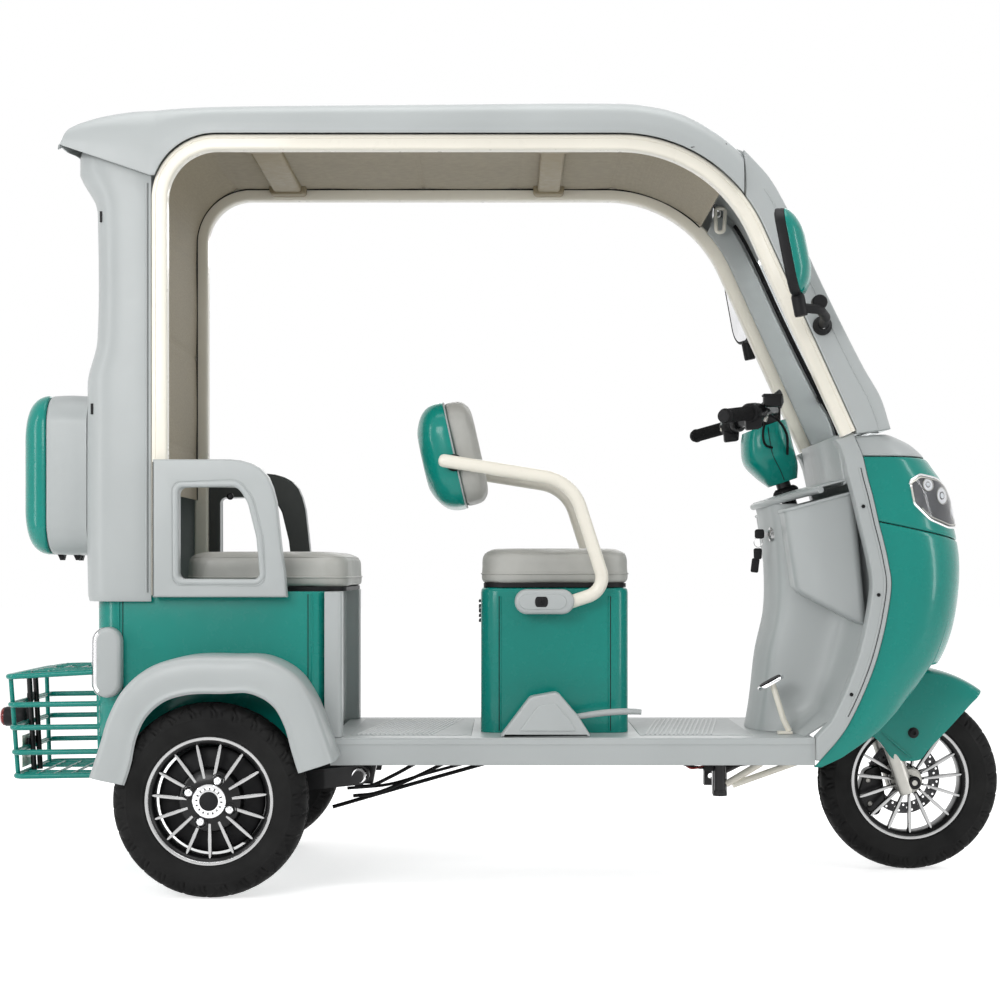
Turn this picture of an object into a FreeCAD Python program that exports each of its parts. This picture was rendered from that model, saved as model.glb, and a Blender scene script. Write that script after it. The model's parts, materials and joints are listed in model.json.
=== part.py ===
import FreeCAD, Part
import math
import re
import os
import Sketcher
from FreeCAD import Placement, Rotation, Vector

# Electric auto rickshaw with one front wheel, two rear wheels and a hooped canopy.
# Millimetres. X runs forward, Y to the left, Z up, and the ground is Z zero.

SIZES = {
    # running gear
    "wheelbase": 1581,
    "front_axle_x": 964,
    "wheel_radius": 210,
    "tyre_width": 90,
    "wheel_side": 110,
    "rim_radius": 137,
    "rim_width": 70,
    "rim_wall": 9,
    "rim_lip_width": 12,
    "hub_radius": 38,
    "hub_length": 60,
    "spoke_width": 10,
    "spoke_depth": 14,
    "spoke_inset": 12,
    "drum_radius": 70,
    "drum_depth": 42,
    "disc_radius": 88,
    "disc_thickness": 4,
    "disc_offset": 44,
    "axle_bore_radius": 12,
    "axle_radius": 24,
    "motor_radius": 92,
    "motor_length": 190,
    "swing_arm_y": 215,
    "swing_arm_height": 44,
    "swing_arm_width": 30,
    "pivot_reach": 305,
    "pivot_z": 243,
    "pivot_radius": 13,
    # frame
    "rail_y": 150,
    "rail_width": 34,
    "rail_height": 46,
    "rail_overhang": 183,
    "rail_front_setback": 444,
    "cross_width": 40,
    "post_setback": 454,
    "post_y": 100,
    "post_length": 32,
    "post_width": 30,
    "post_bottom_z": 186,
    "post_bore_radius": 7,
    "post_bore_z": 208,
    "front_tube_radius": 13,
    "front_tube_setback": 324,
    "head_tube_radius": 27,
    "head_tube_low_z": 570,
    "head_tube_high_z": 740,
    "down_tube_radius": 20,
    # floor
    "floor_rear_reach": 246,
    "floor_front_setback": 264,
    "floor_top_z": 333,
    "floor_bottom_z": 272,
    "floor_skin": 6,
    "floor_skirt": 5,
    "floor_pad_height": 3,
    "floor_pad_margin": 60,
    "front_pad_setback": 394,
    "floor_groove_pitch": 21,
    "floor_groove_width": 7,
    # seat base over the rear axle
    "seat_box_overhang": 278,
    "seat_box_reach": 233,
    "seat_box_top_z": 656,
    "seat_box_half_width": 300,
    "seat_box_wall": 4,
    "seat_box_corner": 30,
    "seat_box_rear_corner": 70,
    "seat_well_overhang": 83,
    "seat_well_inset": 70,
    "front_trim_depth": 38,
    "front_trim_column": 55,
    "front_trim_wall": 5,
    # rear mudguards
    "fender_length": 527,
    "fender_height": 260,
    "fender_base_z": 261,
    "fender_overhang": 258,
    "fender_side": 162,
    "fender_band": 78,
    "fender_wall": 5,
    # rear column, roof and lining
    "column_depth": 166,
    "column_side": 18,
    "column_base_z": 634,
    "column_height": 935,
    "column_wall": 5,
    "roof_overhang": 346,
    "roof_front_setback": 424,
    "roof_side": 30,
    "roof_seat_z": 1665,
    "roof_rise": 74,
    "roof_crown": 16,
    "roof_wall": 5,
    "lining_setback": 13,
    "roof_bar_width": 62,
    "roof_bar_depth": 33,
    "lining_lift": 135,
    "lining_wall": 3,
    # canopy hoops
    "hoop_side": 20,
    "hoop_thickness": 38,
    "hoop_depth": 34,
    "hoop_overhang": 129,
    "hoop_top_z": 1646,
    "hoop_corner_setback": 484,
    "hoop_foot_setback": 192,
    "hoop_foot_drop": 6,
    "hoop_rear_bend": 125,
    "hoop_front_bend": 330,
    # windscreen
    "pillar_side": 22,
    "pillar_thickness": 40,
    "glass_thickness": 4,
    "glass_inset": 10,
    # nose and shields
    "shield_setback": 264,
    "shield_depth": 380,
    "shield_base_z": 260,
    "shield_height": 750,
    "shield_wall": 5,
    "trim_band": 42,
    "trim_side": 8,
    "trim_inset": 38,
    "console_half_width": 105,
    "console_flank": 150,
    "panel_gap": 0.5,
    "pocket_inset": 4,
    "pocket_wall": 3,
    "dash_wall": 4,
    # headlamps
    "lamp_proud": 4,
    # driver's pedestal
    "pedestal_setback": 1004,
    "pedestal_length": 337,
    "pedestal_half_width": 170,
    "pedestal_top_z": 664,
    "pedestal_corner": 40,
    "pedestal_wall": 4,
    "battery_length": 240,
    "battery_width": 200,
    "battery_height": 190,
    # cushions
    "cushion_height": 74,
    "cushion_base": 9,
    "driver_cushion_setback": 1010,
    "driver_cushion_length": 351,
    "driver_cushion_half_width": 181,
    "driver_cushion_corner": 60,
    "rear_cushion_overhang": 92,
    "rear_cushion_length": 379,
    "rear_cushion_half_width": 255,
    "rear_cushion_corner": 60,
    "base_inset": 12,
    # backrest
    "backrest_lean_deg": 12.5,
    "backrest_setback": 1062,
    "backrest_z": 972,
    "backrest_height": 246,
    "backrest_half_width": 180,
    "backrest_shell_depth": 62,
    "backrest_pad_depth": 58,
    "arm_y": 205,
    "arm_radius": 15,
    "arm_bend": 60,
    "arm_housing_setback": 927,
    "arm_housing_length": 134,
    "arm_housing_z": 604,
    "arm_housing_height": 56,
    "arm_housing_depth": 62,
    # armrests
    "armrest_overhang": 139,
    "armrest_length": 293,
    "armrest_overlap": 12,
    "armrest_height": 302,
    "armrest_side": 45,
    # trunk
    "trunk_half_width": 205,
    "trunk_base_z": 739,
    "trunk_height": 363,
    "trunk_depth": 92,
    "trunk_wall": 5,
    "trunk_lid_depth": 62,
    "trunk_lid_gap": 0.5,
    # basket
    "basket_overhang": 495,
    "basket_half_width": 205,
    "basket_base_z": 234,
    "basket_height": 229,
    "basket_rod": 5,
    "basket_bend": 24,
    # lamps at the back
    "pod_overhang": 273,
    "pod_length": 62,
    "pod_z": 423,
    "pod_height": 155,
    "pod_inset": 25,
    "pod_width": 60,
    "rear_lamp_radius": 23,
    "rear_lamp_depth": 62.7,
    "rear_lamp_z": 358,
    # hand brake and pedal
    "brake_cover_setback": 961,
    "brake_cover_length": 204,
    "brake_cover_height": 100,
    "brake_cover_width": 60,
    "brake_cover_inset": 8,
    "brake_lever_radius": 8,
    "pedal_rod_radius": 7,
    "pedal_inset": 100,
    # mirrors
    "mirror_setback": 352,
    "mirror_side": 140,
    "mirror_z": 1380,
    "mirror_height": 190,
    "mirror_width": 120,
    "mirror_depth": 50,
    "mirror_lean_deg": 11,
    "mirror_arm_radius": 10,
    "mirror_foot_setback": 252,
    "mirror_foot_z": 1240,
    "mirror_foot_depth": 22,
    # steering
    "rake_deg": 18.7,
    "steering_setback": 56,
    "steering_z": 208,
    "fork_leg_y": 75,
    "fork_leg_radius": 16,
    "fork_leg_ahead": 32,
    "fork_low": -36,
    "fork_crown": 330,
    "crown_height": 26,
    "stem_radius": 17,
    "stem_clearance": 6,
    "stem_top": 880,
    "mudguard_radius": 268,
    "mudguard_half_width": 97,
    "mudguard_wall": 4,
    "bar_radius": 12,
    "bar_setback": 324,
    "bar_z": 1062,
    "bar_bend": 50,
    "grip_radius": 17,
    "grip_length": 120,
    "cover_height": 140,
    "cover_half_width": 76,
    "cover_depth": 60,
    "cover_wall": 3,
    "switch_length": 38,
    "switch_radius": 22,
    "lever_reach": 70,
    "lever_tip_y": 272,
    "lever_radius": 6,
    # general
    "fit_gap": 0.3,
    "cut_overrun": 20,
}

# Places that follow from the axles, the body's half width and other sizes.

PLACES = {
    "pedal_y": "seat_box_half_width - pedal_inset",
    "pocket_outer_y": "seat_box_half_width - trim_inset - pocket_inset",
    "pocket_inner_y": "console_flank + fit_gap",
    "rail_front_x": "front_axle_x - rail_front_setback",
    "post_x": "front_axle_x - post_setback",
    "front_tube_end_x": "front_axle_x - front_tube_setback",
    "floor_front_x": "front_axle_x - floor_front_setback",
    "front_pad_end_x": "front_axle_x - front_pad_setback",
    "hoop_corner_x": "front_axle_x - hoop_corner_setback",
    "hoop_foot_x": "front_axle_x - hoop_foot_setback",
    "shield_rear_x": "front_axle_x - shield_setback",
    "pedestal_rear_x": "front_axle_x - pedestal_setback",
    "driver_cushion_rear_x": "front_axle_x - driver_cushion_setback",
    "backrest_x": "front_axle_x - backrest_setback",
    "arm_housing_rear_x": "front_axle_x - arm_housing_setback",
    "brake_cover_x": "front_axle_x - brake_cover_setback",
    "mirror_x": "front_axle_x - mirror_setback",
    "mirror_foot_x": "front_axle_x - mirror_foot_setback",
    "steering_x": "front_axle_x - steering_setback",
    "bar_x": "front_axle_x - bar_setback",
    "pivot_x": "front_axle_x - wheelbase + pivot_reach",
    "rail_rear_x": "front_axle_x - wheelbase - rail_overhang",
    "floor_rear_x": "front_axle_x - wheelbase + floor_rear_reach",
    "seat_box_rear_x": "front_axle_x - wheelbase - seat_box_overhang",
    "seat_box_front_x": "front_axle_x - wheelbase + seat_box_reach",
    "seat_well_rear_x": "front_axle_x - wheelbase - seat_well_overhang",
    "fender_rear_x": "front_axle_x - wheelbase - fender_overhang",
    "roof_rear_x": "front_axle_x - wheelbase - roof_overhang",
    "hoop_rear_x": "front_axle_x - wheelbase - hoop_overhang",
    "rear_cushion_rear_x": "front_axle_x - wheelbase - rear_cushion_overhang",
    "armrest_rear_x": "front_axle_x - wheelbase - armrest_overhang",
    "basket_rear_x": "front_axle_x - wheelbase - basket_overhang",
    "pod_x": "front_axle_x - wheelbase - pod_overhang",
    "rear_half_track": "seat_box_half_width + wheel_side",
    "floor_half_width": "seat_box_half_width",
    "fender_outer_y": "seat_box_half_width + fender_side",
    "column_half_width": "seat_box_half_width + column_side",
    "roof_half_width": "seat_box_half_width + roof_side",
    "hoop_half_width": "seat_box_half_width + hoop_side",
    "pillar_half_width": "seat_box_half_width + pillar_side",
    "glass_half_width": "seat_box_half_width - glass_inset",
    "shield_half_width": "seat_box_half_width",
    "trim_outer_y": "seat_box_half_width + trim_side",
    "trim_inner_y": "seat_box_half_width - trim_inset",
    "armrest_outer_y": "seat_box_half_width + armrest_side",
    "pod_y": "seat_box_half_width - pod_inset",
    "seat_well_half_width": "seat_box_half_width - seat_well_inset",
    "brake_cover_y": "seat_box_half_width - brake_cover_inset",
    "mirror_y": "seat_box_half_width + mirror_side",
    "roof_length": "wheelbase - roof_front_setback + roof_overhang",
    "hoop_foot_z": "shield_base_z + shield_height - hoop_foot_drop",
}

SPOKE_COUNT = 15
NODES = []



def with_sheet(match):
    return "Sizes." + match.group(1)


doc = FreeCAD.newDocument("Rickshaw")
sheet = doc.addObject("Spreadsheet::Sheet", "Sizes")
for row, (name, number) in enumerate(SIZES.items(), start=1):
    sheet.set(f"A{row}", name)
    sheet.set(f"B{row}", str(number))
    sheet.setAlias(f"B{row}", name)
doc.recompute()

places = doc.addObject("Spreadsheet::Sheet", "Places")
for row, (name, rule) in enumerate(PLACES.items(), start=1):
    places.set(f"A{row}", name)
    places.set(f"B{row}", "=" + re.sub(r"([a-z]\w+)", with_sheet, rule))
    places.setAlias(f"B{row}", name)
doc.recompute()


def size(name):
    """Value of a size, or of a place that follows from other sizes."""
    return float((places if name in PLACES else sheet).get(name))


def cell(name):
    return f"Places.{name}" if name in PLACES else f"Sizes.{name}"


def value(expression):
    result = sheet.evalExpression(expression)
    return float(getattr(result, "Value", result))


def keep(item, label):
    """Name a finished sub-part, which also names its file."""
    item.Label = label
    NODES.append(item)
    return item


def feature(label, shape, placement=None):
    """Sub-part whose shape is worked out below from the sheet's sizes."""
    item = doc.addObject("Part::Feature", label)
    item.Shape = shape
    item.Placement = placement or Placement()
    return keep(item, label)


# Bodies made from sketches


def origin_plane(body, role):
    for item in body.Origin.OriginFeatures:
        if item.Role == role:
            return item


def sketch_on(body, name, role, offset=None):
    sketch = body.newObject("Sketcher::SketchObject", name)
    sketch.AttachmentSupport = [(origin_plane(body, role), "")]
    sketch.MapMode = "FlatFace"
    if offset:
        sketch.setExpression("AttachmentOffset.Base.z", offset)
    return sketch


def draw_outline(sketch, points):
    """Closed outline of straight runs, each corner held by its two dimensions."""
    first = sketch.GeometryCount
    spots = [Vector(value(across), value(up), 0) for across, up in points]
    count = len(spots)
    for i, spot in enumerate(spots):
        sketch.addGeometry(Part.LineSegment(spot, spots[(i + 1) % count]), False)
    for i in range(count):
        following = first + (i + 1) % count
        sketch.addConstraint(Sketcher.Constraint("Coincident", first + i, 2, following, 1))
    for i, (spot, expressions) in enumerate(zip(spots, points)):
        for kind, amount, text in zip(("DistanceX", "DistanceY"), spot, expressions):
            held = sketch.addConstraint(Sketcher.Constraint(kind, -1, 1, first + i, 1, amount))
            sketch.setExpression(f"Constraints[{held}]", text)


def add_feature(body, kind, sketch, name, length=None, midplane=True, reverse=False):
    item = body.newObject(f"PartDesign::{kind}", name)
    item.Profile = sketch
    if length:
        item.setExpression("Length", length)
        item.Midplane = midplane
    item.Reversed = reverse
    return item


def revolve(body, sketch, name):
    """Turn a sketch in the XY plane about the wheel's axle, which is the body's Y axis."""
    item = body.newObject("PartDesign::Revolution", name)
    item.Profile = sketch
    item.ReferenceAxis = (sketch, ["V_Axis"])
    return item


def box_outline(low_across, high_across, low_up, high_up):
    return [
        (low_across, low_up),
        (high_across, low_up),
        (high_across, high_up),
        (low_across, high_up),
    ]


def share_outline(shares, start, length, base, height):
    """Outline points given as shares of a box's length and height."""
    return [
        (f"{start} + {across} * ({length})", f"{base} + {up} * ({height})")
        for across, up in shares
    ]


def round_edges(body, base, name, radius, chosen):
    """Fillet the edges of the last feature for which chosen(edge) is true."""
    doc.recompute()
    edges = [f"Edge{i}" for i, edge in enumerate(base.Shape.Edges, start=1) if chosen(edge)]
    fillet = body.newObject("PartDesign::Fillet", name)
    fillet.Base = (base, edges)
    fillet.setExpression("Radius", radius)
    return fillet


def runs_along(edge, axis):
    """True for a straight edge in the direction of the axis vector."""
    if not isinstance(edge.Curve, Part.Line):
        return False
    return abs(abs(edge.Curve.Direction.dot(axis)) - 1) < 1e-6


def mirrored_pair(label, item):
    """The right-hand piece and its mirror image on the left, in one sub-part."""
    mirror = doc.addObject("Part::Mirroring", f"{item.Name}_mirror")
    mirror.Source = item
    mirror.Normal = Vector(0, 1, 0)
    pair = doc.addObject("Part::Compound", f"{item.Name}_pair")
    pair.Links = [item, mirror]
    return keep(pair, label)


# Moulded shells and bent tubes


def shell_between(outer_loops, inner_loops):
    """Wall between two families of open lines, one pair of lines at each station."""
    wires = []
    for outer, inner in zip(outer_loops, inner_loops):
        loop = outer + inner[::-1]
        wires.append(Part.makePolygon(loop + loop[:1]))
    return Part.makeLoft(wires, True, True)


def solid_through(loops):
    return Part.makeLoft([Part.makePolygon(loop + loop[:1]) for loop in loops], True, True)


def bent_path(points, bends):
    """Straight runs joined by tangent arcs, with one bend radius for each corner."""
    edges = []
    start = points[0]
    for before, corner, after, bend in zip(points, points[1:], points[2:], bends):
        incoming = (corner - before).normalize()
        outgoing = (after - corner).normalize()
        turn = incoming.getAngle(outgoing)
        setback = bend * math.tan(turn / 2)
        arc_start = corner - incoming * setback
        arc_end = corner + outgoing * setback
        inward = (outgoing - incoming).normalize()
        arc_middle = corner + inward * (bend / math.cos(turn / 2) - bend)
        edges.append(Part.LineSegment(start, arc_start).toShape())
        edges.append(Part.Arc(arc_start, arc_middle, arc_end).toShape())
        start = arc_end
    edges.append(Part.LineSegment(start, points[-1]).toShape())
    return Part.Wire(edges)


def bent_tube(points, radius, bends):
    direction = points[1] - points[0]
    ring = Part.Wire(Part.makeCircle(radius, points[0], direction))
    return bent_path(points, bends).makePipe(Part.Face(ring))


def rod(start, end, radius):
    return Part.makeCylinder(radius, (end - start).Length, start, end - start)


def block(low, high):
    span = high - low
    return Part.makeBox(span.x, span.y, span.z, low)


def side_slab(points, low_y, high_y):
    """Slab with a side outline of (x, z) points, from one Y to another."""
    corners = [Vector(x, low_y, z) for x, z in points]
    face = Part.Face(Part.makePolygon(corners + corners[:1]))
    return face.extrude(Vector(0, high_y - low_y, 0))


def mirror_y(shape):
    return shape.mirror(Vector(), Vector(0, 1, 0))


def between(rows, share, column):
    """Value of a column of share rows at a share in between, in straight steps."""
    for low, high in zip(rows, rows[1:]):
        if low[0] <= share <= high[0]:
            part = (share - low[0]) / (high[0] - low[0])
            return low[column] + part * (high[column] - low[column])
    return rows[0][column] if share < rows[0][0] else rows[-1][column]


def bulged_line(side_x, far_x, half_width, exponent, level, steps=12):
    """Plan curve from one side round the far end to the other side, a superellipse."""
    points = []
    for i in range(steps + 1):
        angle = math.pi * (i / steps - 0.5)
        across = math.copysign(abs(math.sin(angle)) ** (2 / exponent), angle)
        along = abs(math.cos(angle)) ** (2 / exponent)
        x = side_x + (far_x - side_x) * along
        points.append(Vector(x, half_width * across, level(x)))
    return points


def flat_level(height):
    return lambda x: height


def rounded_rectangle(half_width, low, high, corner, x, steps=4):
    """Closed loop in a YZ plane with quarter-circle corners."""
    points = []
    centres = [
        (half_width - corner, high - corner),
        (corner - half_width, high - corner),
        (corner - half_width, low + corner),
        (half_width - corner, low + corner),
    ]
    for quarter, (y, z) in enumerate(centres):
        for i in range(steps + 1):
            angle = math.pi / 2 * (quarter + i / steps)
            points.append(
                Vector(x, y + corner * math.cos(angle), z + corner * math.sin(angle))
            )
    return points


# Steering axis

RAKE = math.radians(size("rake_deg"))
AXIS_FOOT = Vector(size("steering_x"), 0, size("steering_z"))
AXIS_UP = Vector(-math.sin(RAKE), 0, math.cos(RAKE))
AXIS_AHEAD = Vector(math.cos(RAKE), 0, math.sin(RAKE))


def on_axis(along, ahead=0, across=0):
    """Point in the steering's own frame: along the axis, ahead of it, across it."""
    return AXIS_FOOT + AXIS_UP * along + AXIS_AHEAD * ahead + Vector(0, across, 0)


def axis_at(height):
    return AXIS_FOOT + AXIS_UP * ((height - AXIS_FOOT.z) / AXIS_UP.z)


# Wheels

TYRE_SHARES = [
    (0.00, -0.70),
    (0.22, -0.92),
    (0.50, -1.00),
    (0.80, -0.86),
    (0.94, -0.62),
    (1.00, -0.22),
    (1.00, 0.22),
    (0.94, 0.62),
    (0.80, 0.86),
    (0.50, 1.00),
    (0.22, 0.92),
    (0.00, 0.70),
]


def wheel_body(name, centre, turned):
    body = doc.addObject("PartDesign::Body", name)
    for letter, text in zip("xyz", centre):
        body.setExpression(f"Placement.Base.{letter}", text)
    if turned:
        body.Placement.Rotation = Rotation(Vector(0, 0, 1), 180)
    return body


def make_tyre(label, centre, turned=False):
    body = wheel_body(label, centre, turned)
    sketch = sketch_on(body, f"{label}_section", "XY_Plane")
    seat = cell("rim_radius") + " - " + cell("rim_lip_width") + " / 3"
    wall = f"({cell('wheel_radius')} - ({seat}))"
    half = f"{cell('tyre_width')} / 2"
    points = [(f"{seat} + {up} * {wall}", f"{across} * {half}") for up, across in TYRE_SHARES]
    draw_outline(sketch, points)
    revolve(body, sketch, f"{label}_ring")
    return keep(body, label)


def make_rim(label, centre, turned=False, disc=False):
    """Cast rim: barrel with a lip at each side, tapered spokes, hub and brake drum or disc."""
    body = wheel_body(label, centre, turned)
    half = f"{cell('rim_width')} / 2"
    seat = f"({cell('rim_radius')} - {cell('rim_lip_width')} / 3 - {cell('fit_gap')})"
    inner = f"({seat} - {cell('rim_wall')})"
    barrel = sketch_on(body, f"{label}_barrel_section", "XY_Plane")
    draw_outline(
        barrel,
        [
            (inner, f"-{half}"),
            (seat, f"-{half}"),
            (seat, half),
            (inner, half),
            (f"{inner} - 0.6 * {cell('rim_wall')}", f"0.3 * {half}"),
            (f"{inner} - 0.6 * {cell('rim_wall')}", f"-0.3 * {half}"),
        ],
    )
    revolve(body, barrel, f"{label}_barrel")
    spoke = sketch_on(
        body,
        f"{label}_spoke_outline",
        "XZ_Plane",
        f"{half} - {cell('spoke_inset')} - {cell('spoke_depth')}",
    )
    hub = cell("hub_radius")
    wide = cell("spoke_width")
    draw_outline(
        spoke,
        [
            (f"{hub} * 0.8", f"-0.30 * {wide}"),
            (f"{inner} + 0.4 * {cell('rim_wall')}", f"-0.62 * {wide}"),
            (f"{inner} + 0.4 * {cell('rim_wall')}", f"0.62 * {wide}"),
            (f"{hub} * 0.8", f"0.30 * {wide}"),
        ],
    )
    pad = add_feature(body, "Pad", spoke, f"{label}_spoke", cell("spoke_depth"), False)
    doc.recompute()
    pattern = body.newObject("PartDesign::PolarPattern", f"{label}_spokes")
    pattern.Originals = [pad]
    pattern.Axis = (spoke, ["N_Axis"])
    pattern.Angle = 360
    pattern.Occurrences = SPOKE_COUNT
    body.Tip = pattern
    doc.recompute()
    middle = sketch_on(body, f"{label}_hub_section", "XY_Plane")
    bore = cell("axle_bore_radius")
    reach = f"{cell('hub_length')} / 2"
    if disc:
        lip = cell("disc_radius")
        near = f"{cell('disc_offset')} - {cell('disc_thickness')}"
        points = [
            (bore, f"-{reach}"),
            (hub, f"-{reach}"),
            (hub, near),
            (lip, near),
            (lip, cell("disc_offset")),
            (bore, cell("disc_offset")),
        ]
    else:
        drum = cell("drum_radius")
        points = [
            (bore, f"-{reach}"),
            (hub, f"-{reach}"),
            (hub, "0"),
            (drum, "0"),
            (drum, cell("drum_depth")),
            (bore, cell("drum_depth")),
        ]
    draw_outline(middle, points)
    revolve(body, middle, f"{label}_hub")
    return keep(body, label)


FRONT_CENTRE = (cell("front_axle_x"), "0", cell("wheel_radius"))
REAR_X = f"{cell('front_axle_x')} - {cell('wheelbase')}"
RIGHT_CENTRE = (REAR_X, f"-{cell('rear_half_track')}", cell("wheel_radius"))
LEFT_CENTRE = (REAR_X, cell("rear_half_track"), cell("wheel_radius"))


def make_wheels():
    make_tyre("front_tyre", FRONT_CENTRE)
    make_rim("front_rim", FRONT_CENTRE, disc=True)
    make_tyre("rear_tyre_right", RIGHT_CENTRE)
    make_rim("rear_rim_right", RIGHT_CENTRE)
    make_tyre("rear_tyre_left", LEFT_CENTRE, turned=True)
    make_rim("rear_rim_left", LEFT_CENTRE, turned=True)


def rear_axle_x():
    return size("front_axle_x") - size("wheelbase")


def make_rear_axle():
    """Axle beam on two trailing arms, with a stub through each wheel's hub."""
    x = rear_axle_x()
    z = size("wheel_radius")
    inner = size("rear_half_track") - size("drum_depth") - size("fit_gap") * 10
    beam = rod(Vector(x, -inner, z), Vector(x, inner, z), size("axle_radius"))
    outer = size("rear_half_track") + size("hub_length") / 2
    stub = size("axle_bore_radius") - size("fit_gap")
    axle = beam.fuse(rod(Vector(x, -outer, z), Vector(x, outer, z), stub))
    arms = []
    half = size("swing_arm_width") / 2
    tall = size("swing_arm_height") / 2
    for side in (-1, 1):
        y = side * size("swing_arm_y")
        px = size("pivot_x")
        pz = size("pivot_z")
        points = [(x - tall, z - tall), (px, pz - tall), (px, pz + tall), (x - tall, z + tall)]
        arms.append(side_slab(points, y - half, y + half))
        eye = rod(Vector(px, y - half, pz), Vector(px, y + half, pz), tall)
        arms.append(eye)
        reach = size("floor_half_width") - size("floor_skirt") * 4
        bolt_start = Vector(px, side * size("rail_y"), pz)
        arms.append(rod(bolt_start, Vector(px, side * reach, pz), size("pivot_radius")))
    return feature("rear_axle", axle.multiFuse(arms).removeSplitter())


def make_drive_motor():
    motor = doc.addObject("Part::Cylinder", "motor_can")
    motor.setExpression("Radius", cell("motor_radius"))
    motor.setExpression("Height", cell("motor_length"))
    motor.Placement.Rotation = Rotation(Vector(1, 0, 0), -90)
    motor.setExpression("Placement.Base.x", REAR_X)
    motor.setExpression("Placement.Base.y", f"-{cell('motor_length')} / 2")
    motor.setExpression("Placement.Base.z", cell("wheel_radius"))
    tool = doc.addObject("Part::Cylinder", "motor_bore")
    tool.setExpression("Radius", f"{cell('axle_radius')} + {cell('fit_gap')} / 10")
    tool.setExpression("Height", f"{cell('motor_length')} + 2 * {cell('cut_overrun')}")
    tool.Placement.Rotation = Rotation(Vector(1, 0, 0), -90)
    tool.setExpression("Placement.Base.x", REAR_X)
    tool.setExpression("Placement.Base.y", f"-{cell('motor_length')} / 2 - {cell('cut_overrun')}")
    tool.setExpression("Placement.Base.z", cell("wheel_radius"))
    cut = doc.addObject("Part::Cut", "motor_block")
    cut.Base = motor
    cut.Tool = tool
    return keep(cut, "drive_motor")


# Chassis frame


def rail_levels():
    """Underside and top of the rails, which carry the floor tray."""
    top = size("floor_top_z") - size("floor_skin")
    return top - size("rail_height"), top


def pivot_tool():
    """Cutting tool for the bore that the trailing arms turn in."""
    reach = 2 * size("rail_y")
    return rod(
        Vector(size("pivot_x"), -reach, size("pivot_z")),
        Vector(size("pivot_x"), reach, size("pivot_z")),
        size("pivot_radius") + size("fit_gap"),
    )


def make_rails():
    """One rail under each side of the floor, with an ear for the trailing arm's pivot."""
    low, top = rail_levels()
    half = size("rail_width") / 2
    ear = size("pivot_radius") * 2
    ear_points = [
        (size("pivot_x") - 1.6 * ear, low + half),
        (size("pivot_x") - ear, size("pivot_z") - ear),
        (size("pivot_x") + ear, size("pivot_z") - ear),
        (size("pivot_x") + 1.6 * ear, low + half),
    ]
    rails = []
    for side in (-1, 1):
        y = side * size("rail_y")
        bar = block(
            Vector(size("rail_rear_x"), y - half, low), Vector(size("rail_front_x"), y + half, top)
        )
        rail = bar.fuse(side_slab(ear_points, y - half, y + half))
        rails.append(rail.cut(pivot_tool()).removeSplitter())
    return feature("chassis_frame", Part.makeCompound(rails))


def post_shape(side, low):
    """Post under the front cross member, with a cross hole near its foot."""
    half = size("post_width") / 2
    reach = size("post_length") / 2
    y = side * size("post_y")
    post = block(
        Vector(size("post_x") - reach, y - half, size("post_bottom_z")),
        Vector(size("post_x") + reach, y + half, low + size("rail_height") / 2),
    )
    hole = rod(
        Vector(size("post_x"), y - half - size("cut_overrun"), size("post_bore_z")),
        Vector(size("post_x"), y + half + size("cut_overrun"), size("post_bore_z")),
        size("post_bore_radius"),
    )
    return post.cut(hole)


def make_crossbars():
    """Three cross members between the rails, the front one with two posts under it."""
    low, top = rail_levels()
    y = size("rail_y") - size("rail_width") / 2
    wide = size("cross_width")
    bars = []
    for x in (size("rail_rear_x"), size("pivot_x") - wide / 2, size("rail_front_x") - wide):
        bars.append(block(Vector(x, -y, low), Vector(x + wide, y, top)))
    posts = [post_shape(side, low) for side in (-1, 1)]
    bars[-1] = bars[-1].multiFuse(posts).removeSplitter()
    return feature("frame_crossbars", Part.makeCompound(bars))


def make_front_frame(crossbars):
    """Head tube, its bent down tube, and the braces that come up from the posts."""
    low, top = rail_levels()
    middle_z = (low + top) / 2
    end_x = size("front_tube_end_x")
    front_x = size("rail_front_x")
    head_low = axis_at(size("head_tube_low_z"))
    head_high = axis_at(size("head_tube_high_z"))
    parts = [rod(head_low, head_high, size("head_tube_radius"))]
    radius = size("down_tube_radius")
    knee = Vector(end_x, 0, 2 * size("floor_top_z") - low)
    foot = Vector(end_x, 0, middle_z)
    heel = Vector(front_x, 0, middle_z)
    bends = [radius * 3, radius * 1.5]
    parts.append(bent_tube([(head_low + head_high) / 2, knee, foot, heel], radius, bends))
    thin = size("front_tube_radius")
    reach = size("post_y")
    parts.append(rod(Vector(end_x, -reach, middle_z), Vector(end_x, reach, middle_z), thin))
    for side in (-1, 1):
        brace_foot = Vector(
            size("post_x"), side * reach, size("post_bore_z") + size("post_length")
        )
        parts.append(rod(brace_foot, Vector(end_x, side * reach, middle_z), thin))
    bore = rod(
        head_low - AXIS_UP * size("cut_overrun"),
        head_high + AXIS_UP * size("cut_overrun"),
        size("stem_radius") + size("fit_gap"),
    )
    whole = parts[0].multiFuse(parts[1:]).cut(bore).cut(crossbars.Shape)
    return feature("front_frame", whole.removeSplitter())


FRONT_PAD_SHARES = (0.073, 1.0)
REAR_PAD_SHARES = (0.121, 0.94)
GROOVE_EDGE_SHARE = 0.078
GROOVE_LEAN_SHARE = 0.22


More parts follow.
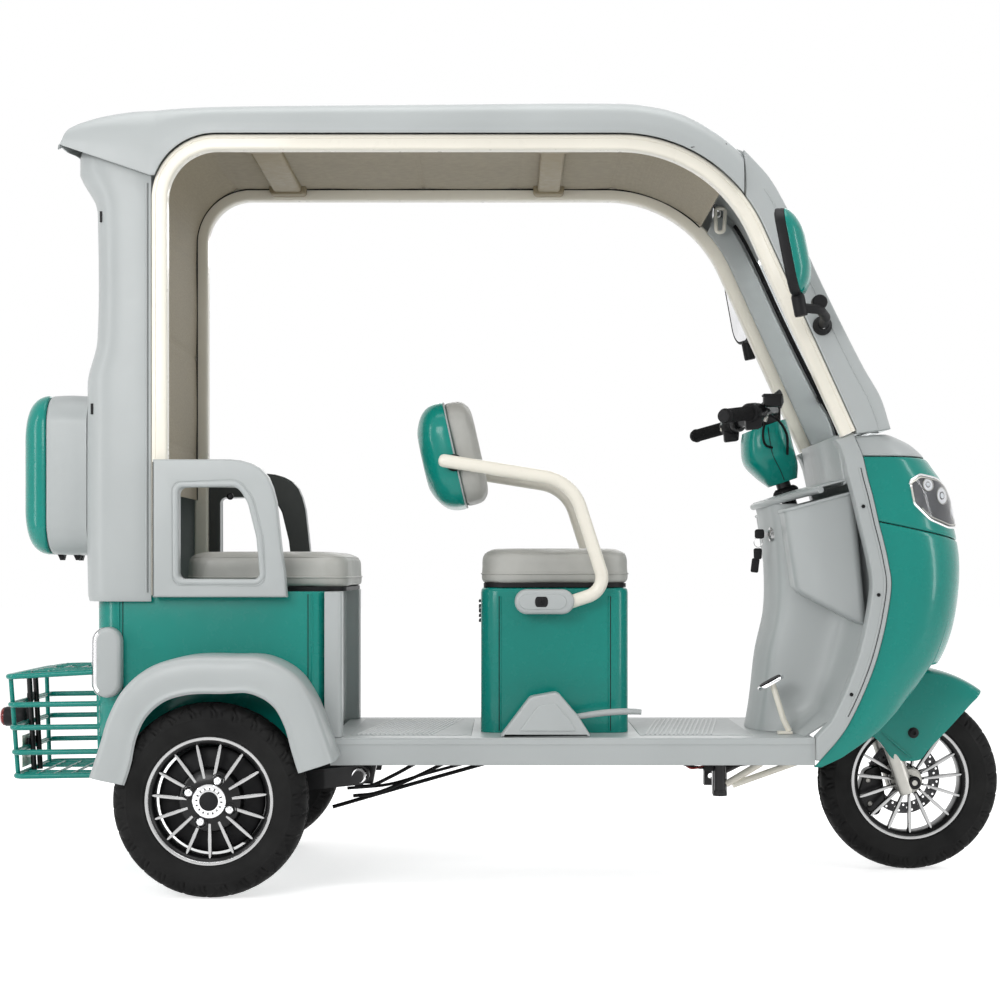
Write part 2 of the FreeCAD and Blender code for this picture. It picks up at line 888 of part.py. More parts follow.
def make_floor():
    """Moulded floor tray with a skirt all round and two raised, grooved foot pads."""
    body = doc.addObject("PartDesign::Body", "floor_tray")
    plan = sketch_on(body, "floor_plan", "XY_Plane", cell("floor_bottom_z"))
    half = cell("floor_half_width")
    rear = cell("floor_rear_x")
    front = cell("floor_front_x")
    draw_outline(plan, box_outline(rear, front, f"-{half}", half))
    depth = f"{cell('floor_top_z')} - {cell('floor_bottom_z')}"
    add_feature(body, "Pad", plan, "floor_slab", depth, False)
    doc.recompute()
    under = sketch_on(body, "floor_under", "XY_Plane", cell("floor_bottom_z"))
    skirt = cell("floor_skirt")
    wide = f"({half} - {skirt})"
    hollow = box_outline(f"{rear} - {skirt}", f"{front} + {skirt}", f"-{wide}", wide)
    draw_outline(under, hollow)
    rise = f"{depth} - {cell('floor_skin')}"
    add_feature(body, "Pocket", under, "floor_hollow", rise, False, True)
    doc.recompute()
    notch = sketch_on(body, "floor_notch_plan", "XY_Plane", cell("floor_bottom_z"))
    tube = f"({cell('down_tube_radius')} * 1.5)"
    notch_rear = f"{cell('front_tube_end_x')} - {tube}"
    draw_outline(notch, box_outline(notch_rear, f"{front} + {skirt}", f"-{tube}", tube))
    cut_depth = f"{depth} + {cell('cut_overrun')}"
    add_feature(body, "Pocket", notch, "floor_notch", cut_depth, False, True)
    doc.recompute()
    driver_rear = cell("pedestal_rear_x")
    driver_front = f"({driver_rear} + {cell('pedestal_length')})"
    spans = {
        "front_pad": (driver_front, cell("front_pad_end_x"), FRONT_PAD_SHARES),
        "rear_pad": (rear, driver_rear, REAR_PAD_SHARES),
    }
    side = f"({half} - {cell('floor_pad_margin')})"
    for name, (back, ahead, pad_shares) in spans.items():
        start, end = [f"({back} + ({ahead} - {back}) * {share})" for share in pad_shares]
        drawing = sketch_on(body, f"{name}_plan", "XY_Plane", cell("floor_top_z"))
        draw_outline(drawing, box_outline(start, end, f"-{side}", side))
        add_feature(body, "Pad", drawing, name, cell("floor_pad_height"), False)
        doc.recompute()
        grooves = sketch_on(
            body, f"{name}_grooves", "XY_Plane",
            f"{cell('floor_top_z')} + {cell('floor_pad_height')} / 3",
        )
        draw_grooves(grooves, start, end, side)
        add_feature(body, "Pocket", grooves, f"{name}_cuts", cell("floor_pad_height"), False, True)
        doc.recompute()
    return keep(body, "floor_pan")


def draw_grooves(sketch, start, end, side):
    """Slanting grooves across a foot pad, each clear of the pad's edges."""
    pitch = cell("floor_groove_pitch")
    edge = f"(({end}) - ({start})) * {GROOVE_EDGE_SHARE}"
    wide = cell("floor_groove_width")
    lean = f"(({end}) - ({start})) * {GROOVE_LEAN_SHARE}"
    room = value(f"({end}) - ({start}) - 2 * {edge} - {lean} - {wide}")
    count = int(room / size("floor_groove_pitch")) + 1
    for i in range(count):
        near = f"{start} + {edge} + {i} * {pitch}"
        far = f"{near} + {lean}"
        low = f"-({side} - {edge})"
        high = f"{side} - {edge}"
        draw_outline(
            sketch, [(near, low), (f"{near} + {wide}", low), (f"{far} + {wide}", high), (far, high)]
        )


def make_seat_box():
    """Hollow base of the rear seat: four walls and a top with a well under the cushion."""
    body = doc.addObject("PartDesign::Body", "seat_box")
    half = cell("seat_box_half_width")
    rear = cell("seat_box_rear_x")
    front = cell("seat_box_front_x")
    wall = cell("seat_box_wall")
    floor = cell("floor_top_z")
    top = cell("seat_box_top_z")
    plan = sketch_on(body, "seat_box_plan", "XY_Plane", floor)
    draw_outline(plan, box_outline(rear, front, f"-{half}", half))
    block_feature = add_feature(body, "Pad", plan, "seat_box_block", f"{top} - {floor}", False)
    upright = Vector(0, 0, 1)
    middle_x = (size("seat_box_rear_x") + size("seat_box_front_x")) / 2
    front_corners = round_edges(
        body, block_feature, "seat_box_corners", cell("seat_box_corner"),
        lambda e: runs_along(e, upright) and e.CenterOfMass.x > middle_x,
    )
    round_edges(
        body, front_corners, "seat_box_rear_corners", cell("seat_box_rear_corner"),
        lambda e: runs_along(e, upright) and e.CenterOfMass.x < size("seat_box_rear_x") + 1,
    )
    doc.recompute()
    inside = sketch_on(body, "seat_box_inside", "XY_Plane", f"{floor} + {wall}")
    inset = f"(0.3 * {cell('seat_box_rear_corner')})"
    draw_outline(
        inside,
        box_outline(
            f"{rear} + {inset}", f"{front} - {inset}", f"-({half} - {inset})", f"{half} - {inset}"
        ),
    )
    add_feature(
        body, "Pocket", inside, "seat_box_hollow", f"{top} - {floor} - 2 * {wall}", False, True
    )
    doc.recompute()
    well = sketch_on(body, "seat_well_plan", "XY_Plane", f"{top} + {cell('cut_overrun')}")
    well_half = cell("seat_well_half_width")
    draw_outline(
        well,
        box_outline(
            cell("seat_well_rear_x"), f"{front} - 6 * {wall}", f"-{well_half}", well_half
        ),
    )
    add_feature(
        body, "Pocket", well, "seat_well", f"{cell('cut_overrun')} + 2 * {wall}", False, False
    )
    return keep(body, "rear_seat_box")


def make_front_trim():
    """Panel on the front of the rear seat base, with a column at each side."""
    body = doc.addObject("PartDesign::Body", "front_trim")
    half = cell("seat_box_half_width")
    x0 = f"{cell('seat_box_front_x')} + {cell('fit_gap')}"
    x1 = f"{cell('seat_box_front_x')} + {cell('front_trim_depth')}"
    panel = f"{cell('seat_box_front_x')} + {cell('front_trim_wall')} + {cell('fit_gap')}"
    low = f"({cell('floor_top_z')} + {cell('fit_gap')})"
    high = cell("seat_box_top_z")
    column = cell("front_trim_column")
    plan = sketch_on(body, "front_trim_plan", "XY_Plane", low)
    draw_outline(
        plan,
        [
            (x0, f"-{half}"),
            (x1, f"-{half}"),
            (x1, f"-({half} - {column})"),
            (panel, f"-({half} - {column} * 1.3)"),
            (panel, f"{half} - {column} * 1.3"),
            (x1, f"{half} - {column}"),
            (x1, half),
            (x0, half),
        ],
    )
    add_feature(body, "Pad", plan, "front_trim_panel", f"{high} - {low}", False)
    return keep(body, "seat_front_trim")


# Rear mudguards

FENDER_SHARES = [
    (0.000, 0.000, -0.142, 0.045),
    (0.042, 0.262, -0.187, 0.000),
    (0.080, 0.508, 0.000, 0.000),
    (0.144, 0.735, 0.000, 0.000),
    (0.247, 0.904, 0.000, 0.000),
    (0.387, 0.988, 0.000, 0.000),
    (0.573, 0.996, 0.000, 0.000),
    (0.712, 0.980, 0.000, 0.000),
    (0.833, 0.850, 0.000, 0.000),
    (0.907, 0.638, 0.000, 0.000),
    (0.954, 0.396, 0.000, 0.000),
    (1.000, 0.131, 0.000, 0.000),
]


def make_fenders():
    """Arched guard: a top sheet from the seat base outwards and a broad rounded outer face."""
    start = Vector(size("fender_rear_x"), 0, size("fender_base_z"))
    centre = Vector(rear_axle_x(), 0, size("wheel_radius"))
    inner_y = size("seat_box_half_width") + size("fit_gap")
    outer_y = size("fender_outer_y")
    wall = size("fender_wall")
    band = size("fender_band")
    face_shares = [(0.0, 0.80), (0.10, 0.93), (0.35, 1.0), (1.0, 1.0)]
    outer_loops = []
    inner_loops = []
    for row in FENDER_SHARES:
        rim = start + Vector(row[0] * size("fender_length"), 0, row[1] * size("fender_height"))
        inward = (centre - rim).normalize()
        outer = [rim + Vector(0, -inner_y, 0)]
        inner = [rim + inward * wall + Vector(0, -inner_y, 0)]
        for deep, wide in face_shares:
            y = inner_y + (outer_y - inner_y) * wide
            outer.append(rim + inward * (band * deep) + Vector(0, -y, 0))
            y_inner = y - wall * min(1, 4 * deep + 0.3)
            depth_inner = max(band * deep, wall) if deep < 0.5 else band
            inner.append(rim + inward * depth_inner + Vector(0, -y_inner, 0))
        outer_loops.append(outer)
        inner_loops.append(inner)
    right = shell_between(outer_loops, inner_loops)
    return feature("rear_fenders", Part.makeCompound([right, mirror_y(right)]))


# Rear column, roof and their lining

COLUMN_SHARES = [
    (0.000, 0.985),
    (0.130, 1.000),
    (0.500, 0.995),
    (0.536, 0.985),
    (0.624, 0.855),
    (0.927, 0.850),
    (0.957, 0.890),
]
COLUMN_EXPONENT = 5
ROOF_SLOPE_SHARE = 0.338
ROOF_SEAM_Z_SHARE = 0.943


def column_front_x():
    """The column starts just behind the rear legs of the canopy hoops."""
    return size("hoop_rear_x") - size("hoop_depth") / 2 - size("fit_gap")


def seam_height(x):
    """Height of the slanting seam between the rear column and the roof."""
    back = column_front_x() - x
    return size("roof_seat_z") * ROOF_SEAM_Z_SHARE + back * ROOF_SLOPE_SHARE


def make_rear_column():
    """Hollow moulded column behind the rear seat, open to the front, with a shelf low down."""
    front = column_front_x()
    depth = size("column_depth")
    half = size("column_half_width")
    wall = size("column_wall")
    base = size("column_base_z")
    outer = []
    inner = []
    for up, back in COLUMN_SHARES:
        level = flat_level(base + up * size("column_height"))
        far = front - back * depth
        outer.append(bulged_line(front, far, half, COLUMN_EXPONENT, level))
        inner.append(bulged_line(front, far + wall, half - wall, COLUMN_EXPONENT, level))

    def top(x):
        return seam_height(x) - size("panel_gap")

    top_x = front - depth * 1.1
    outer.append(bulged_line(front, top_x, half, COLUMN_EXPONENT, top))
    inner.append(bulged_line(front, top_x + wall, half - wall, COLUMN_EXPONENT, top))
    shell = shell_between(outer, inner)
    shelf_z = size("seat_box_top_z") + size("fit_gap")
    shelf = []
    for z in (shelf_z, shelf_z + wall):
        far = front - COLUMN_SHARES[0][1] * depth + wall / 2
        shelf.append(bulged_line(front, far, half - wall / 2, COLUMN_EXPONENT, flat_level(z)))
    return feature("rear_column", shell.fuse(solid_through(shelf)).removeSplitter())


ROOF_SHARES = [
    (0.000, -0.40),
    (0.003, -0.15),
    (0.010, 0.20),
    (0.043, 0.53),
    (0.095, 0.77),
    (0.139, 0.84),
    (0.167, 0.86),
    (0.204, 0.88),
    (0.268, 0.91),
    (0.570, 0.97),
    (0.792, 1.00),
    (0.851, 0.95),
    (0.910, 0.68),
    (0.962, 0.11),
    (1.000, -0.50),
]
ROOF_SECTION_SHARES = [
    (1.000, 0.00),
    (1.000, 0.40),
    (0.975, 0.76),
    (0.910, 0.93),
    (0.790, 1.00),
]


def hoop_top(x):
    """Height of the hoop's upper surface, along which the roof's edge runs."""
    top = size("hoop_top_z") + size("hoop_depth") / 2
    rear = size("hoop_rear_x") - size("hoop_depth") / 2
    bend = size("hoop_rear_bend") + size("hoop_depth") / 2
    if x < rear + bend:
        drop = bend - math.sqrt(max(0, bend**2 - (rear + bend - x) ** 2))
        return top - drop
    foot = Vector(size("hoop_foot_x"), 0, size("hoop_foot_z"))
    corner = Vector(size("hoop_corner_x"), 0, size("hoop_top_z"))
    turn = Vector(1, 0, 0).getAngle(foot - corner)
    bend = size("hoop_front_bend") + size("hoop_depth") / 2
    start = corner.x - size("hoop_front_bend") * math.tan(turn / 2)
    if x < start:
        return top
    if x < start + bend * math.sin(turn):
        return top - bend + math.sqrt(bend**2 - (x - start) ** 2)
    join = start + bend * math.sin(turn)
    return top - bend + bend * math.cos(turn) - (x - join) * math.tan(turn)


def make_roof():
    half = size("roof_half_width")
    wall = size("roof_wall")
    seat = size("roof_seat_z")
    crown_shares = [(0.4, 0.8), (0.0, 1.0)]
    outer = []
    inner = []
    for along, up in ROOF_SHARES:
        x = size("roof_rear_x") + along * size("roof_length")
        top = seat + up * size("roof_rise")
        if x < size("hoop_rear_x"):
            edge = min(seam_height(x), top - wall) + size("panel_gap")
        else:
            edge = hoop_top(x) + size("panel_gap")
        edge = min(edge, top - 2 * wall)
        right = []
        right_inner = []
        for wide, high in ROOF_SECTION_SHARES:
            right.append(Vector(x, -half * wide, edge + (top - edge) * high))
            right_inner.append(
                Vector(x, -(half - wall) * wide, edge + (top - wall - edge) * high)
            )
        for wide, high in crown_shares:
            rise = size("roof_crown") * high
            right.append(Vector(x, -half * wide, top + rise))
            right_inner.append(Vector(x, -(half - wall) * wide, top + rise - wall))
        outer.append(right + [Vector(p.x, -p.y, p.z) for p in right[-2::-1]])
        inner.append(right_inner + [Vector(p.x, -p.y, p.z) for p in right_inner[-2::-1]])
    return feature("roof_shell", shell_between(outer, inner))


def make_hoops():
    """Rear leg, top run and front leg of each canopy hoop, a rounded bar in one sweep."""
    y = size("hoop_half_width") - size("hoop_thickness") / 2
    points = [
        Vector(size("hoop_rear_x"), -y, size("seat_box_top_z") + size("fit_gap")),
        Vector(size("hoop_rear_x"), -y, size("hoop_top_z")),
        Vector(size("hoop_corner_x"), -y, size("hoop_top_z")),
        Vector(size("hoop_foot_x"), -y, size("hoop_foot_z")),
    ]
    path = bent_path(points, [size("hoop_rear_bend"), size("hoop_front_bend")])
    half_depth = size("hoop_depth") / 2
    half_wide = size("hoop_thickness") / 2
    round_share = 0.35
    section = []
    for x_sign, y_sign in ((1, 1), (-1, 1), (-1, -1), (1, -1)):
        steps = [(1, 1 - round_share), (1 - round_share, 1)]
        if x_sign * y_sign < 0:
            steps.reverse()
        for along, across in steps:
            offset = Vector(x_sign * half_depth * along, y_sign * half_wide * across, 0)
            section.append(points[0] + offset)
    face = Part.Face(Part.makePolygon(section + section[:1]))
    right = path.makePipe(face)
    return feature("canopy_hoops", Part.makeCompound([right, mirror_y(right)]))


def lining_line(depth):
    """Line that far out from the hoops' middle line towards the cabin, as (x, z) points."""
    rear = size("hoop_rear_x")
    top = size("hoop_top_z")
    bend = size("hoop_rear_bend")
    start_z = size("seat_box_top_z") + size("cushion_height") + size("cushion_base")
    points = [(rear + depth, start_z + size("lining_lift"))]
    steps = 10
    for i in range(steps + 1):
        angle = math.pi / 2 * i / steps
        reach = bend - depth
        points.append(
            (rear + bend - reach * math.cos(angle), top - bend + reach * math.sin(angle))
        )
    foot = Vector(size("hoop_foot_x"), 0, size("hoop_foot_z"))
    corner = Vector(size("hoop_corner_x"), 0, top)
    turn = Vector(1, 0, 0).getAngle(foot - corner)
    bend = size("hoop_front_bend")
    start = corner.x - bend * math.tan(turn / 2)
    for i in range(steps + 1):
        angle = turn * LINING_END_SHARE * i / steps
        reach = bend - depth
        points.append((start + reach * math.sin(angle), top - bend + reach * math.cos(angle)))
    return points


LINING_END_SHARE = 0.75
REAR_BEND_POINTS = 11


def lining_half_width():
    return size("hoop_half_width") - size("hoop_thickness") - size("fit_gap")


def make_roof_lining():
    """Sheet from the hoops' rear bends forward under the roof, with two cross bars."""
    depth = size("lining_setback")
    inner = lining_line(depth)[1:]
    outer = lining_line(depth - size("lining_wall"))[1:]
    half = lining_half_width()
    shapes = [side_slab(inner + outer[::-1], -half, half)]
    low = size("hoop_top_z") - depth
    start = size("hoop_rear_x") + size("hoop_rear_bend")
    span = inner[REAR_BEND_POINTS][0] - start
    bar_shares = [0.070, 0.807]
    for share in bar_shares:
        x = start + span * share
        shapes.append(
            block(
                Vector(x, -half, low - size("roof_bar_depth")),
                Vector(x + size("roof_bar_width"), half, low + size("lining_wall") / 2),
            )
        )
    return feature("roof_lining", shapes[0].multiFuse(shapes[1:]).removeSplitter())


def make_back_lining():
    """Sheet between the hoops' rear legs, from above the seat up to the roof lining."""
    depth = size("lining_setback")
    inner_foot, inner_top = lining_line(depth)[:2]
    outer_foot, outer_top = lining_line(depth - size("lining_wall"))[:2]
    drop = size("panel_gap")
    points = [
        inner_foot,
        (inner_top[0], inner_top[1] - drop),
        (outer_top[0], outer_top[1] - drop),
        outer_foot,
    ]
    half = lining_half_width()
    return feature("back_lining", side_slab(points, -half, half))


# Windscreen

def pillar_line():
    """Front edge of the pillars, from the roof's end down to the cowl, as (x, z) points."""
    top_x = size("roof_rear_x") + size("roof_length") + size("panel_gap")
    top_z = size("roof_seat_z") + ROOF_SHARES[-1][1] * size("roof_rise")
    foot_x = size("shield_rear_x") + 0.43 * size("shield_depth")
    foot_z = size("shield_base_z") + size("shield_height") * 1.005
    return top_x, top_z, foot_x, foot_z


def make_windscreen_frame():
    """Two pillars along the hoops' front legs, joined by a header under the roof's end."""
    top_x, top_z, foot_x, foot_z = pillar_line()
    gap = size("panel_gap")
    corner = Vector(size("hoop_corner_x"), 0, size("hoop_top_z"))
    foot = Vector(size("hoop_foot_x"), 0, size("hoop_foot_z"))
    down = (foot - corner).normalize()
    ahead = Vector(-down.z, 0, down.x)
    offset = ahead * (size("hoop_depth") / 2 + 2 * gap)
    span_x = foot_x - top_x
    span_z = top_z - foot_z
    front = [(top_x, top_z)]
    bow_shares = [(0.09, 0.07), (0.25, 0.26), (0.62, 0.63), (1.0, 1.0)]
    for along, down_share in bow_shares:
        front.append((top_x + span_x * along, top_z - span_z * down_share))
    back_foot = foot + offset
    back = [(back_foot.x, back_foot.z)]
    join_x = size("hoop_corner_x") + size("hoop_front_bend") * 0.4
    steps = 5
    for i in range(steps + 1):
        x = join_x + (top_x - join_x) * i / steps
        back.append((x, hoop_top(x) + 2 * gap))
    outer_y = size("pillar_half_width")
    inner_y = outer_y - size("pillar_thickness")
    right = side_slab(front + back, -outer_y, -inner_y)
    x1, z1 = front[1]
    wall = size("roof_wall")
    header_points = [
        (top_x, top_z),
        (x1, z1),
        front[2],
        (front[2][0] - 2 * wall, front[2][1]),
        (x1 - 2 * wall, z1 - wall),
        (top_x, top_z - 3 * wall),
    ]
    header = side_slab(header_points, -inner_y, inner_y)
    return feature(
        "windscreen_frame", right.multiFuse([mirror_y(right), header]).removeSplitter()
    )


def make_windscreen():
    """Flat clear sheet laid on the front of the pillars."""
    top_x, top_z, foot_x, foot_z = pillar_line()
    span_x = foot_x - top_x
    span_z = top_z - foot_z
    high = Vector(top_x + span_x * 0.25, 0, top_z - span_z * 0.26)
    middle = Vector(top_x + span_x * 0.62, 0, top_z - span_z * 0.63)
    low = Vector(foot_x, 0, foot_z)
    gap = size("fit_gap")
    thick = size("glass_thickness")
    back = []
    front = []
    for spot in (high, middle, low):
        normal = Vector(high.z - low.z, 0, low.x - high.x).normalize()
        back.append(spot + normal * gap)
        front.append(spot + normal * (gap + thick))
    points = [(p.x, p.z) for p in back + front[::-1]]
    half = size("glass_half_width")
    return feature("windscreen_glass", side_slab(points, -half, half))


# Nose, shields and trim

NOSE_SHARES = [
    (0.000, -0.020, 0.36),
    (0.030, 0.030, 0.39),
    (0.090, 0.134, 0.47),
    (0.135, 0.195, 0.566),
    (0.215, 0.274, 0.670),
    (0.305, 0.345, 0.813),
    (0.377, 0.387, 0.884),
    (0.453, 0.420, 0.924),
    (0.550, 0.445, 0.947),
    (0.623, 0.424, 0.950),
    (0.677, 0.400, 0.937),
    (0.724, 0.376, 0.918),
    (0.810, 0.337, 0.880),
    (0.860, 0.310, 0.842),
    (0.900, 0.292, 0.784),
    (0.927, 0.279, 0.742),
    (0.967, 0.247, 0.650),
    (0.990, 0.226, 0.547),
    (1.005, 0.240, 0.453),
]
PARTING_SHARE = 0.677
PARTING_SLOPE_SHARE = -0.2
COWL_SHARE = 0.927
COWL_SLOPE_SHARE = 0.1
NOSE_EXPONENT = 3


def shield_x(share):
    return size("shield_rear_x") + share * size("shield_depth")


def shield_z(share):
    return size("shield_base_z") + share * size("shield_height")


def nose_level(share, slope, lift=0):
    middle = shield_x(between(NOSE_SHARES, share, 2))
    return lambda x: shield_z(share) + lift + slope * (x - middle)


def nose_skin(low_share, high_share, low_slope, high_slope, proud=0):
    """Moulded wall of the nose between two heights, each with its own slant."""
    gap = size("panel_gap") / 2
    levels = [low_share]
    levels += [row[0] for row in NOSE_SHARES if low_share < row[0] < high_share]
    levels.append(high_share)
    outer = []
    inner = []
    wall = size("shield_wall")
    half = size("shield_half_width")
    for share in levels:
        slope = 0
        lift = 0
        if share == low_share:
            slope = low_slope
            lift = gap
        elif share == high_share:
            slope = high_slope
            lift = -gap
        level = nose_level(share, slope, lift)
        side = shield_x(between(NOSE_SHARES, share, 1))
        front = shield_x(between(NOSE_SHARES, share, 2))
        out = bulged_line(side, front + proud, half + proud, NOSE_EXPONENT, level, 14)
        back = wall if not proud else -size("fit_gap")
        inside = bulged_line(side, front - back, half - back, NOSE_EXPONENT, level, 14)
        outer.append(out)
        inner.append(inside)
    return shell_between(outer, inner)


ARCH_SHARES = [
    (0.037, 0.008),
    (0.155, 0.035),
    (0.353, 0.099),
    (0.482, 0.160),
    (0.574, 0.215),
    (0.642, 0.259),
    (0.695, 0.306),
    (1.100, 0.306),
]


def make_nose():
    feature("nose_cowl", nose_skin(COWL_SHARE, NOSE_SHARES[-1][0], 0, COWL_SLOPE_SHARE))
    feature("nose_panel", nose_skin(PARTING_SHARE, COWL_SHARE, PARTING_SLOPE_SHARE, 0))
    shield = nose_skin(0.0, PARTING_SHARE, 0, PARTING_SLOPE_SHARE)
    below = size("cut_overrun")
    arch = [(shield_x(along), shield_z(up)) for along, up in ARCH_SHARES]
    arch.append((arch[-1][0], shield_z(0) - below))
    arch.append((arch[0][0], shield_z(0) - below))
    wide = size("shield_half_width") + below
    return feature("front_shield", shield.cut(side_slab(arch, -wide, wide)))


TRIM_FOOT_SHARE = 0.135


def make_shield_trim():
    """Broad moulded edge behind the nose at each side, from the hoop's foot to the floor."""
    gap = size("panel_gap")
    front = []
    back = []
    corner = Vector(size("hoop_corner_x"), 0, size("hoop_top_z"))
    down = (Vector(size("hoop_foot_x"), 0, size("hoop_foot_z")) - corner).normalize()
    slant = -down.x / down.z
    for up, side, _ in NOSE_SHARES[1:-1]:
        x = shield_x(side) - gap
        z = shield_z(up)
        x_back = x - size("trim_band")
        front.append((x, min(z, size("hoop_foot_z") + (x - size("hoop_foot_x")) * slant - gap)))
        z_back = min(z, size("hoop_foot_z") + (x_back - size("hoop_foot_x")) * slant - gap)
        if up >= TRIM_FOOT_SHARE:
            back.append((x_back, z_back))
    foot = [
        (size("floor_front_x") + gap, size("floor_top_z")),
        (size("floor_front_x") + gap, shield_z(NOSE_SHARES[1][0])),
    ]
    points = back[::-1] + foot + front
    right = side_slab(points, -size("trim_outer_y"), -size("trim_inner_y"))
    return feature("shield_trim", Part.makeCompound([right, mirror_y(right)]))


CONSOLE_SHARES = [
    (0.099, -0.313),
    (0.185, -0.285),
    (0.336, -0.250),
    (0.472, -0.195),
    (0.623, -0.195),
    (0.748, -0.224),
    (0.795, -0.245),
]


def make_leg_shield():
    """Inner wall of the nose: a console round the steering column and a wing to each side."""
    wall = size("shield_wall")
    half = size("trim_inner_y") - size("panel_gap")
    outer = []
    inner = []
    for up, rear in CONSOLE_SHARES:
        z = shield_z(up)
        x_rear = shield_x(rear)
        x_side = shield_x(between(NOSE_SHARES, up, 1)) - size("trim_band") / 2
        if up == CONSOLE_SHARES[0][0]:
            z = size("floor_top_z") + size("fit_gap")
            x_side = size("floor_front_x") - 3 * wall
        x_flank = x_rear + (x_side - x_rear) * 0.75
        plan = [
            (x_side, half),
            (x_side - wall, half - 4 * wall),
            (x_flank, size("console_flank")),
            (x_rear + 2 * wall, size("console_half_width") + 2 * wall),
            (x_rear, size("console_half_width") - 2 * wall),
        ]
        right = [Vector(x, -y, z) for x, y in plan]
        left = [Vector(x, y, z) for x, y in plan[::-1]]
        outer.append(right + left)
        inside = [
            (x_side + wall, half),
            (x_side, half - 5 * wall),
            (x_flank + wall, size("console_flank") - wall),
            (x_rear + 3 * wall, size("console_half_width") + wall),
            (x_rear + wall, size("console_half_width") - 3 * wall),
        ]
        right = [Vector(x, -y, z) for x, y in inside]
        left = [Vector(x, y, z) for x, y in inside[::-1]]
        inner.append(right + left)
    return feature("leg_shield", shell_between(outer, inner))


DASH_PLAN_SHARES = [(0.374, 1.0), (0.050, 1.0), (0.010, 0.77), (-0.222, 0.45), (-0.252, 0.36)]
DASH_REAR_SHARE = 0.797
DASH_SLOPE_SHARE = 0.30


def make_dash_panel():
    """Sloping panel over the console, with a hole for the steering stem."""
    half = size("trim_inner_y") - size("fit_gap")
    rear = shield_x(DASH_PLAN_SHARES[-1][0])
    low = []
    for along, across in DASH_PLAN_SHARES:
        x = shield_x(along)
        z = shield_z(DASH_REAR_SHARE) + (x - rear) * DASH_SLOPE_SHARE
        low.append(Vector(x, -half * across, z))
    low += [Vector(p.x, -p.y, p.z) for p in low[::-1]]
    high = [p + Vector(0, 0, size("dash_wall")) for p in low]
    panel = solid_through([low, high])
    bore = rod(
        axis_at(size("head_tube_low_z")),
        axis_at(size("bar_z")),
        size("stem_radius") + size("stem_clearance"),
    )
    return feature("dash_panel", panel.cut(bore))


POCKET_SHARES = [(-0.160, 0.765), (-0.085, 0.532), (0.120, 0.430)]
POCKET_TOP_SLOPE_SHARE = 0.30


def flank_x(z):
    """Where the leg shield's side wall stands at a height."""
    up = (z - shield_z(0)) / size("shield_height")
    rear = shield_x(between(CONSOLE_SHARES, up, 1))
    side = shield_x(between(NOSE_SHARES, up, 1)) - size("trim_band") / 2
    return rear + (side - rear) * 0.75


def pocket_outline(inset):
    """Side outline of a glove pocket, or of the room inside it."""
    points = [(shield_x(a) + inset, shield_z(u) + inset) for a, u in POCKET_SHARES]
    foot_z = points[-1][1]
    setback = size("fit_gap") + size("panel_gap") + inset
    front = [(flank_x(foot_z) - setback, foot_z)]
    top_z = shield_z(POCKET_SHARES[0][1]) + inset
    rim_z = shield_z(CONSOLE_SHARES[-1][0])
    top_x = min(flank_x(top_z), flank_x(rim_z)) - setback
    front.append((top_x, top_z + (top_x - points[0][0]) * POCKET_TOP_SLOPE_SHARE))
    return points[:-1] + front


def make_glove_pockets():
    """Open-topped pocket at each side of the console, against the leg shield."""
    outline = pocket_outline(0)
    wall = size("pocket_wall")
    inside = pocket_outline(wall)
    over = size("cut_overrun")
    opened = inside[1:-1] + [(x, z + over) for x, z in (inside[-1], inside[0])]
    outer_y = size("pocket_outer_y")
    inner_y = size("pocket_inner_y")
    box = side_slab(outline, -outer_y, -inner_y)
    right = box.cut(side_slab(opened, -(outer_y - wall), -(inner_y + wall)))
    return feature("glove_pockets", Part.makeCompound([right, mirror_y(right)]))


LAMP_SHARES = [
    (0.545, 0.848),
    (0.605, 0.872),
    (0.735, 0.862),
    (0.930, 0.800),
    (0.930, 0.722),
    (0.800, 0.728),
    (0.675, 0.748),
    (0.595, 0.782),
]


# Driver's pedestal, battery and seats


def rounded_box(name, rear, front, half, low, high, corner):
    """Body padded from a plan rectangle, with its upright edges rounded."""
    body = doc.addObject("PartDesign::Body", name)
    plan = sketch_on(body, f"{name}_plan", "XY_Plane", low)
    draw_outline(plan, box_outline(rear, front, f"-({half})", half))
    pad = add_feature(body, "Pad", plan, f"{name}_pad", f"({high}) - ({low})", False)
    fillet = round_edges(
        body, pad, f"{name}_corners", corner, lambda e: runs_along(e, Vector(0, 0, 1))
    )
    return body, fillet


def make_pedestal():
    rear = cell("pedestal_rear_x")
    front = f"{cell('pedestal_rear_x')} + {cell('pedestal_length')}"
    half = cell("pedestal_half_width")
    low = f"{cell('floor_top_z')} + {cell('fit_gap')}"
    body, _ = rounded_box(
        "pedestal", rear, front, half, low, cell("pedestal_top_z"), cell("pedestal_corner")
    )
    doc.recompute()
    wall = cell("pedestal_wall")
    inside = sketch_on(body, "pedestal_inside", "XY_Plane", f"{low} + {wall}")
    inset = f"{wall} * 3"
    draw_outline(
        inside,
        box_outline(
            f"{rear} + {inset}", f"{front} - {inset}", f"-({half} - {inset})", f"{half} - {inset}"
        ),
    )
    tall = f"{cell('pedestal_top_z')} - {cell('floor_top_z')} + {cell('cut_overrun')}"
    add_feature(body, "Pocket", inside, "pedestal_hollow", tall, False, True)
    keep(body, "driver_pedestal")
    battery = doc.addObject("Part::Box", "battery_block")
    battery.setExpression("Length", cell("battery_length"))
    battery.setExpression("Width", cell("battery_width"))
    battery.setExpression("Height", cell("battery_height"))
    middle = f"{rear} + {cell('pedestal_length')} / 2"
    battery.setExpression("Placement.Base.x", f"{middle} - {cell('battery_length')} / 2")
    battery.setExpression("Placement.Base.y", f"-{cell('battery_width')} / 2")
    battery.setExpression("Placement.Base.z", f"{low} + {wall} + {cell('fit_gap')}")
    keep(battery, "battery_pack")


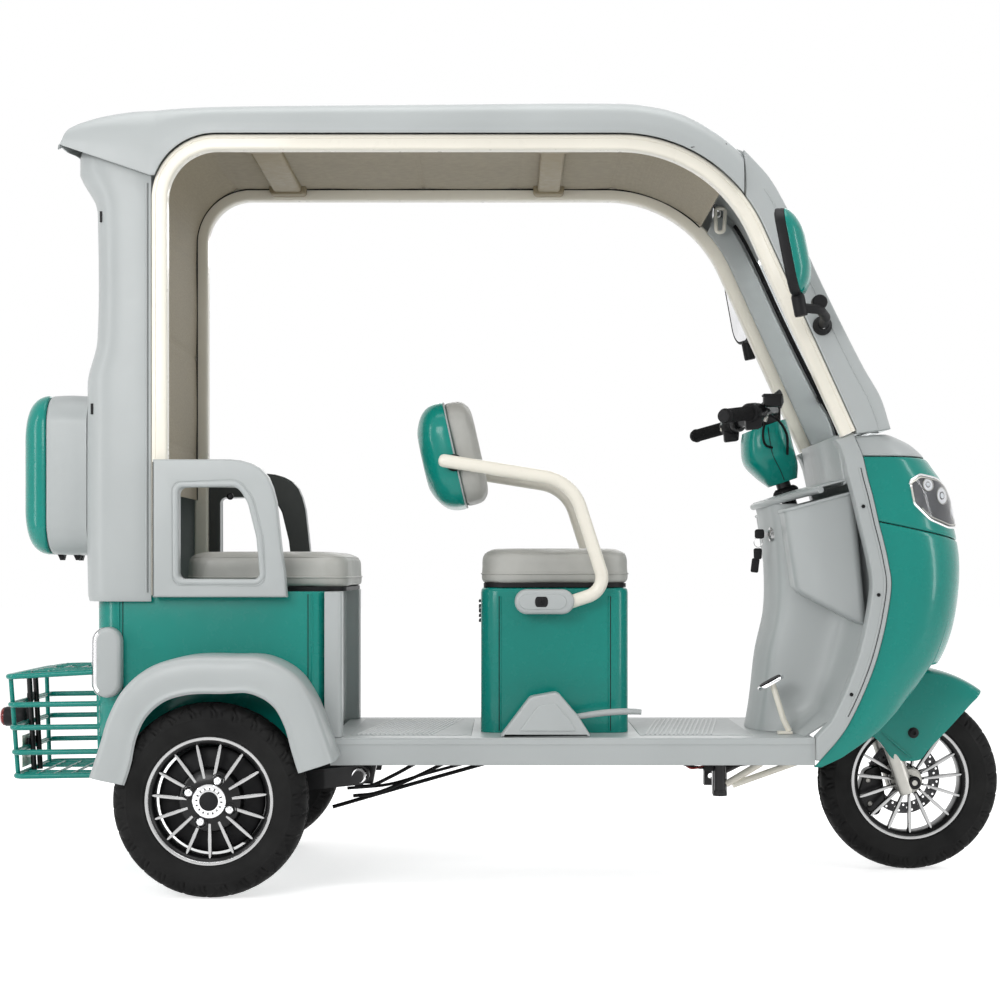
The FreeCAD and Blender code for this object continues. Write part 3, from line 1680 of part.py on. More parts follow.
def make_seat(prefix, seat_top):
    """Seat plate and the closed cushion on it."""
    rear = cell(f"{prefix}_cushion_rear_x")
    front = f"{rear} + {cell(f'{prefix}_cushion_length')}"
    half = cell(f"{prefix}_cushion_half_width")
    corner = cell(f"{prefix}_cushion_corner")
    inset = cell("base_inset")
    low = f"{seat_top} + {cell('fit_gap')}"
    top = f"{low} + {cell('cushion_base')}"
    body, _ = rounded_box(
        f"{prefix}_plate",
        f"{rear} + {inset}",
        f"{front} - {inset}",
        f"{half} - {inset}",
        low,
        top,
        f"{corner} - {inset}",
    )
    keep(body, f"{prefix}_seat_base")
    pad_low = f"{top} + {cell('fit_gap')}"
    pad_high = f"{pad_low} + {cell('cushion_height')}"
    body, corners = rounded_box(
        f"{prefix}_pad", rear, front, half, pad_low, pad_high, corner
    )
    doc.recompute()
    top_z = value(pad_high)
    round_edges(
        body,
        corners,
        f"{prefix}_pad_crown",
        f"{cell('cushion_height')} * 0.3",
        lambda e: abs(e.BoundBox.ZMin - top_z) < 0.01,
    )
    keep(body, f"{prefix}_cushion")


def make_backrest():
    """Leaning shell and pad behind the driver, between the two curved arms."""
    placement = Placement(
        Vector(size("backrest_x"), 0, size("backrest_z")),
        Rotation(Vector(0, 1, 0), -size("backrest_lean_deg")),
    )
    half_z = size("backrest_height") / 2
    half_y = size("backrest_half_width")
    corner = size("backrest_height") * 0.3
    stations = [(0.0, 0.0), (0.55, 0.02), (0.85, 0.09), (1.0, 0.22)]
    loops = []
    for deep, inset_share in stations:
        inset = inset_share * half_z
        loops.append(
            rounded_rectangle(
                half_y - inset, -half_z + inset, half_z - inset, corner - inset / 2,
                -deep * size("backrest_shell_depth"),
            )
        )
    feature("backrest_shell", solid_through(loops), placement)
    loops = []
    gap = size("fit_gap")
    for deep, inset_share in [(0.0, 0.02), (0.5, 0.0), (0.8, 0.06), (1.0, 0.2)]:
        inset = inset_share * half_z
        loops.append(
            rounded_rectangle(
                half_y - inset, -half_z + inset, half_z - inset, corner - inset / 2,
                gap + deep * size("backrest_pad_depth"),
            )
        )
    feature("backrest_pad", solid_through(loops), placement)


def make_arms():
    """Curved tubes that carry the backrest, each held in a moulded housing."""
    y = size("arm_y")
    r = size("arm_radius")
    length_x = size("pedestal_length")
    base_x = size("arm_housing_rear_x")
    route_shares = [
        (-0.47, 1.00),
        (0.235, 0.853),
        (0.455, 0.728),
        (0.640, 0.300),
        (0.560, 0.020),
        (0.400, -0.085),
    ]
    tall = size("backrest_z") - size("arm_housing_z") - size("arm_housing_height")
    base_z = size("arm_housing_z") + size("arm_housing_height")
    points = []
    for along, up in route_shares:
        points.append(Vector(base_x + along * length_x, -y, base_z + up * tall * 0.93))
    bend = size("arm_bend")
    right = bent_tube(points, r, [bend, bend * 1.2, bend * 1.4, bend * 0.6])
    boss_start = points[0] + (points[1] - points[0]).normalize() * (r * 1.4)
    boss_end = Vector(boss_start.x, -size("backrest_half_width") - size("fit_gap"), boss_start.z)
    boss = rod(boss_start, boss_end, r * 0.8)
    housing = block(
        Vector(base_x, -size("pedestal_half_width") - size("fit_gap") - size("arm_housing_depth"),
               size("arm_housing_z")),
        Vector(base_x + size("arm_housing_length"), -size("pedestal_half_width") - size("fit_gap"),
               base_z),
    )
    housing = housing.makeFillet(size("arm_radius") * 0.8, housing.Edges)
    socket = bent_tube(points, r + size("fit_gap") / 3, [bend, bend * 1.2, bend * 1.4, bend * 0.6])
    housing = housing.cut(socket)
    feature("arm_housings", Part.makeCompound([housing, mirror_y(housing)]))
    right = right.fuse(boss)
    feature("backrest_arms", Part.makeCompound([right, mirror_y(right)]))


# Armrests, trunk, basket and lamps

ARMREST_SHARES = [
    (0.00, 0.00),
    (1.00, 0.00),
    (0.96, 0.35),
    (0.92, 0.70),
    (0.86, 0.88),
    (0.74, 0.97),
    (0.58, 1.00),
    (0.00, 1.00),
]
ARMREST_WINDOW_SHARES = [
    (0.19, 0.19),
    (0.24, 0.13),
    (0.76, 0.13),
    (0.81, 0.18),
    (0.78, 0.42),
    (0.72, 0.66),
    (0.66, 0.75),
    (0.54, 0.80),
    (0.23, 0.80),
    (0.19, 0.76),
]


def make_armrests():
    """Moulded side of the rear seat with a window cut through it, one at each side."""
    body = doc.addObject("PartDesign::Body", "armrest_right")
    inner = f"({cell('seat_box_half_width')} + {cell('fit_gap')})"
    outline = sketch_on(body, "armrest_outline", "XZ_Plane", inner)
    start = cell("armrest_rear_x")
    length = cell("armrest_length")
    base = f"{cell('seat_box_top_z')} - {cell('armrest_overlap')}"
    height = cell("armrest_height")
    draw_outline(outline, share_outline(ARMREST_SHARES, start, length, base, height))
    thickness = f"{cell('armrest_outer_y')} - {inner}"
    add_feature(body, "Pad", outline, "armrest_slab", thickness, False)
    doc.recompute()
    over = cell("cut_overrun")
    window = sketch_on(body, "armrest_window", "XZ_Plane", f"{cell('armrest_outer_y')} + {over}")
    draw_outline(window, share_outline(ARMREST_WINDOW_SHARES, start, length, base, height))
    add_feature(
        body, "Pocket", window, "armrest_opening", f"{thickness} + 2 * {over}", False, False
    )
    doc.recompute()
    notch = sketch_on(body, "armrest_notch", "XY_Plane", f"{base} - {over}")
    hoop_face = f"{cell('hoop_rear_x')} + {cell('hoop_depth')} / 2 + {cell('fit_gap')}"
    draw_outline(
        notch,
        box_outline(
            f"{start} - {over}",
            hoop_face,
            f"-({cell('hoop_half_width')} + {cell('fit_gap')})",
            f"-({inner} - {over})",
        ),
    )
    add_feature(body, "Pocket", notch, "armrest_hoop_notch", f"{height} + 2 * {over}", False, True)
    return mirrored_pair("armrests", body)


def column_back_x():
    return column_front_x() - size("column_depth")


def make_trunk():
    """Tray on the back of the rear column and the lid that closes it."""
    x0 = column_back_x() - size("fit_gap")
    half = size("trunk_half_width")
    low = size("trunk_base_z")
    high = low + size("trunk_height")
    depth = size("trunk_depth")
    wall = size("trunk_wall")
    corner = half * 0.35
    outer = solid_through(
        [
            rounded_rectangle(half, low, high, corner, x0),
            rounded_rectangle(half, low, high, corner, x0 - depth),
        ]
    )
    inner = solid_through(
        [
            rounded_rectangle(half - wall, low + wall, high - wall, corner - wall, x0 - wall),
            rounded_rectangle(
                half - wall, low + wall, high - wall, corner - wall,
                x0 - depth - size("cut_overrun"),
            ),
        ]
    )
    feature("trunk_tray", outer.cut(inner))
    start = x0 - depth - size("trunk_lid_gap")
    stations = [(0.0, 0.00), (0.4, 0.03), (0.75, 0.11), (0.92, 0.20), (1.0, 0.34)]
    outer_loops = []
    inner_loops = []
    for deep, inset_share in stations:
        inset = inset_share * half
        x = start - deep * size("trunk_lid_depth")
        outer_loops.append(
            rounded_rectangle(half - inset, low + inset, high - inset, corner - inset * 0.3, x)
        )
        inner_loops.append(
            rounded_rectangle(
                half - inset - wall, low + inset + wall, high - inset - wall,
                corner - inset * 0.3 - wall, x + (wall if deep else -0.0),
            )
        )
    inner_loops[0] = [Vector(start + size("cut_overrun"), p.y, p.z) for p in inner_loops[0]]
    lid = solid_through(outer_loops).cut(solid_through(inner_loops))
    return feature("trunk_lid", lid)


RAIL_SHARES = [0.0, 0.24, 0.49, 0.72, 1.0]
BACK_UPRIGHT_SHARES = [-0.9, -0.55, -0.2, 0.2, 0.55, 0.9]
SIDE_UPRIGHT_SHARES = [0.2, 0.6]
THIN_ROD_SHARE = 0.7
THICK_ROD_SHARE = 1.3


def make_basket():
    """Basket of bent rods: five rails round three sides, uprights and a floor of rods."""
    rear = size("basket_rear_x")
    r = size("basket_rod")
    front = size("seat_box_rear_x") - size("fit_gap") - THICK_ROD_SHARE * r
    half = size("basket_half_width")
    low = size("basket_base_z")
    high = low + size("basket_height")
    bend = size("basket_bend")
    thin = r * THIN_ROD_SHARE
    thick = r * THICK_ROD_SHARE
    low_half = half - bend
    low_rear = rear + bend / 2
    shapes = []
    for share in RAIL_SHARES:
        z = low + share * (high - low)
        wide = low_half + share * bend
        back = low_rear - share * bend / 2
        points = [
            Vector(front, -wide, z),
            Vector(back, -wide, z),
            Vector(back, wide, z),
            Vector(front, wide, z),
        ]
        shapes.append(bent_tube(points, r, [bend, bend]))
    slant = (high - low) / r
    for share in BACK_UPRIGHT_SHARES:
        foot = Vector(low_rear, low_half * share, low)
        top = Vector(rear, half * share, high)
        lean = (top - foot) / slant
        shapes.append(rod(foot - lean / 2, top + lean / 2, thin))
        shapes.append(rod(foot, Vector(front, low_half * share, low), thin * THIN_ROD_SHARE))
    for side in (-1, 1):
        for share in SIDE_UPRIGHT_SHARES:
            x = rear + (front - rear) * share
            foot = Vector(x, side * low_half, low)
            top = Vector(x, side * half, high)
            lean = (top - foot) / slant
            shapes.append(rod(foot - lean / 2, top + lean / 2, thin))
        foot = Vector(front, side * low_half, low)
        top = Vector(front, side * half, high)
        lean = (top - foot) / slant * THICK_ROD_SHARE
        shapes.append(rod(foot - lean, top + lean, thick))
    shapes.append(rod(Vector(front, -low_half, low), Vector(front, low_half, low), thin))
    return feature("rear_basket", shapes[0].multiFuse(shapes[1:]))


def make_rear_lamps():
    """A capsule lamp pod at each rear corner and a round lamp on the basket."""
    x = size("pod_x") + size("pod_length") / 2
    r = size("pod_length") / 2
    low = size("pod_z") + r
    high = size("pod_z") + size("pod_height") - r
    y0 = size("pod_y")
    y1 = y0 + size("pod_width")
    loop = Part.Wire(
        [
            Part.LineSegment(Vector(x - r, -y1, low), Vector(x - r, -y1, high)).toShape(),
            Part.Arc(
                Vector(x - r, -y1, high), Vector(x, -y1, high + r), Vector(x + r, -y1, high)
            ).toShape(),
            Part.LineSegment(Vector(x + r, -y1, high), Vector(x + r, -y1, low)).toShape(),
            Part.Arc(
                Vector(x + r, -y1, low), Vector(x, -y1, low - r), Vector(x - r, -y1, low)
            ).toShape(),
        ]
    )
    right = Part.Face(loop).extrude(Vector(0, y1 - y0, 0))
    gap = size("fit_gap")
    base = block(
        Vector(size("seat_box_rear_x") - gap, -size("seat_box_half_width") - gap, 0),
        Vector(size("seat_box_front_x"), 0, size("seat_box_top_z")),
    )
    corner = [
        edge
        for edge in base.Edges
        if runs_along(edge, Vector(0, 0, 1))
        and edge.CenterOfMass.x < size("seat_box_rear_x")
        and edge.CenterOfMass.y < -gap
    ]
    base = base.makeFillet(size("seat_box_rear_corner") + gap, corner)
    right = right.cut(base)
    rod_back = size("basket_rear_x") + size("basket_bend") / 4 - size("basket_rod") - gap
    tip = Vector(rod_back - size("rear_lamp_depth"), 0, size("rear_lamp_z"))
    middle = rod(tip, Vector(rod_back, 0, size("rear_lamp_z")), size("rear_lamp_radius"))
    return feature("tail_lamps", Part.makeCompound([right, mirror_y(right), middle]))


def make_pedals():
    """Hand brake cover with its lever, and the foot brake pedal."""
    start = size("brake_cover_x")
    length = size("brake_cover_length")
    low = size("floor_top_z") + size("fit_gap")
    tall = size("brake_cover_height")
    shares = [(0.0, 0.0), (1.0, 0.0), (0.86, 0.45), (0.63, 1.0), (0.33, 0.89)]
    points = [(start + a * length, low + b * tall) for a, b in shares]
    outer = -size("brake_cover_y")
    cover = side_slab(points, outer, outer + size("brake_cover_width"))
    cover = cover.makeFillet(size("fender_wall"), [e for e in cover.Edges if e.BoundBox.ZMin > low + 1])
    feature("brake_cover", cover)
    y = outer + size("brake_cover_width") / 2
    r = size("brake_lever_radius")
    lever = rod(
        Vector(start + length * 0.80, y, low + tall * 0.52),
        Vector(start + length * 1.55, y, low + tall * 0.54),
        r,
    )
    lever = lever.cut(cover)
    feature("hand_brake_lever", lever)
    y = -size("pedal_y")
    heel = shield_x(-0.112)
    reach = size("pedal_rod_radius")
    foot = Vector(heel, y, size("floor_top_z") + reach)
    plate = block(
        Vector(heel - 4 * reach, y - 2 * reach, size("floor_top_z") + size("fit_gap")),
        Vector(heel + reach, y + 2 * reach, size("floor_top_z") + reach),
    )
    top = Vector(shield_x(-0.218), y, shield_z(0.260))
    arm = rod(foot, top, size("pedal_rod_radius"))
    pad = side_slab(
        [
            (shield_x(-0.305), shield_z(0.222)),
            (shield_x(-0.135), shield_z(0.270)),
            (shield_x(-0.140), shield_z(0.285)),
            (shield_x(-0.310), shield_z(0.237)),
        ],
        y - size("pedal_rod_radius") * 4,
        y + size("pedal_rod_radius") * 4,
    )
    return feature("brake_pedal", arm.multiFuse([pad, plate]))


# Fork, mudguard and handlebar


def make_fork():
    """Two legs, a crown, the stem through the head tube and the axle."""
    y = size("fork_leg_y")
    ahead = size("fork_leg_ahead")
    low = size("fork_low")
    crown = size("fork_crown")
    r = size("fork_leg_radius")
    parts = []
    for side in (-1, 1):
        parts.append(rod(on_axis(low, ahead, side * y), on_axis(crown, ahead, side * y), r))
    crown_body = solid_through(
        [
            [
                on_axis(level, ahead + r, -y - r),
                on_axis(level, ahead + r, y + r),
                on_axis(level, -size("head_tube_radius"), size("head_tube_radius")),
                on_axis(level, -size("head_tube_radius"), -size("head_tube_radius")),
            ]
            for level in (crown, crown + size("crown_height"))
        ]
    )
    stem = rod(on_axis(crown), on_axis(size("stem_top")), size("stem_radius"))
    centre = Vector(size("front_axle_x"), 0, size("wheel_radius"))
    reach = y + r
    axle = rod(
        centre - Vector(0, reach, 0),
        centre + Vector(0, reach, 0),
        size("axle_bore_radius") - size("fit_gap"),
    )
    for side in (-1, 1):
        parts.append(rod(on_axis(low, ahead, side * (y - r / 2)), centre + Vector(0, side * y, 0), r))
    fork = crown_body.multiFuse(parts + [stem, axle])
    return feature("front_fork", fork.removeSplitter())


MUDGUARD_FRONT_DEG = 54
MUDGUARD_REAR_DEG = 138
MUDGUARD_SIDE_SHARES = [
    (0.50, 0.70),
    (0.29, 0.47),
    (0.11, 0.28),
    (-0.06, 0.19),
    (-0.19, 0.21),
    (-0.30, 0.35),
    (-0.50, 0.50),
]


def make_mudguard():
    """Crowned arch over the wheel with a deep skirt down each side of the fork."""
    centre = Vector(size("front_axle_x"), 0, size("wheel_radius"))
    radius = size("mudguard_radius")
    wall = size("mudguard_wall")
    half = size("mudguard_half_width")
    start = math.radians(MUDGUARD_FRONT_DEG)
    end = math.radians(MUDGUARD_REAR_DEG)
    steps = 9
    rim_share = 0.93
    outer = []
    inner = []
    arch = []
    for i in range(steps + 1):
        angle = start + (end - start) * i / steps
        out = Vector(math.cos(angle), 0, math.sin(angle))
        rim = centre + out * (radius * rim_share)
        arch.append((rim.x, rim.z))
        profile = [(radius * rim_share, half), (radius * 0.975, half * 0.9), (radius, half * 0.5)]
        right = [centre + out * far + Vector(0, -y, 0) for far, y in profile]
        left = [centre + out * far + Vector(0, y, 0) for far, y in profile[::-1]]
        outer.append(right + left)
        profile = [
            (radius * rim_share, half - wall),
            (radius * 0.975 - wall, half * 0.9 - wall / 2),
            (radius - wall, half * 0.5),
        ]
        right = [centre + out * far + Vector(0, -y, 0) for far, y in profile]
        left = [centre + out * far + Vector(0, y, 0) for far, y in profile[::-1]]
        inner.append(right + left)
    guard = shell_between(outer, inner)
    skirt = arch[::-1]
    skirt += [(centre.x + a * radius, centre.z + b * radius) for a, b in MUDGUARD_SIDE_SHARES]
    side = side_slab(skirt, -half, -half + wall)
    guard = guard.multiFuse([side, mirror_y(side)])
    leg = size("fork_leg_radius") + size("fit_gap")
    for sign in (-1, 1):
        y = sign * size("fork_leg_y")
        ahead = size("fork_leg_ahead")
        guard = guard.cut(rod(on_axis(0, ahead, y), on_axis(size("fork_crown"), ahead, y), leg))
    return feature("front_mudguard", guard.removeSplitter())


BAR_SHOULDER_SHARES = (-0.42, -1.55, 0)
BAR_END_SHARES = (-1.21, -2.75, -0.175)


def bar_spot(shares):
    """Point of the right half of the bar, in grip lengths from the middle of the bar."""
    grip = size("grip_length")
    along, across, up = shares
    return Vector(size("bar_x") + along * grip, across * grip, size("bar_z") + up * grip)


def bar_tube(radius):
    """Bent tube of the whole handlebar."""
    middle = Vector(size("bar_x"), -size("cover_half_width"), size("bar_z") + size("bar_radius"))
    route = [bar_spot(BAR_END_SHARES), bar_spot(BAR_SHOULDER_SHARES), middle]
    route += [Vector(p.x, -p.y, p.z) for p in reversed(route)]
    return bent_tube(route, radius, [size("bar_bend")] * 4)


def make_handlebar():
    """Bent bar with its clamp on the stem and the plate that closes the cover below it."""
    r = size("bar_radius")
    bar = bar_tube(r)
    foot = size("stem_top") + size("fit_gap")
    stem = size("stem_radius")
    corners = [
        on_axis(foot, -stem),
        on_axis(foot, stem + 2 * r),
        on_axis(foot + 4 * r, stem + 2 * r),
        on_axis(foot + 4 * r, -stem),
    ]
    clamp = side_slab([(p.x, p.z) for p in corners], -stem, stem)
    rim = cover_loops(0)[-1]
    plate = solid_through(
        [
            [spot + AXIS_UP * size("fit_gap") for spot in rim],
            [spot + AXIS_UP * (size("fit_gap") + size("cover_wall")) for spot in rim],
        ]
    )
    feature("handlebar", bar.multiFuse([clamp, plate]))
    end = bar_spot(BAR_END_SHARES)
    direction = (bar_spot(BAR_SHOULDER_SHARES) - end).normalize()
    finish = end + direction * size("grip_length")
    grip = rod(end - direction * r, finish, size("grip_radius"))
    core = rod(end, finish + direction * r, r + size("fit_gap") / 10)
    grip = grip.cut(core)
    feature("handgrips", Part.makeCompound([grip, mirror_y(grip)]))


COVER_SHARES = [
    (0.00, 0.00, 0.58, 0.54),
    (0.22, -0.08, 0.84, 0.80),
    (0.50, -0.20, 1.00, 1.00),
    (0.82, -0.10, 0.96, 1.00),
    (1.00, 0.00, 0.86, 0.94),
]


def cover_loops(inset):
    """Oval loops across the steering axis for the cover's outer or inner face."""
    top = size("stem_top")
    low = top - size("cover_height")
    loops = []
    for up, ahead, deep, wide in COVER_SHARES:
        loop = []
        steps = 20
        for i in range(steps):
            angle = 2 * math.pi * i / steps
            along = low + up * (top - low)
            forward = ahead * size("cover_depth") + (
                deep * size("cover_depth") - inset
            ) * math.cos(angle)
            across = (wide * size("cover_half_width") - inset) * math.sin(angle)
            loop.append(on_axis(along, forward, across))
        loops.append(loop)
    return loops


def make_steering_cover():
    """Swelling shell round the stem below the handlebar, open at both ends."""
    outer = solid_through(cover_loops(0))
    inner = solid_through(cover_loops(size("cover_wall")))
    return feature("steering_cover", outer.cut(inner))


def make_hand_controls():
    """Switch housing round each end of the bar with its brake lever."""
    grip = size("grip_length")
    end = bar_spot(BAR_END_SHARES)
    direction = (bar_spot(BAR_SHOULDER_SHARES) - end).normalize()
    start = end + direction * (grip + size("fit_gap"))
    finish = start + direction * size("switch_length")
    housing = rod(start, finish, size("switch_radius"))
    reach = size("lever_reach")
    root = (start + finish) / 2 + Vector(size("switch_radius") * 0.8, 0, 0)
    knuckle = root + Vector(reach * 0.45, 0, 0)
    tip = Vector(end.x + 0.82 * grip, -size("lever_tip_y"), end.z + size("grip_radius") / 2)
    radius = size("lever_radius")
    lever = bent_tube([root, knuckle, tip], radius, [radius * 2])
    right = housing.fuse(lever).cut(bar_tube(size("bar_radius") + size("fit_gap") / 10))
    return feature("hand_controls", Part.makeCompound([right, mirror_y(right)]))


# Mirrors and headlamps


def make_mirrors():
    """Oval mirror shell on a short arm bolted to each pillar."""
    lean = math.radians(size("mirror_lean_deg"))
    up = Vector(-math.sin(lean), 0, math.cos(lean))
    ahead = Vector(math.cos(lean), 0, math.sin(lean))
    centre = Vector(size("mirror_x"), -size("mirror_y"), size("mirror_z"))
    stations = [(0.0, 0.96), (0.12, 1.0), (0.45, 0.95), (0.80, 0.74), (1.0, 0.42)]
    loops = []
    steps = 20
    for deep, wide in stations:
        loop = []
        for i in range(steps):
            angle = 2 * math.pi * i / steps
            loop.append(
                centre
                + ahead * (deep * size("mirror_depth"))
                + up * (wide * size("mirror_height") / 2 * math.sin(angle))
                + Vector(0, wide * size("mirror_width") / 2 * math.cos(angle), 0)
            )
        loops.append(loop)
    shell = solid_through(loops)
    arm = size("mirror_arm_radius")
    foot_y = -size("pillar_half_width") - size("fit_gap")
    foot = Vector(size("mirror_foot_x"), foot_y, size("mirror_foot_z"))
    knee = foot - Vector(0, size("mirror_foot_depth"), 0)
    neck = centre + up * (-size("mirror_height") * 0.36) + ahead * (size("mirror_depth") * 0.5)
    base = rod(foot, knee, arm * 2)
    link = rod(foot - Vector(0, arm, 0), neck, arm)
    right = shell.multiFuse([base, link])
    return feature("mirrors", Part.makeCompound([right, mirror_y(right)]))


def make_headlamps():
    """Lens of each headlamp, wrapped round the corner of the nose and just proud of it."""
    skin = nose_skin(PARTING_SHARE, COWL_SHARE, 0, 0, size("lamp_proud"))
    points = [(shield_x(along), shield_z(up)) for along, up in LAMP_SHARES]
    outer = size("shield_half_width") + size("cut_overrun")
    inner = size("shield_half_width") * 0.3
    right = skin.common(side_slab(points, -outer, -inner))
    return feature("headlamps", Part.makeCompound([right, mirror_y(right)]))


# Build every sub-part

make_wheels()
make_rear_axle()
make_drive_motor()
make_rails()
front_crossbars = make_crossbars()
make_front_frame(front_crossbars)
make_floor()
make_seat_box()
make_front_trim()
make_fenders()
make_rear_column()
make_roof()
make_hoops()
make_roof_lining()
make_back_lining()
make_windscreen_frame()
make_windscreen()
make_nose()
make_shield_trim()
make_leg_shield()
make_dash_panel()
make_glove_pockets()
make_pedestal()
make_seat("driver", cell("pedestal_top_z"))
make_seat("rear", cell("seat_box_top_z"))
make_backrest()
make_arms()
make_armrests()
make_trunk()
make_basket()
make_rear_lamps()
make_pedals()
make_fork()
make_mudguard()
make_handlebar()
make_steering_cover()
make_hand_controls()
make_mirrors()
make_headlamps()

doc.recompute()

problems = []
for item in doc.Objects:
    if any(word in item.State for word in ("Invalid", "Error")):
        problems.append(f"{item.Label}: {item.State}")
for item in NODES:
    shape = item.Shape
    if shape.isNull() or not shape.isValid():
        problems.append(f"{item.Label}: shape is null or not valid")
if problems:
    raise SystemExit("\n".join(problems))

os.makedirs("parts", exist_ok=True)
for item in NODES:
    item.Shape.exportStep(f"parts/{item.Label}.step")
print(len(NODES), "sub-parts written")
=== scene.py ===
"""Looks of a small canopied electric three-wheeler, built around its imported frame.

Lengths are in metres unless a name or comment says mm. +X is forward, +Y left and +Z up.
"""

import functools
import json
import math

import bmesh
import bpy
from mathutils import Matrix, Vector, noise


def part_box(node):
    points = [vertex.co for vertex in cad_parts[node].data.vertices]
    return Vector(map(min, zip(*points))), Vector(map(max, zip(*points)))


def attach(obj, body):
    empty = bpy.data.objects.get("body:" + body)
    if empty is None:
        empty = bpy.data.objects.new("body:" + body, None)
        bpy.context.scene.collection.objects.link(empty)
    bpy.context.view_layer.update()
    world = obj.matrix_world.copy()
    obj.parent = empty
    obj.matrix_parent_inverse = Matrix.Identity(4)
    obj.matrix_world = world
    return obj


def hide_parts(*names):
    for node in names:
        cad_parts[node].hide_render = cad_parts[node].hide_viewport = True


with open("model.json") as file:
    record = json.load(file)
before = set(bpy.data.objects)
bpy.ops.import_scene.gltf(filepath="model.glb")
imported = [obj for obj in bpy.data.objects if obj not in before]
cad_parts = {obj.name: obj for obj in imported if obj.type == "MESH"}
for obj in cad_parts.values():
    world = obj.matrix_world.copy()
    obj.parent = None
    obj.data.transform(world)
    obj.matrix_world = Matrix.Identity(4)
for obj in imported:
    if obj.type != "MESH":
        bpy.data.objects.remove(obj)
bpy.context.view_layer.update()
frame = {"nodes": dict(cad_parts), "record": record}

NODES = frame["nodes"]
MM = 0.001
X_AXIS = Vector((1, 0, 0))
Y_AXIS = Vector((0, 1, 0))
Z_AXIS = Vector((0, 0, 1))

# Colours, linear
TEAL = (0.002, 0.225, 0.185)
COOL_GREY = (0.415, 0.44, 0.44)
CREAM = (0.83, 0.795, 0.70)
# Lining beige darkened below the cloth's own colour as painted shade under the roof; the roof bars take it
# too
LINING_BEIGE_WITH_PAINTED_SHADE = (0.245, 0.205, 0.13)
VINYL_GREY = (0.40, 0.40, 0.375)
# Near-black grey painted on the armrests' inner faces as shade inside the seat well
PAINTED_SHADE_GREY = (0.060, 0.065, 0.064)
SOFT_BLACK = (0.008, 0.008, 0.009)
DEEP_BLACK = (0.006, 0.006, 0.0065)
SILVER = (0.42, 0.42, 0.42)
WARM_SILVER = (0.50, 0.49, 0.455)
CAST_GREY = (0.12, 0.12, 0.125)


# Material nodes

def put(tree, kind, settings=None, **inputs):
    """One shader node, with its settings and its input values or links."""
    node = tree.nodes.new("ShaderNode" + kind)
    for key, value in (settings or {}).items():
        setattr(node, key, value)
    for key, value in inputs.items():
        name = key.replace("_", " ")
        socket = node.inputs[int(key[1:])] if key[0] == "i" and key[1:].isdigit() else node.inputs[name]
        if isinstance(value, bpy.types.NodeSocket):
            tree.links.new(value, socket)
        else:
            socket.default_value = value
    return node


def start_material(name):
    """A new material with one Principled shader, and its tree and shader."""
    material = bpy.data.materials.new(name)
    material.use_nodes = True
    tree = material.node_tree
    tree.nodes.clear()
    shader = put(tree, "BsdfPrincipled")
    output = put(tree, "OutputMaterial")
    tree.links.new(shader.outputs[0], output.inputs["Surface"])
    return material, tree, shader


def set_shader(tree, shader, **values):
    """Sets or links the named inputs of a shader."""
    for key, value in values.items():
        socket = shader.inputs[key.replace("_", " ")]
        if isinstance(value, bpy.types.NodeSocket):
            tree.links.new(value, socket)
        else:
            socket.default_value = value


def opaque(colour):
    return (colour[0], colour[1], colour[2], 1.0)


def shade(colour, factor):
    return tuple(channel * factor for channel in colour)


def place(tree, scale=(1, 1, 1)):
    """The point on the piece, in metres times scale."""
    coordinates = put(tree, "TexCoord")
    mapping = put(tree, "Mapping", Vector=coordinates.outputs["Object"], Scale=scale)
    return mapping.outputs["Vector"]


def mottle(tree, spot, scale, low, high, detail=3.0):
    """Noise of that many spots a metre, mapped from low to high."""
    texture = put(tree, "TexNoise", Vector=spot, Scale=scale, Detail=detail)
    spread = put(tree, "MapRange", Value=texture.outputs["Fac"], i1=0.3, i2=0.7, i3=low, i4=high)
    return spread.outputs["Result"]


def tinted(tree, colour, amount):
    """The colour made lighter or darker by a number that varies over the piece."""
    mix = put(tree, "Mix", {"data_type": "RGBA", "blend_type": "MIX"})
    tree.links.new(amount, mix.inputs[0])
    mix.inputs[6].default_value = opaque(shade(colour, 0.86))
    mix.inputs[7].default_value = opaque(shade(colour, 1.12))
    return mix.outputs[2]


def bumped(tree, height, strength, distance, below=None):
    bump = put(tree, "Bump", Height=height, Strength=strength, Distance=distance)
    if below is not None:
        tree.links.new(below, bump.inputs["Normal"])
    return bump.outputs["Normal"]


def gloss_paint(name, colour, roughness=0.2, coat=0.7, peel=0.03):
    """Gloss paint with a clear coat and a faint orange peel."""
    material, tree, shader = start_material(name)
    spot = place(tree)
    broad = mottle(tree, spot, 2.2, 0.25, 0.75)
    ripple = put(tree, "TexNoise", Vector=spot, Scale=420.0, Detail=1.0)
    set_shader(
        tree, shader,
        Base_Color=tinted(tree, colour, broad),
        Roughness=mottle(tree, spot, 35.0, roughness * 0.85, roughness * 1.25),
        Coat_Weight=coat, Coat_Roughness=0.06, Specular_IOR_Level=0.22,
        Normal=bumped(tree, ripple.outputs["Fac"], peel, 0.0004),
    )
    return material


def moulded_plastic(name, colour, roughness=0.38, grain=0.12, grain_scale=1500.0, shine=0.4):
    """Moulded plastic with a fine grain and slow changes of tone."""
    material, tree, shader = start_material(name)
    spot = place(tree)
    fine = put(tree, "TexNoise", Vector=spot, Scale=grain_scale, Detail=2.0)
    set_shader(
        tree, shader,
        Base_Color=tinted(tree, colour, mottle(tree, spot, 3.0, 0.3, 0.7)),
        Roughness=mottle(tree, spot, 60.0, roughness * 0.9, roughness * 1.12),
        Specular_IOR_Level=shine,
        Normal=bumped(tree, fine.outputs["Fac"], grain, 0.0002),
    )
    return material


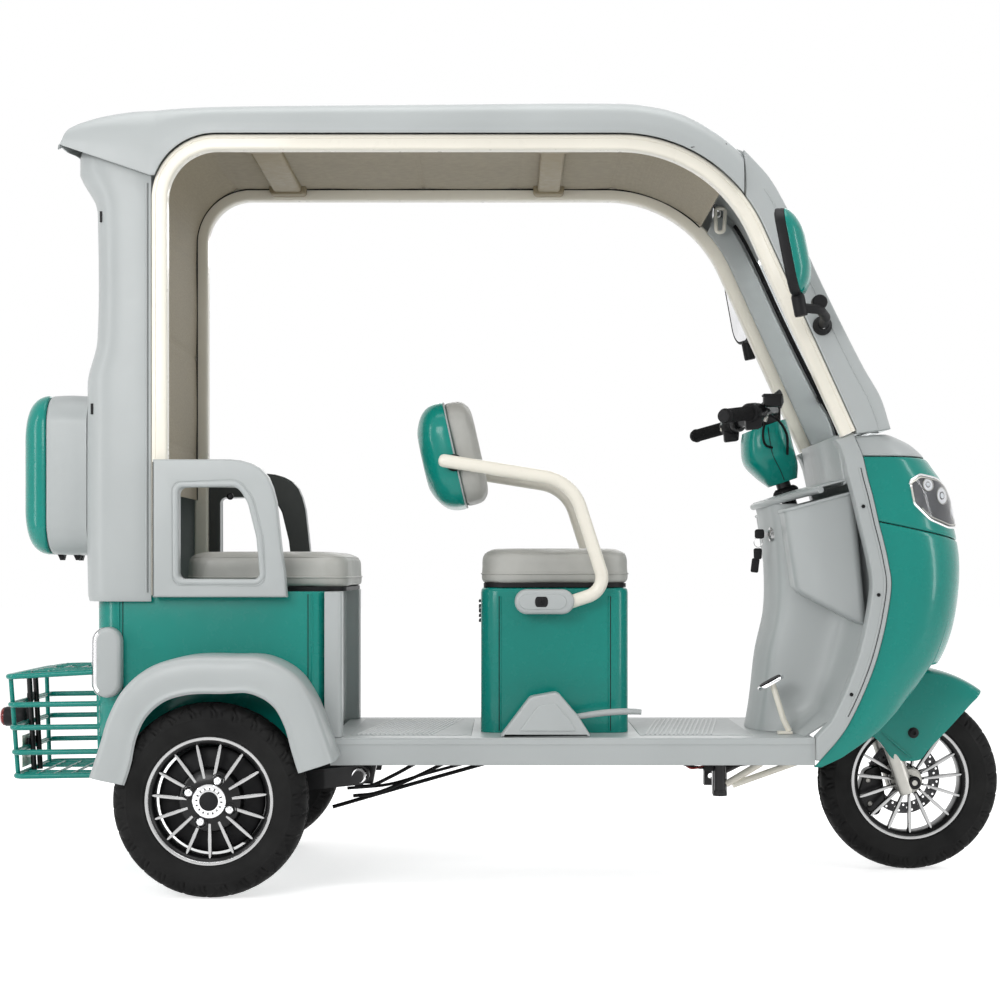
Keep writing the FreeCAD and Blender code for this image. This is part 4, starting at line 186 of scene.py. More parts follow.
def satin_metal(name, colour, roughness=0.3, grain=0.1, stretch=(1, 1, 1), metallic=1.0):
    """Metal with brushed or cast grain, stretched along an axis."""
    material, tree, shader = start_material(name)
    spot = place(tree, stretch)
    fine = put(tree, "TexNoise", Vector=spot, Scale=700.0, Detail=3.0)
    set_shader(
        tree, shader,
        Base_Color=tinted(tree, colour, mottle(tree, spot, 18.0, 0.2, 0.8)),
        Metallic=metallic,
        Roughness=mottle(tree, spot, 90.0, roughness * 0.8, roughness * 1.25),
        Normal=bumped(tree, fine.outputs["Fac"], grain, 0.0003),
    )
    return material


def woven_lining(name, colour):
    """Woven cloth lining: two crossed sets of threads over a soft, uneven tone."""
    material, tree, shader = start_material(name)
    spot = place(tree)
    threads = []
    for direction in ("X", "Z"):
        wave = put(
            tree, "TexWave", {"wave_type": "BANDS", "bands_direction": direction},
            Vector=spot, Scale=150.0, Distortion=1.2, Detail=1.0, Detail_Scale=3.0,
        )
        threads.append(wave.outputs["Fac"])
    weave = put(tree, "Math", {"operation": "MULTIPLY"}, i0=threads[0], i1=threads[1])
    slub = mottle(tree, place(tree, (1, 1, 6)), 60.0, 0.1, 0.9, 4.0)
    tone = put(tree, "Math", {"operation": "MULTIPLY_ADD"}, i0=weave.outputs[0], i1=0.35, i2=slub)
    set_shader(
        tree, shader,
        Base_Color=tinted(tree, colour, tone.outputs[0]),
        Roughness=0.85, Sheen_Weight=0.25, Sheen_Roughness=0.5,
        Normal=bumped(tree, weave.outputs[0], 0.35, 0.0005),
    )
    return material


def grained_vinyl(name, colour):
    """Seat vinyl with a pebbled leather grain."""
    material, tree, shader = start_material(name)
    spot = place(tree)
    pebble = put(tree, "TexVoronoi", {"feature": "DISTANCE_TO_EDGE"}, Vector=spot, Scale=420.0)
    crease = put(tree, "TexNoise", Vector=spot, Scale=55.0, Detail=4.0)
    low = bumped(tree, crease.outputs["Fac"], 0.15, 0.002)
    set_shader(
        tree, shader,
        Base_Color=tinted(tree, colour, mottle(tree, spot, 14.0, 0.2, 0.8)),
        Roughness=mottle(tree, spot, 30.0, 0.42, 0.6),
        Normal=bumped(tree, pebble.outputs["Distance"], 0.35, 0.0006, low),
    )
    return material


def tyre_rubber(name):
    """Tyre rubber, dry and slightly dusty, with a moulded grain."""
    material, tree, shader = start_material(name)
    spot = place(tree)
    dust = mottle(tree, spot, 9.0, 0.0, 1.0, 5.0)
    mix = put(tree, "Mix", {"data_type": "RGBA"})
    tree.links.new(dust, mix.inputs[0])
    mix.inputs[6].default_value = (0.005, 0.005, 0.0052, 1.0)
    mix.inputs[7].default_value = (0.011, 0.011, 0.0107, 1.0)
    fine = put(tree, "TexNoise", Vector=spot, Scale=900.0, Detail=2.0)
    set_shader(
        tree, shader,
        Base_Color=mix.outputs[2],
        Roughness=mottle(tree, spot, 25.0, 0.55, 0.75),
        Specular_IOR_Level=0.15,
        Normal=bumped(tree, fine.outputs["Fac"], 0.2, 0.0003),
    )
    return material


def clear_sheet(name, colour, roughness=0.02, ior=1.2, transmission=1.0):
    """Clear plastic or glass, with faint waviness."""
    material, tree, shader = start_material(name)
    spot = place(tree)
    waves = put(tree, "TexNoise", Vector=spot, Scale=12.0, Detail=1.0)
    set_shader(
        tree, shader,
        Base_Color=opaque(colour), Roughness=roughness, IOR=ior,
        Transmission_Weight=transmission,
        Normal=bumped(tree, waves.outputs["Fac"], 0.02, 0.001),
    )
    return material


def make_materials():
    return {
        "teal": gloss_paint("teal_gloss", TEAL, 0.24, 0.2),
        "grey": moulded_plastic("cool_grey_satin", COOL_GREY, 0.36),
        "grey_soft": moulded_plastic("cool_grey_matt", shade(COOL_GREY, 0.92), 0.5, 0.2),
        "cream": gloss_paint("cream_gloss", CREAM, 0.3, 0.3),
        # The lining and the roof bars carry painted shade in their darkened beige
        "lining": woven_lining("woven_lining", LINING_BEIGE_WITH_PAINTED_SHADE),
        "lining_moulded": moulded_plastic("lining_moulded", shade(LINING_BEIGE_WITH_PAINTED_SHADE, 1.1), 0.55, 0.25),
        "vinyl": grained_vinyl("seat_vinyl", VINYL_GREY),
        "painted_shade": moulded_plastic("painted_shade_plastic", PAINTED_SHADE_GREY, 0.55, 0.3, 900.0, 0.2),
        "black_paint": gloss_paint("black_gloss", SOFT_BLACK, 0.35, 0.2),
        "black_plastic": moulded_plastic("black_textured", SOFT_BLACK, 0.5, 0.3, 900.0, 0.2),
        "rubber": moulded_plastic("black_rubber", DEEP_BLACK, 0.65, 0.3, 700.0, 0.15),
        "tyre": tyre_rubber("tyre_rubber"),
        "machined": satin_metal("machined_alloy", SILVER, 0.22, 0.06),
        "chrome": satin_metal("chrome", (0.82, 0.82, 0.83), 0.08, 0.01),
        "silver": satin_metal("silver_paint", WARM_SILVER, 0.38, 0.08, metallic=0.7),
        "wheel_black": gloss_paint("wheel_black", DEEP_BLACK, 0.3, 0.1),
        "glow": moulded_plastic("lamp_white", (0.8, 0.82, 0.85), 0.3, 0.05),
        "cast": satin_metal("cast_housing", CAST_GREY, 0.55, 0.35, metallic=0.7),
        "glass": clear_sheet("clear_sheet", (0.93, 0.97, 0.97)),
        "lens": clear_sheet("lamp_lens", (0.88, 0.9, 0.92), 0.04, 1.3),
        "red_lens": clear_sheet("red_lens", (0.45, 0.02, 0.015), 0.08, 1.4, 0.6),
    }


LOOK_OF_SLOT = {
    "black_steel": "black_paint", "dark_metal": "cast", "grey_plastic": "grey",
    "green_panel": "teal", "green_wire": "teal", "lamp_housing": "grey",
    "beige_lining": "lining", "cream_paint": "cream", "clear_glass": "glass",
    "lamp_lens": "lens", "black_plastic": "black_plastic", "seat_vinyl": "vinyl",
    "rubber": "rubber", "tyre": "tyre", "alloy": "silver",
}


def dress_nodes():
    """Every node of the frame takes the look of its own material slot."""
    for subpart in frame["record"]["subparts"]:
        mesh = NODES[subpart["node"]].data
        mesh.materials.clear()
        mesh.materials.append(LOOKS[LOOK_OF_SLOT[subpart["material_slot"]]])


# Lines

def smooth_line(points, steps=6, closed=False):
    """Centripetal Catmull-Rom line through the points, with that many steps in each span."""
    spots = [Vector(point) for point in points]
    count = len(spots)
    line = []
    for i in range(count if closed else count - 1):
        p1, p2 = spots[i], spots[(i + 1) % count]
        p0 = spots[i - 1] if i > 0 or closed else 2 * p1 - p2
        p3 = spots[(i + 2) % count] if i + 2 < count or closed else 2 * p2 - p1
        d0 = max((p1 - p0).length, 1e-7) ** 0.5
        d1 = max((p2 - p1).length, 1e-7) ** 0.5
        d2 = max((p3 - p2).length, 1e-7) ** 0.5
        m1 = ((p1 - p0) / d0 - (p2 - p0) / (d0 + d1) + (p2 - p1) / d1) * d1
        m2 = ((p2 - p1) / d1 - (p3 - p1) / (d1 + d2) + (p3 - p2) / d2) * d1
        for step in range(steps):
            u = step / steps
            line.append(
                p1 * (2 * u**3 - 3 * u**2 + 1) + m1 * (u**3 - 2 * u**2 + u)
                + p2 * (3 * u**2 - 2 * u**3) + m2 * (u**3 - u**2)
            )
    if not closed:
        line.append(spots[-1])
    return line


def round_line(points, radii, steps=8, closed=False):
    """Straight runs joined by tangent arcs, with one radius for each corner, or one for all."""
    spots = [Vector(point) for point in points]
    count = len(spots)
    corners = range(count) if closed else range(1, count - 1)
    if not isinstance(radii, (list, tuple)):
        radii = [radii] * len(corners)
    line = [] if closed else [spots[0]]
    for radius, i in zip(radii, corners):
        corner = spots[i]
        back = (spots[i - 1] - corner).normalized()
        ahead = (spots[(i + 1) % count] - corner).normalized()
        angle = back.angle(ahead)
        if radius <= 0 or angle > math.pi - 1e-4:
            line.append(corner)
            continue
        setback = radius / math.tan(angle / 2)
        middle = (back + ahead).normalized()
        centre = corner + middle * (radius / math.sin(angle / 2))
        start = corner + back * setback - centre
        end = corner + ahead * setback - centre
        sweep_angle = start.angle(end)
        for step in range(steps + 1):
            share = step / steps
            arm = (
                start * math.sin((1 - share) * sweep_angle) + end * math.sin(share * sweep_angle)
            ) / math.sin(sweep_angle)
            line.append(centre + arm)
    if not closed:
        line.append(spots[-1])
    return line


def ellipse(centre, half_x, half_z, steps):
    """Ellipse or circle as (x, z) points."""
    angles = spread(0, 2 * math.pi, steps + 1)[:-1]
    return [(centre[0] + half_x * math.cos(a), centre[1] + half_z * math.sin(a)) for a in angles]


def resample(line, count):
    """The line again, as count points an equal way apart."""
    lengths = [0.0]
    for a, b in zip(line, line[1:]):
        lengths.append(lengths[-1] + (b - a).length)
    result = []
    span = 0
    for i in range(count):
        goal = lengths[-1] * i / (count - 1)
        while span < len(line) - 2 and lengths[span + 1] < goal:
            span += 1
        part = (goal - lengths[span]) / max(lengths[span + 1] - lengths[span], 1e-9)
        result.append(line[span].lerp(line[span + 1], min(max(part, 0.0), 1.0)))
    return result


def look_up(table, share, column=1):
    """Value of a column at a share between the rows of a table, on a smooth line through them."""
    for i, (low, high) in enumerate(zip(table, table[1:])):
        if share <= high[0] or i == len(table) - 2:
            before = table[i - 1] if i > 0 else low
            after = table[i + 2] if i + 2 < len(table) else high
            span = high[0] - low[0]
            u = min(max((share - low[0]) / span, 0.0), 1.0)
            m1 = (high[column] - before[column]) / max(high[0] - before[0], 1e-9) * span
            m2 = (after[column] - low[column]) / max(after[0] - low[0], 1e-9) * span
            return (
                low[column] * (2 * u**3 - 3 * u**2 + 1) + m1 * (u**3 - 2 * u**2 + u)
                + high[column] * (3 * u**2 - 2 * u**3) + m2 * (u**3 - u**2)
            )


def mm(points):
    """Points given in mm, in metres."""
    return [tuple(value * MM for value in point) for point in points]


def side_on(points):
    """The (x, z) pairs of a line, as an outline seen from the side."""
    return [(p.x, p.z) for p in points]


def box_outline(low_x, high_x, low_z, high_z):
    """Outline of a rectangle."""
    return [(low_x, low_z), (high_x, low_z), (high_x, high_z), (low_x, high_z)]


def rounded(corners, bends, steps):
    """Outline in metres from (x, z) corners in mm, rounded by one bend or by one for each corner."""
    bends = [bend * MM for bend in bends] if isinstance(bends, list) else bends * MM
    return side_on(round_line([(x * MM, 0, z * MM) for x, z in corners], bends, steps, True))


def both_sides(right):
    """A row from the right edge to the middle, carried on to the left edge."""
    return right + [Vector((p.x, -p.y, p.z)) for p in right[-2::-1]]


def spread(low, high, count):
    return [low + (high - low) * i / (count - 1) for i in range(count)]


# Meshes

def make_object(name, verts, faces, look=None):
    mesh = bpy.data.meshes.new(name)
    mesh.from_pydata([tuple(vert) for vert in verts], [], faces)
    obj = bpy.data.objects.new(name, mesh)
    bpy.context.scene.collection.objects.link(obj)
    if look:
        mesh.materials.append(LOOKS[look])
    return obj


def repair(obj, merge=0.0):
    """Weld points that lie together and turn all faces outwards."""
    work = bmesh.new()
    work.from_mesh(obj.data)
    if merge:
        bmesh.ops.remove_doubles(work, verts=work.verts, dist=merge)
    bmesh.ops.recalc_face_normals(work, faces=work.faces)
    work.to_mesh(obj.data)
    work.free()
    return obj


def grid(name, rows, look=None, wrap=False, close=False, caps=False):
    """Surface over rows of points. wrap joins each row's ends, close joins the last row to the first."""
    count = len(rows[0])
    verts = [point for row in rows for point in row]
    faces = []
    for r in range(len(rows) if close else len(rows) - 1):
        near = r * count
        far = (r + 1) % len(rows) * count
        for c in range(count if wrap else count - 1):
            d = (c + 1) % count
            faces.append((near + c, near + d, far + d, far + c))
    if caps:
        faces.append(tuple(range(count - 1, -1, -1)))
        faces.append(tuple(range((len(rows) - 1) * count, len(rows) * count)))
    return make_object(name, verts, faces, look)


def frames_along(line, closed=False):
    """Tangent, side and up at each point of a line, turned as little as possible along it."""
    count = len(line)
    tangents = []
    for i in range(count):
        before = line[i - 1] if i > 0 or closed else line[i]
        after = line[(i + 1) % count] if i + 1 < count or closed else line[i]
        tangents.append((after - before).normalized())
    first = tangents[0]
    seed = Z_AXIS if abs(first.dot(Z_AXIS)) < 0.9 else Y_AXIS
    side = first.cross(seed).normalized()
    frames = []
    for tangent in tangents:
        side = (side - tangent * side.dot(tangent)).normalized()
        frames.append((tangent, side, side.cross(tangent)))
    return frames


def tube(name, line, radius, look=None, sides=14, closed=False, flat=1.0):
    """Round bar along a line. radius is a number, or one for each point, and flat squashes it."""
    line = [Vector(point) for point in line]
    radii = radius if isinstance(radius, (list, tuple)) else [radius] * len(line)
    rows = []
    for point, (_, side, up), r in zip(line, frames_along(line, closed), radii):
        ring = []
        for i in range(sides):
            angle = 2 * math.pi * i / sides
            ring.append(point + side * (r * math.cos(angle)) + up * (r * flat * math.sin(angle)))
        rows.append(ring)
    obj = grid(name, rows, look, wrap=True, close=closed, caps=not closed)
    return repair(obj)


def sweep(name, line, section, side, look=None, closed=False):
    """Closed section of (across, out) points carried along a line, with across kept along side."""
    line = [Vector(point) for point in line]
    side = Vector(side).normalized()
    rows = []
    for i, point in enumerate(line):
        before = line[i - 1] if i > 0 or closed else line[i]
        after = line[(i + 1) % len(line)] if i + 1 < len(line) or closed else line[i]
        out = (after - before).normalized().cross(side).normalized()
        rows.append([point + side * across + out * high for across, high in section])
    obj = grid(name, rows, look, wrap=True, close=closed, caps=not closed)
    return repair(obj)


def turn(name, profile, centre, axis=Y_AXIS, steps=96, look=None, shift=None):
    """Profile of (radius, along) points turned about an axis. A profile that ends on the axis is closed.
    shift(angle, k) may add (radius, along) to the k-th point."""
    centre = Vector(centre)
    axis = Vector(axis).normalized()
    seed = Z_AXIS if abs(axis.dot(Z_AXIS)) < 0.9 else X_AXIS
    side = axis.cross(seed).normalized()
    up = side.cross(axis)
    rows = []
    for i in range(steps):
        angle = 2 * math.pi * i / steps
        arm = side * math.cos(angle) + up * math.sin(angle)
        row = []
        for k, (radius, along) in enumerate(profile):
            extra = shift(angle, k) if shift else (0.0, 0.0)
            row.append(centre + arm * (radius + extra[0]) + axis * (along + extra[1]))
        rows.append(row)
    obj = grid(name, rows, look, close=True)
    return repair(obj, 1e-6)


def ring_of(profile, loop=True):
    """The profile with its first point again at its end, for a closed ring."""
    return list(profile) + [profile[0]] if loop else list(profile)


def modify(obj, kind, **settings):
    modifier = obj.modifiers.new(kind.lower(), kind)
    for key, value in settings.items():
        setattr(modifier, key, value)
    return modifier


def bake(obj):
    """Turn an object's modifiers, or a curve, into its plain mesh."""
    bpy.context.view_layer.update()
    graph = bpy.context.evaluated_depsgraph_get()
    mesh = bpy.data.meshes.new_from_object(obj.evaluated_get(graph), depsgraph=graph)
    if obj.type == "MESH":
        obj.modifiers.clear()
        obj.data = mesh
        return obj
    name = obj.name
    matrix = obj.matrix_world.copy()
    bpy.data.objects.remove(obj)
    solid = bpy.data.objects.new(name, mesh)
    mesh.transform(matrix)
    bpy.context.scene.collection.objects.link(solid)
    return solid


def thicken(obj, wall, outward=-1.0):
    """Give a sheet a wall. outward -1 puts it inside the faces, 1 outside."""
    modify(obj, "SOLIDIFY", thickness=wall, offset=outward, use_even_offset=True)
    return bake(obj)


def soften(obj, width, segments=3, angle=35.0):
    """Round off edges sharper than the angle."""
    modify(
        obj, "BEVEL", width=width, segments=segments, limit_method="ANGLE",
        angle_limit=math.radians(angle), harden_normals=False,
    )
    return bake(obj)


def subdivide(obj, levels=1):
    modify(obj, "SUBSURF", levels=levels, render_levels=levels)
    return bake(obj)


def plate(name, outlines, low, high, bevel=0.0, look=None, plane="XZ", segments=3):
    """Slab of closed outlines, holes among them, from low to high across their plane, with round edges."""
    data = bpy.data.curves.new(name, "CURVE")
    data.dimensions = "2D"
    data.fill_mode = "BOTH"
    for outline in outlines:
        spline = data.splines.new("POLY")
        spline.points.add(len(outline) - 1)
        for point, spot in zip(spline.points, outline):
            point.co = (spot[0], spot[1], 0.0, 1.0)
        spline.use_cyclic_u = True
    data.extrude = (high - low) / 2 - bevel
    data.bevel_depth = bevel
    data.bevel_resolution = segments
    data.offset = -bevel
    obj = bpy.data.objects.new(name, data)
    bpy.context.scene.collection.objects.link(obj)
    middle = (low + high) / 2
    turns = {
        "XZ": Matrix(((1, 0, 0, 0), (0, 0, -1, middle), (0, 1, 0, 0), (0, 0, 0, 1))),
        "YZ": Matrix(((0, 0, 1, middle), (1, 0, 0, 0), (0, 1, 0, 0), (0, 0, 0, 1))),
        "XY": Matrix(((1, 0, 0, 0), (0, 1, 0, 0), (0, 0, 1, middle), (0, 0, 0, 1))),
    }
    obj.matrix_world = turns[plane]
    solid = bake(obj)
    if look:
        solid.data.materials.clear()
        solid.data.materials.append(LOOKS[look])
    return repair(solid, 1e-6)


def moved(obj, matrix):
    obj.data.transform(matrix)
    if matrix.determinant() < 0:
        obj.data.flip_normals()
    return obj


def mirrored(obj, name=None):
    """A copy of a piece on the other side of the middle plane."""
    copy = bpy.data.objects.new(name or obj.name + "_left", obj.data.copy())
    bpy.context.scene.collection.objects.link(copy)
    return moved(copy, Matrix.Diagonal((1, -1, 1, 1)))


def pair(obj):
    """A piece joined with its mirror image."""
    return join(obj.name, [obj, mirrored(obj)])


def join(name, objects):
    """One mesh out of several, each keeping its own materials."""
    verts, faces, looks, indices = [], [], [], []
    for obj in objects:
        start = len(verts)
        slots = []
        for material in obj.data.materials:
            if material not in looks:
                looks.append(material)
            slots.append(looks.index(material))
        verts.extend(tuple(obj.matrix_world @ vert.co) for vert in obj.data.vertices)
        for face in obj.data.polygons:
            faces.append(tuple(start + v for v in face.vertices))
            indices.append(slots[face.material_index] if slots else 0)
        bpy.data.objects.remove(obj)
    joined = make_object(name, verts, faces)
    joined.name = name
    for material in looks:
        joined.data.materials.append(material)
    joined.data.polygons.foreach_set("material_index", indices)
    return joined


def repeat(obj, matrices):
    """Copies of a piece's mesh at each matrix, joined under its name."""
    copies = []
    for matrix in matrices:
        copy = bpy.data.objects.new(obj.name + "_copy", obj.data.copy())
        bpy.context.scene.collection.objects.link(copy)
        copies.append(moved(copy, matrix))
    name = obj.name
    bpy.data.objects.remove(obj)
    return join(name, copies)


def stretch_to(start, end):
    """Turn and shift that lays the Z axis from start towards end."""
    start = Vector(start)
    return Matrix.Translation(start) @ (Vector(end) - start).to_track_quat("Z", "Y").to_matrix().to_4x4()


def finish(obj, body, nodes=(), look=None, sharp=38.0):
    """Shade a piece, give it its look, let it ride on its body, and hide the nodes it stands for."""
    if look:
        obj.data.materials.clear()
        obj.data.materials.append(LOOKS[look])
    obj.data.polygons.foreach_set("use_smooth", [True] * len(obj.data.polygons))
    obj.data.set_sharp_from_angle(angle=math.radians(sharp))
    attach(obj, body)
    if nodes:
        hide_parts(*nodes)
    return obj


def bolt_mesh(name, spot, axis, radius, look, proud=0.35):
    high = radius * proud * 2
    profile = [
        (radius, -high * 0.4), (radius, high * 0.5), (radius * 0.86, high * 0.9),
        (radius * 0.62, high), (radius * 0.5, high), (radius * 0.46, high * 0.4), (0.0, high * 0.35),
    ]
    return turn(name, profile, spot, axis, 18, look)


# Wheels

SPOKE_COUNT = 15
TREAD_CELLS = 26
TYRE_STEPS = 480
GROOVE_DEPTH = 4.5 * MM
RIM_SEAT = 133 * MM
TYRE_SHARES = [
    (0.000, 0.70), (0.045, 0.775), (0.085, 0.83), (0.105, 0.875), (0.130, 0.895), (0.160, 0.895),
    (0.185, 0.905), (0.300, 0.965), (0.430, 0.995), (0.540, 0.995), (0.565, 1.005), (0.590, 0.985),
    (0.680, 0.945), (0.780, 0.880), (0.870, 0.780), (0.935, 0.630), (0.975, 0.430), (0.995, 0.210),
    (1.000, 0.0),
]
GROOVE_START_SHARE = 0.585


def tyre_profile(radius, half_width, steps=2):
    """Half section of the tyre from the bead to the crown, as (radius, along, share up)."""
    line = smooth_line([(up, across, 0) for up, across in TYRE_SHARES], steps)
    return [(RIM_SEAT + (radius - RIM_SEAT) * p.x, half_width * p.y, p.x) for p in line]


def groove_depth(angle, up, side):
    """Depth of the moulded tread at an angle and a share of the way up the tyre."""
    q = (1.0 - up) / (1.0 - GROOVE_START_SHARE)
    if q > 1.0:
        return 0.0
    reach = q**0.5
    cell = (angle / (2 * math.pi) * TREAD_CELLS + (0.5 if side > 0 else 0.0)) % 1.0
    lines = [
        (0.25 + 0.17 * math.sin(2.0 * math.pi * (reach - 0.1)), 0.16, 0.97, 0.055),
        (0.74 + 0.13 * math.cos(2.6 * math.pi * reach), 0.36, 0.90, 0.045),
        (0.50 - 0.20 * math.sin(math.pi * (reach - 0.5)), 0.62, 1.00, 0.035),
    ]
    deepest = 0.0
    for middle, start, end, wide in lines:
        away = abs((cell - middle + 0.5) % 1.0 - 0.5) / wide
        fade = min(max((reach - start) / 0.05, 0.0), 1.0) * min(max((end - reach) / 0.06, 0.0), 1.0)
        deepest = max(deepest, fade * min(max(1.6 - away, 0.0), 1.0))
    rib = abs(reach - 0.10 - 0.035 * math.sin(2 * math.pi * 2 * cell)) / 0.035
    deepest = max(deepest, min(max(1.5 - rib, 0.0), 1.0) * (1.0 if reach > 0.03 else 0.0))
    return deepest * GROOVE_DEPTH


def make_tyre(node, body):
    low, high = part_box(node)
    centre = (low + high) / 2
    radius = (high.z - low.z) / 2
    half = (high.y - low.y) / 2
    side = tyre_profile(radius, half)
    profile = [(r, -along, up, -1) for r, along, up in side]
    profile += [(r, along, up, 1) for r, along, up in side[-2::-1]]
    rows = []
    for i in range(TYRE_STEPS):
        angle = 2 * math.pi * i / TYRE_STEPS
        arm = Vector((math.cos(angle), 0, math.sin(angle)))
        row = []
        for r, along, up, hand in profile:
            cut = groove_depth(angle, up, hand)
            share = min(max((up - 0.55) / 0.45, 0.0), 1.0)
            inward = arm * share + Y_AXIS * (hand * (1 - share))
            row.append(centre + arm * r + Y_AXIS * along - inward * cut)
        rows.append(row)
    tyre = grid(f"tyre_{body}", rows, "tyre", wrap=True, close=True)
    return finish(repair(tyre), body, (node,), sharp=50)


def spoke_outline(inner, outer):
    """Lens-shaped outline of one spoke, pointing up."""
    waist = [(0.0, 1.9), (0.12, 2.5), (0.55, 3.7), (0.85, 3.2), (0.97, 2.2), (1.0, 0.9)]
    right = [(wide * MM, inner + (outer - inner) * share) for share, wide in waist]
    return right + [(-x, z) for x, z in right[::-1]]


def spin(count, start=0.0):
    return [Matrix.Rotation(math.radians(start) + 2 * math.pi * i / count, 4, "Y") for i in range(count)]


# Wheel sections, as (radius, place along the axle) in mm, the outer side negative

LIP_SECTION = [
    (138, -34.5), (138.3, -36.6), (137, -37.6), (133.5, -37.8), (131, -37.2), (129.8, -35.8),
    (130.2, -34.0), (133, -33),
]
BARREL_SECTION = [
    (132.5, -33), (131.5, -27), (126.5, -22), (125, 0), (126.5, 24), (131.5, 29), (132.5, 33),
    (137, 35.5), (137, 37), (130, 36.5), (123.5, 32), (121, 20), (119.5, 0), (119.8, -14), (120.8, -26),
    (124.0, -31.5), (129.0, -35.2), (131.5, -35.2),
]
REAR_HUB_SECTION = [
    (24, -33), (40, -32.01), (60, -28.38), (66, -23.76), (68, -10), (70, -4), (71, 8), (70, 12),
    (71, 16), (70, 20), (71, 24), (70, 30), (66, 40), (24, 41), (14, 30), (14, -29.7),
]
DRUM_SECTION = [(60, 4), (104, 6), (112, 9), (115, 14), (115, 38), (110, 40), (60, 40)]
HUB_RING_SECTION = [
    (36, -32), (36, -37), (34.5, -38.2), (30, -38.4), (29, -37.6), (24.5, -37.6), (23.5, -39.4),
    (20.5, -39.6), (19.6, -38), (19.6, -32),
]
HUB_CAP_PROFILE = [
    (19.6, -36), (19.4, -39.6), (18, -40.6), (15, -40.9), (14.4, -40.3), (7, -41.4), (0.0, -41.7),
]
NUT_POCKET_SECTION = [(13.5, -28), (15, -33), (13.5, -34), (11.5, -28)]
NUT_PROFILE = [
    (11.6, -27), (11.6, -31), (10.4, -31.8), (10, -36), (8.8, -40), (6.2, -42.8), (3, -44.2),
    (0.0, -44.6),
]
FRONT_HUB_SECTION = [
    (13, -33), (26, -33), (30, -29.7), (31, -18), (24, -12), (24, 16), (34, 24), (34, 30), (13, 30),
]
FRONT_CAP_PROFILE = [(13, -28), (13, -38), (12, -40), (9, -41.5), (0.0, -42)]
CARRIER_SECTION = [(14, 28), (36, 28), (36, 41), (14, 42)]

NOTCH_OUTLINE = [(-1.6, 25), (1.6, 25), (1.9, 28.6), (-1.9, 28.6)]
CARRIER_ARM_OUTLINE = [(-6, 20), (6, 20), (5, 63), (-5, 63)]
SPOKE_ROOT, SPOKE_TIP = 26 * MM, 124.5 * MM
SPOKE_FACE_ROOT, SPOKE_FACE_TIP = 34 * MM, 123 * MM
SPOKE_TURN = 11.4
NUT_CIRCLE = 48 * MM
NUT_COUNT, NUT_TURN = 4, 22.7
NOTCH_COUNT, NOTCH_TURN = 16, 4
DISC_INNER, DISC_OUTER = 60 * MM, 86 * MM
DISC_HOLE_RADIUS = 2.8 * MM
DISC_HOLES_IN_ROW = 16
DISC_HOLE_ROWS = [(66 * MM, 0.0), (73 * MM, 0.13), (80 * MM, 0.26)]
CARRIER_ARMS = 5
VALVE_LINE = [(0, -8, -120), (0, -20, -106), (0, -27, -100)]
WHEEL_STEPS = 120


def axle_turn(name, section, steps, look, ring=True):
    """Piece turned about the axle from a section in mm, as a ring or from the axle outward."""
    points = mm(section)
    return turn(name, ring_of(points) if ring else points, (0, 0, 0), Y_AXIS, steps, look)


def make_rim(node, body, tyre_node, hand, front=False):
    """Cast wheel: black barrel, machined lip and spoke faces, hub, and disc or drum.

    hand is the side of the vehicle that the wheel's outer face looks to.
    """
    low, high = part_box(tyre_node)
    centre = (low + high) / 2
    arm_outline = spoke_outline(SPOKE_ROOT, SPOKE_TIP)
    face_outline = spoke_outline(SPOKE_FACE_ROOT, SPOKE_FACE_TIP)
    arm = plate("arm", [arm_outline], -29.4 * MM, -12 * MM, 1.1 * MM, "wheel_black")
    face = plate("face", [face_outline], -30.4 * MM, -29.2 * MM, 0.4 * MM, "machined")
    parts = [
        axle_turn("lip", LIP_SECTION, WHEEL_STEPS, "machined"),
        axle_turn("barrel", BARREL_SECTION, WHEEL_STEPS, "wheel_black"),
        repeat(arm, spin(SPOKE_COUNT, SPOKE_TURN)),
        repeat(face, spin(SPOKE_COUNT, SPOKE_TURN)),
    ]
    parts += front_hub() if front else rear_hub()
    parts.append(tube("valve", mm(VALVE_LINE), [3 * MM, 2.6 * MM, 3.2 * MM], "rubber", 12))
    rim = join(f"rim_{body}", parts)
    if hand > 0:
        moved(rim, Matrix.Diagonal((1, -1, 1, 1)))
    moved(rim, Matrix.Translation(centre))
    return finish(rim, body, (node,), sharp=30)


def rear_hub():
    """Black hub with four chrome domed nuts, a knurled chrome ring and a dark cap; drum behind."""
    notch = plate("notch", [mm(NOTCH_OUTLINE)], -38.1 * MM, -37 * MM, 0.2 * MM, "wheel_black")
    parts = [
        axle_turn("hub", REAR_HUB_SECTION, 72, "wheel_black"),
        axle_turn("drum", DRUM_SECTION, 72, "black_plastic"),
        axle_turn("hub_ring", HUB_RING_SECTION, 72, "chrome"),
        repeat(notch, spin(NOTCH_COUNT, NOTCH_TURN)),
        axle_turn("cap", HUB_CAP_PROFILE, 60, "black_plastic", ring=False),
    ]
    for piece in (
        axle_turn("pocket", NUT_POCKET_SECTION, 24, "wheel_black"),
        axle_turn("nut", NUT_PROFILE, 24, "chrome", ring=False),
    ):
        moved(piece, Matrix.Translation((0, 0, NUT_CIRCLE)))
        parts.append(repeat(piece, spin(NUT_COUNT, NUT_TURN)))
    return parts


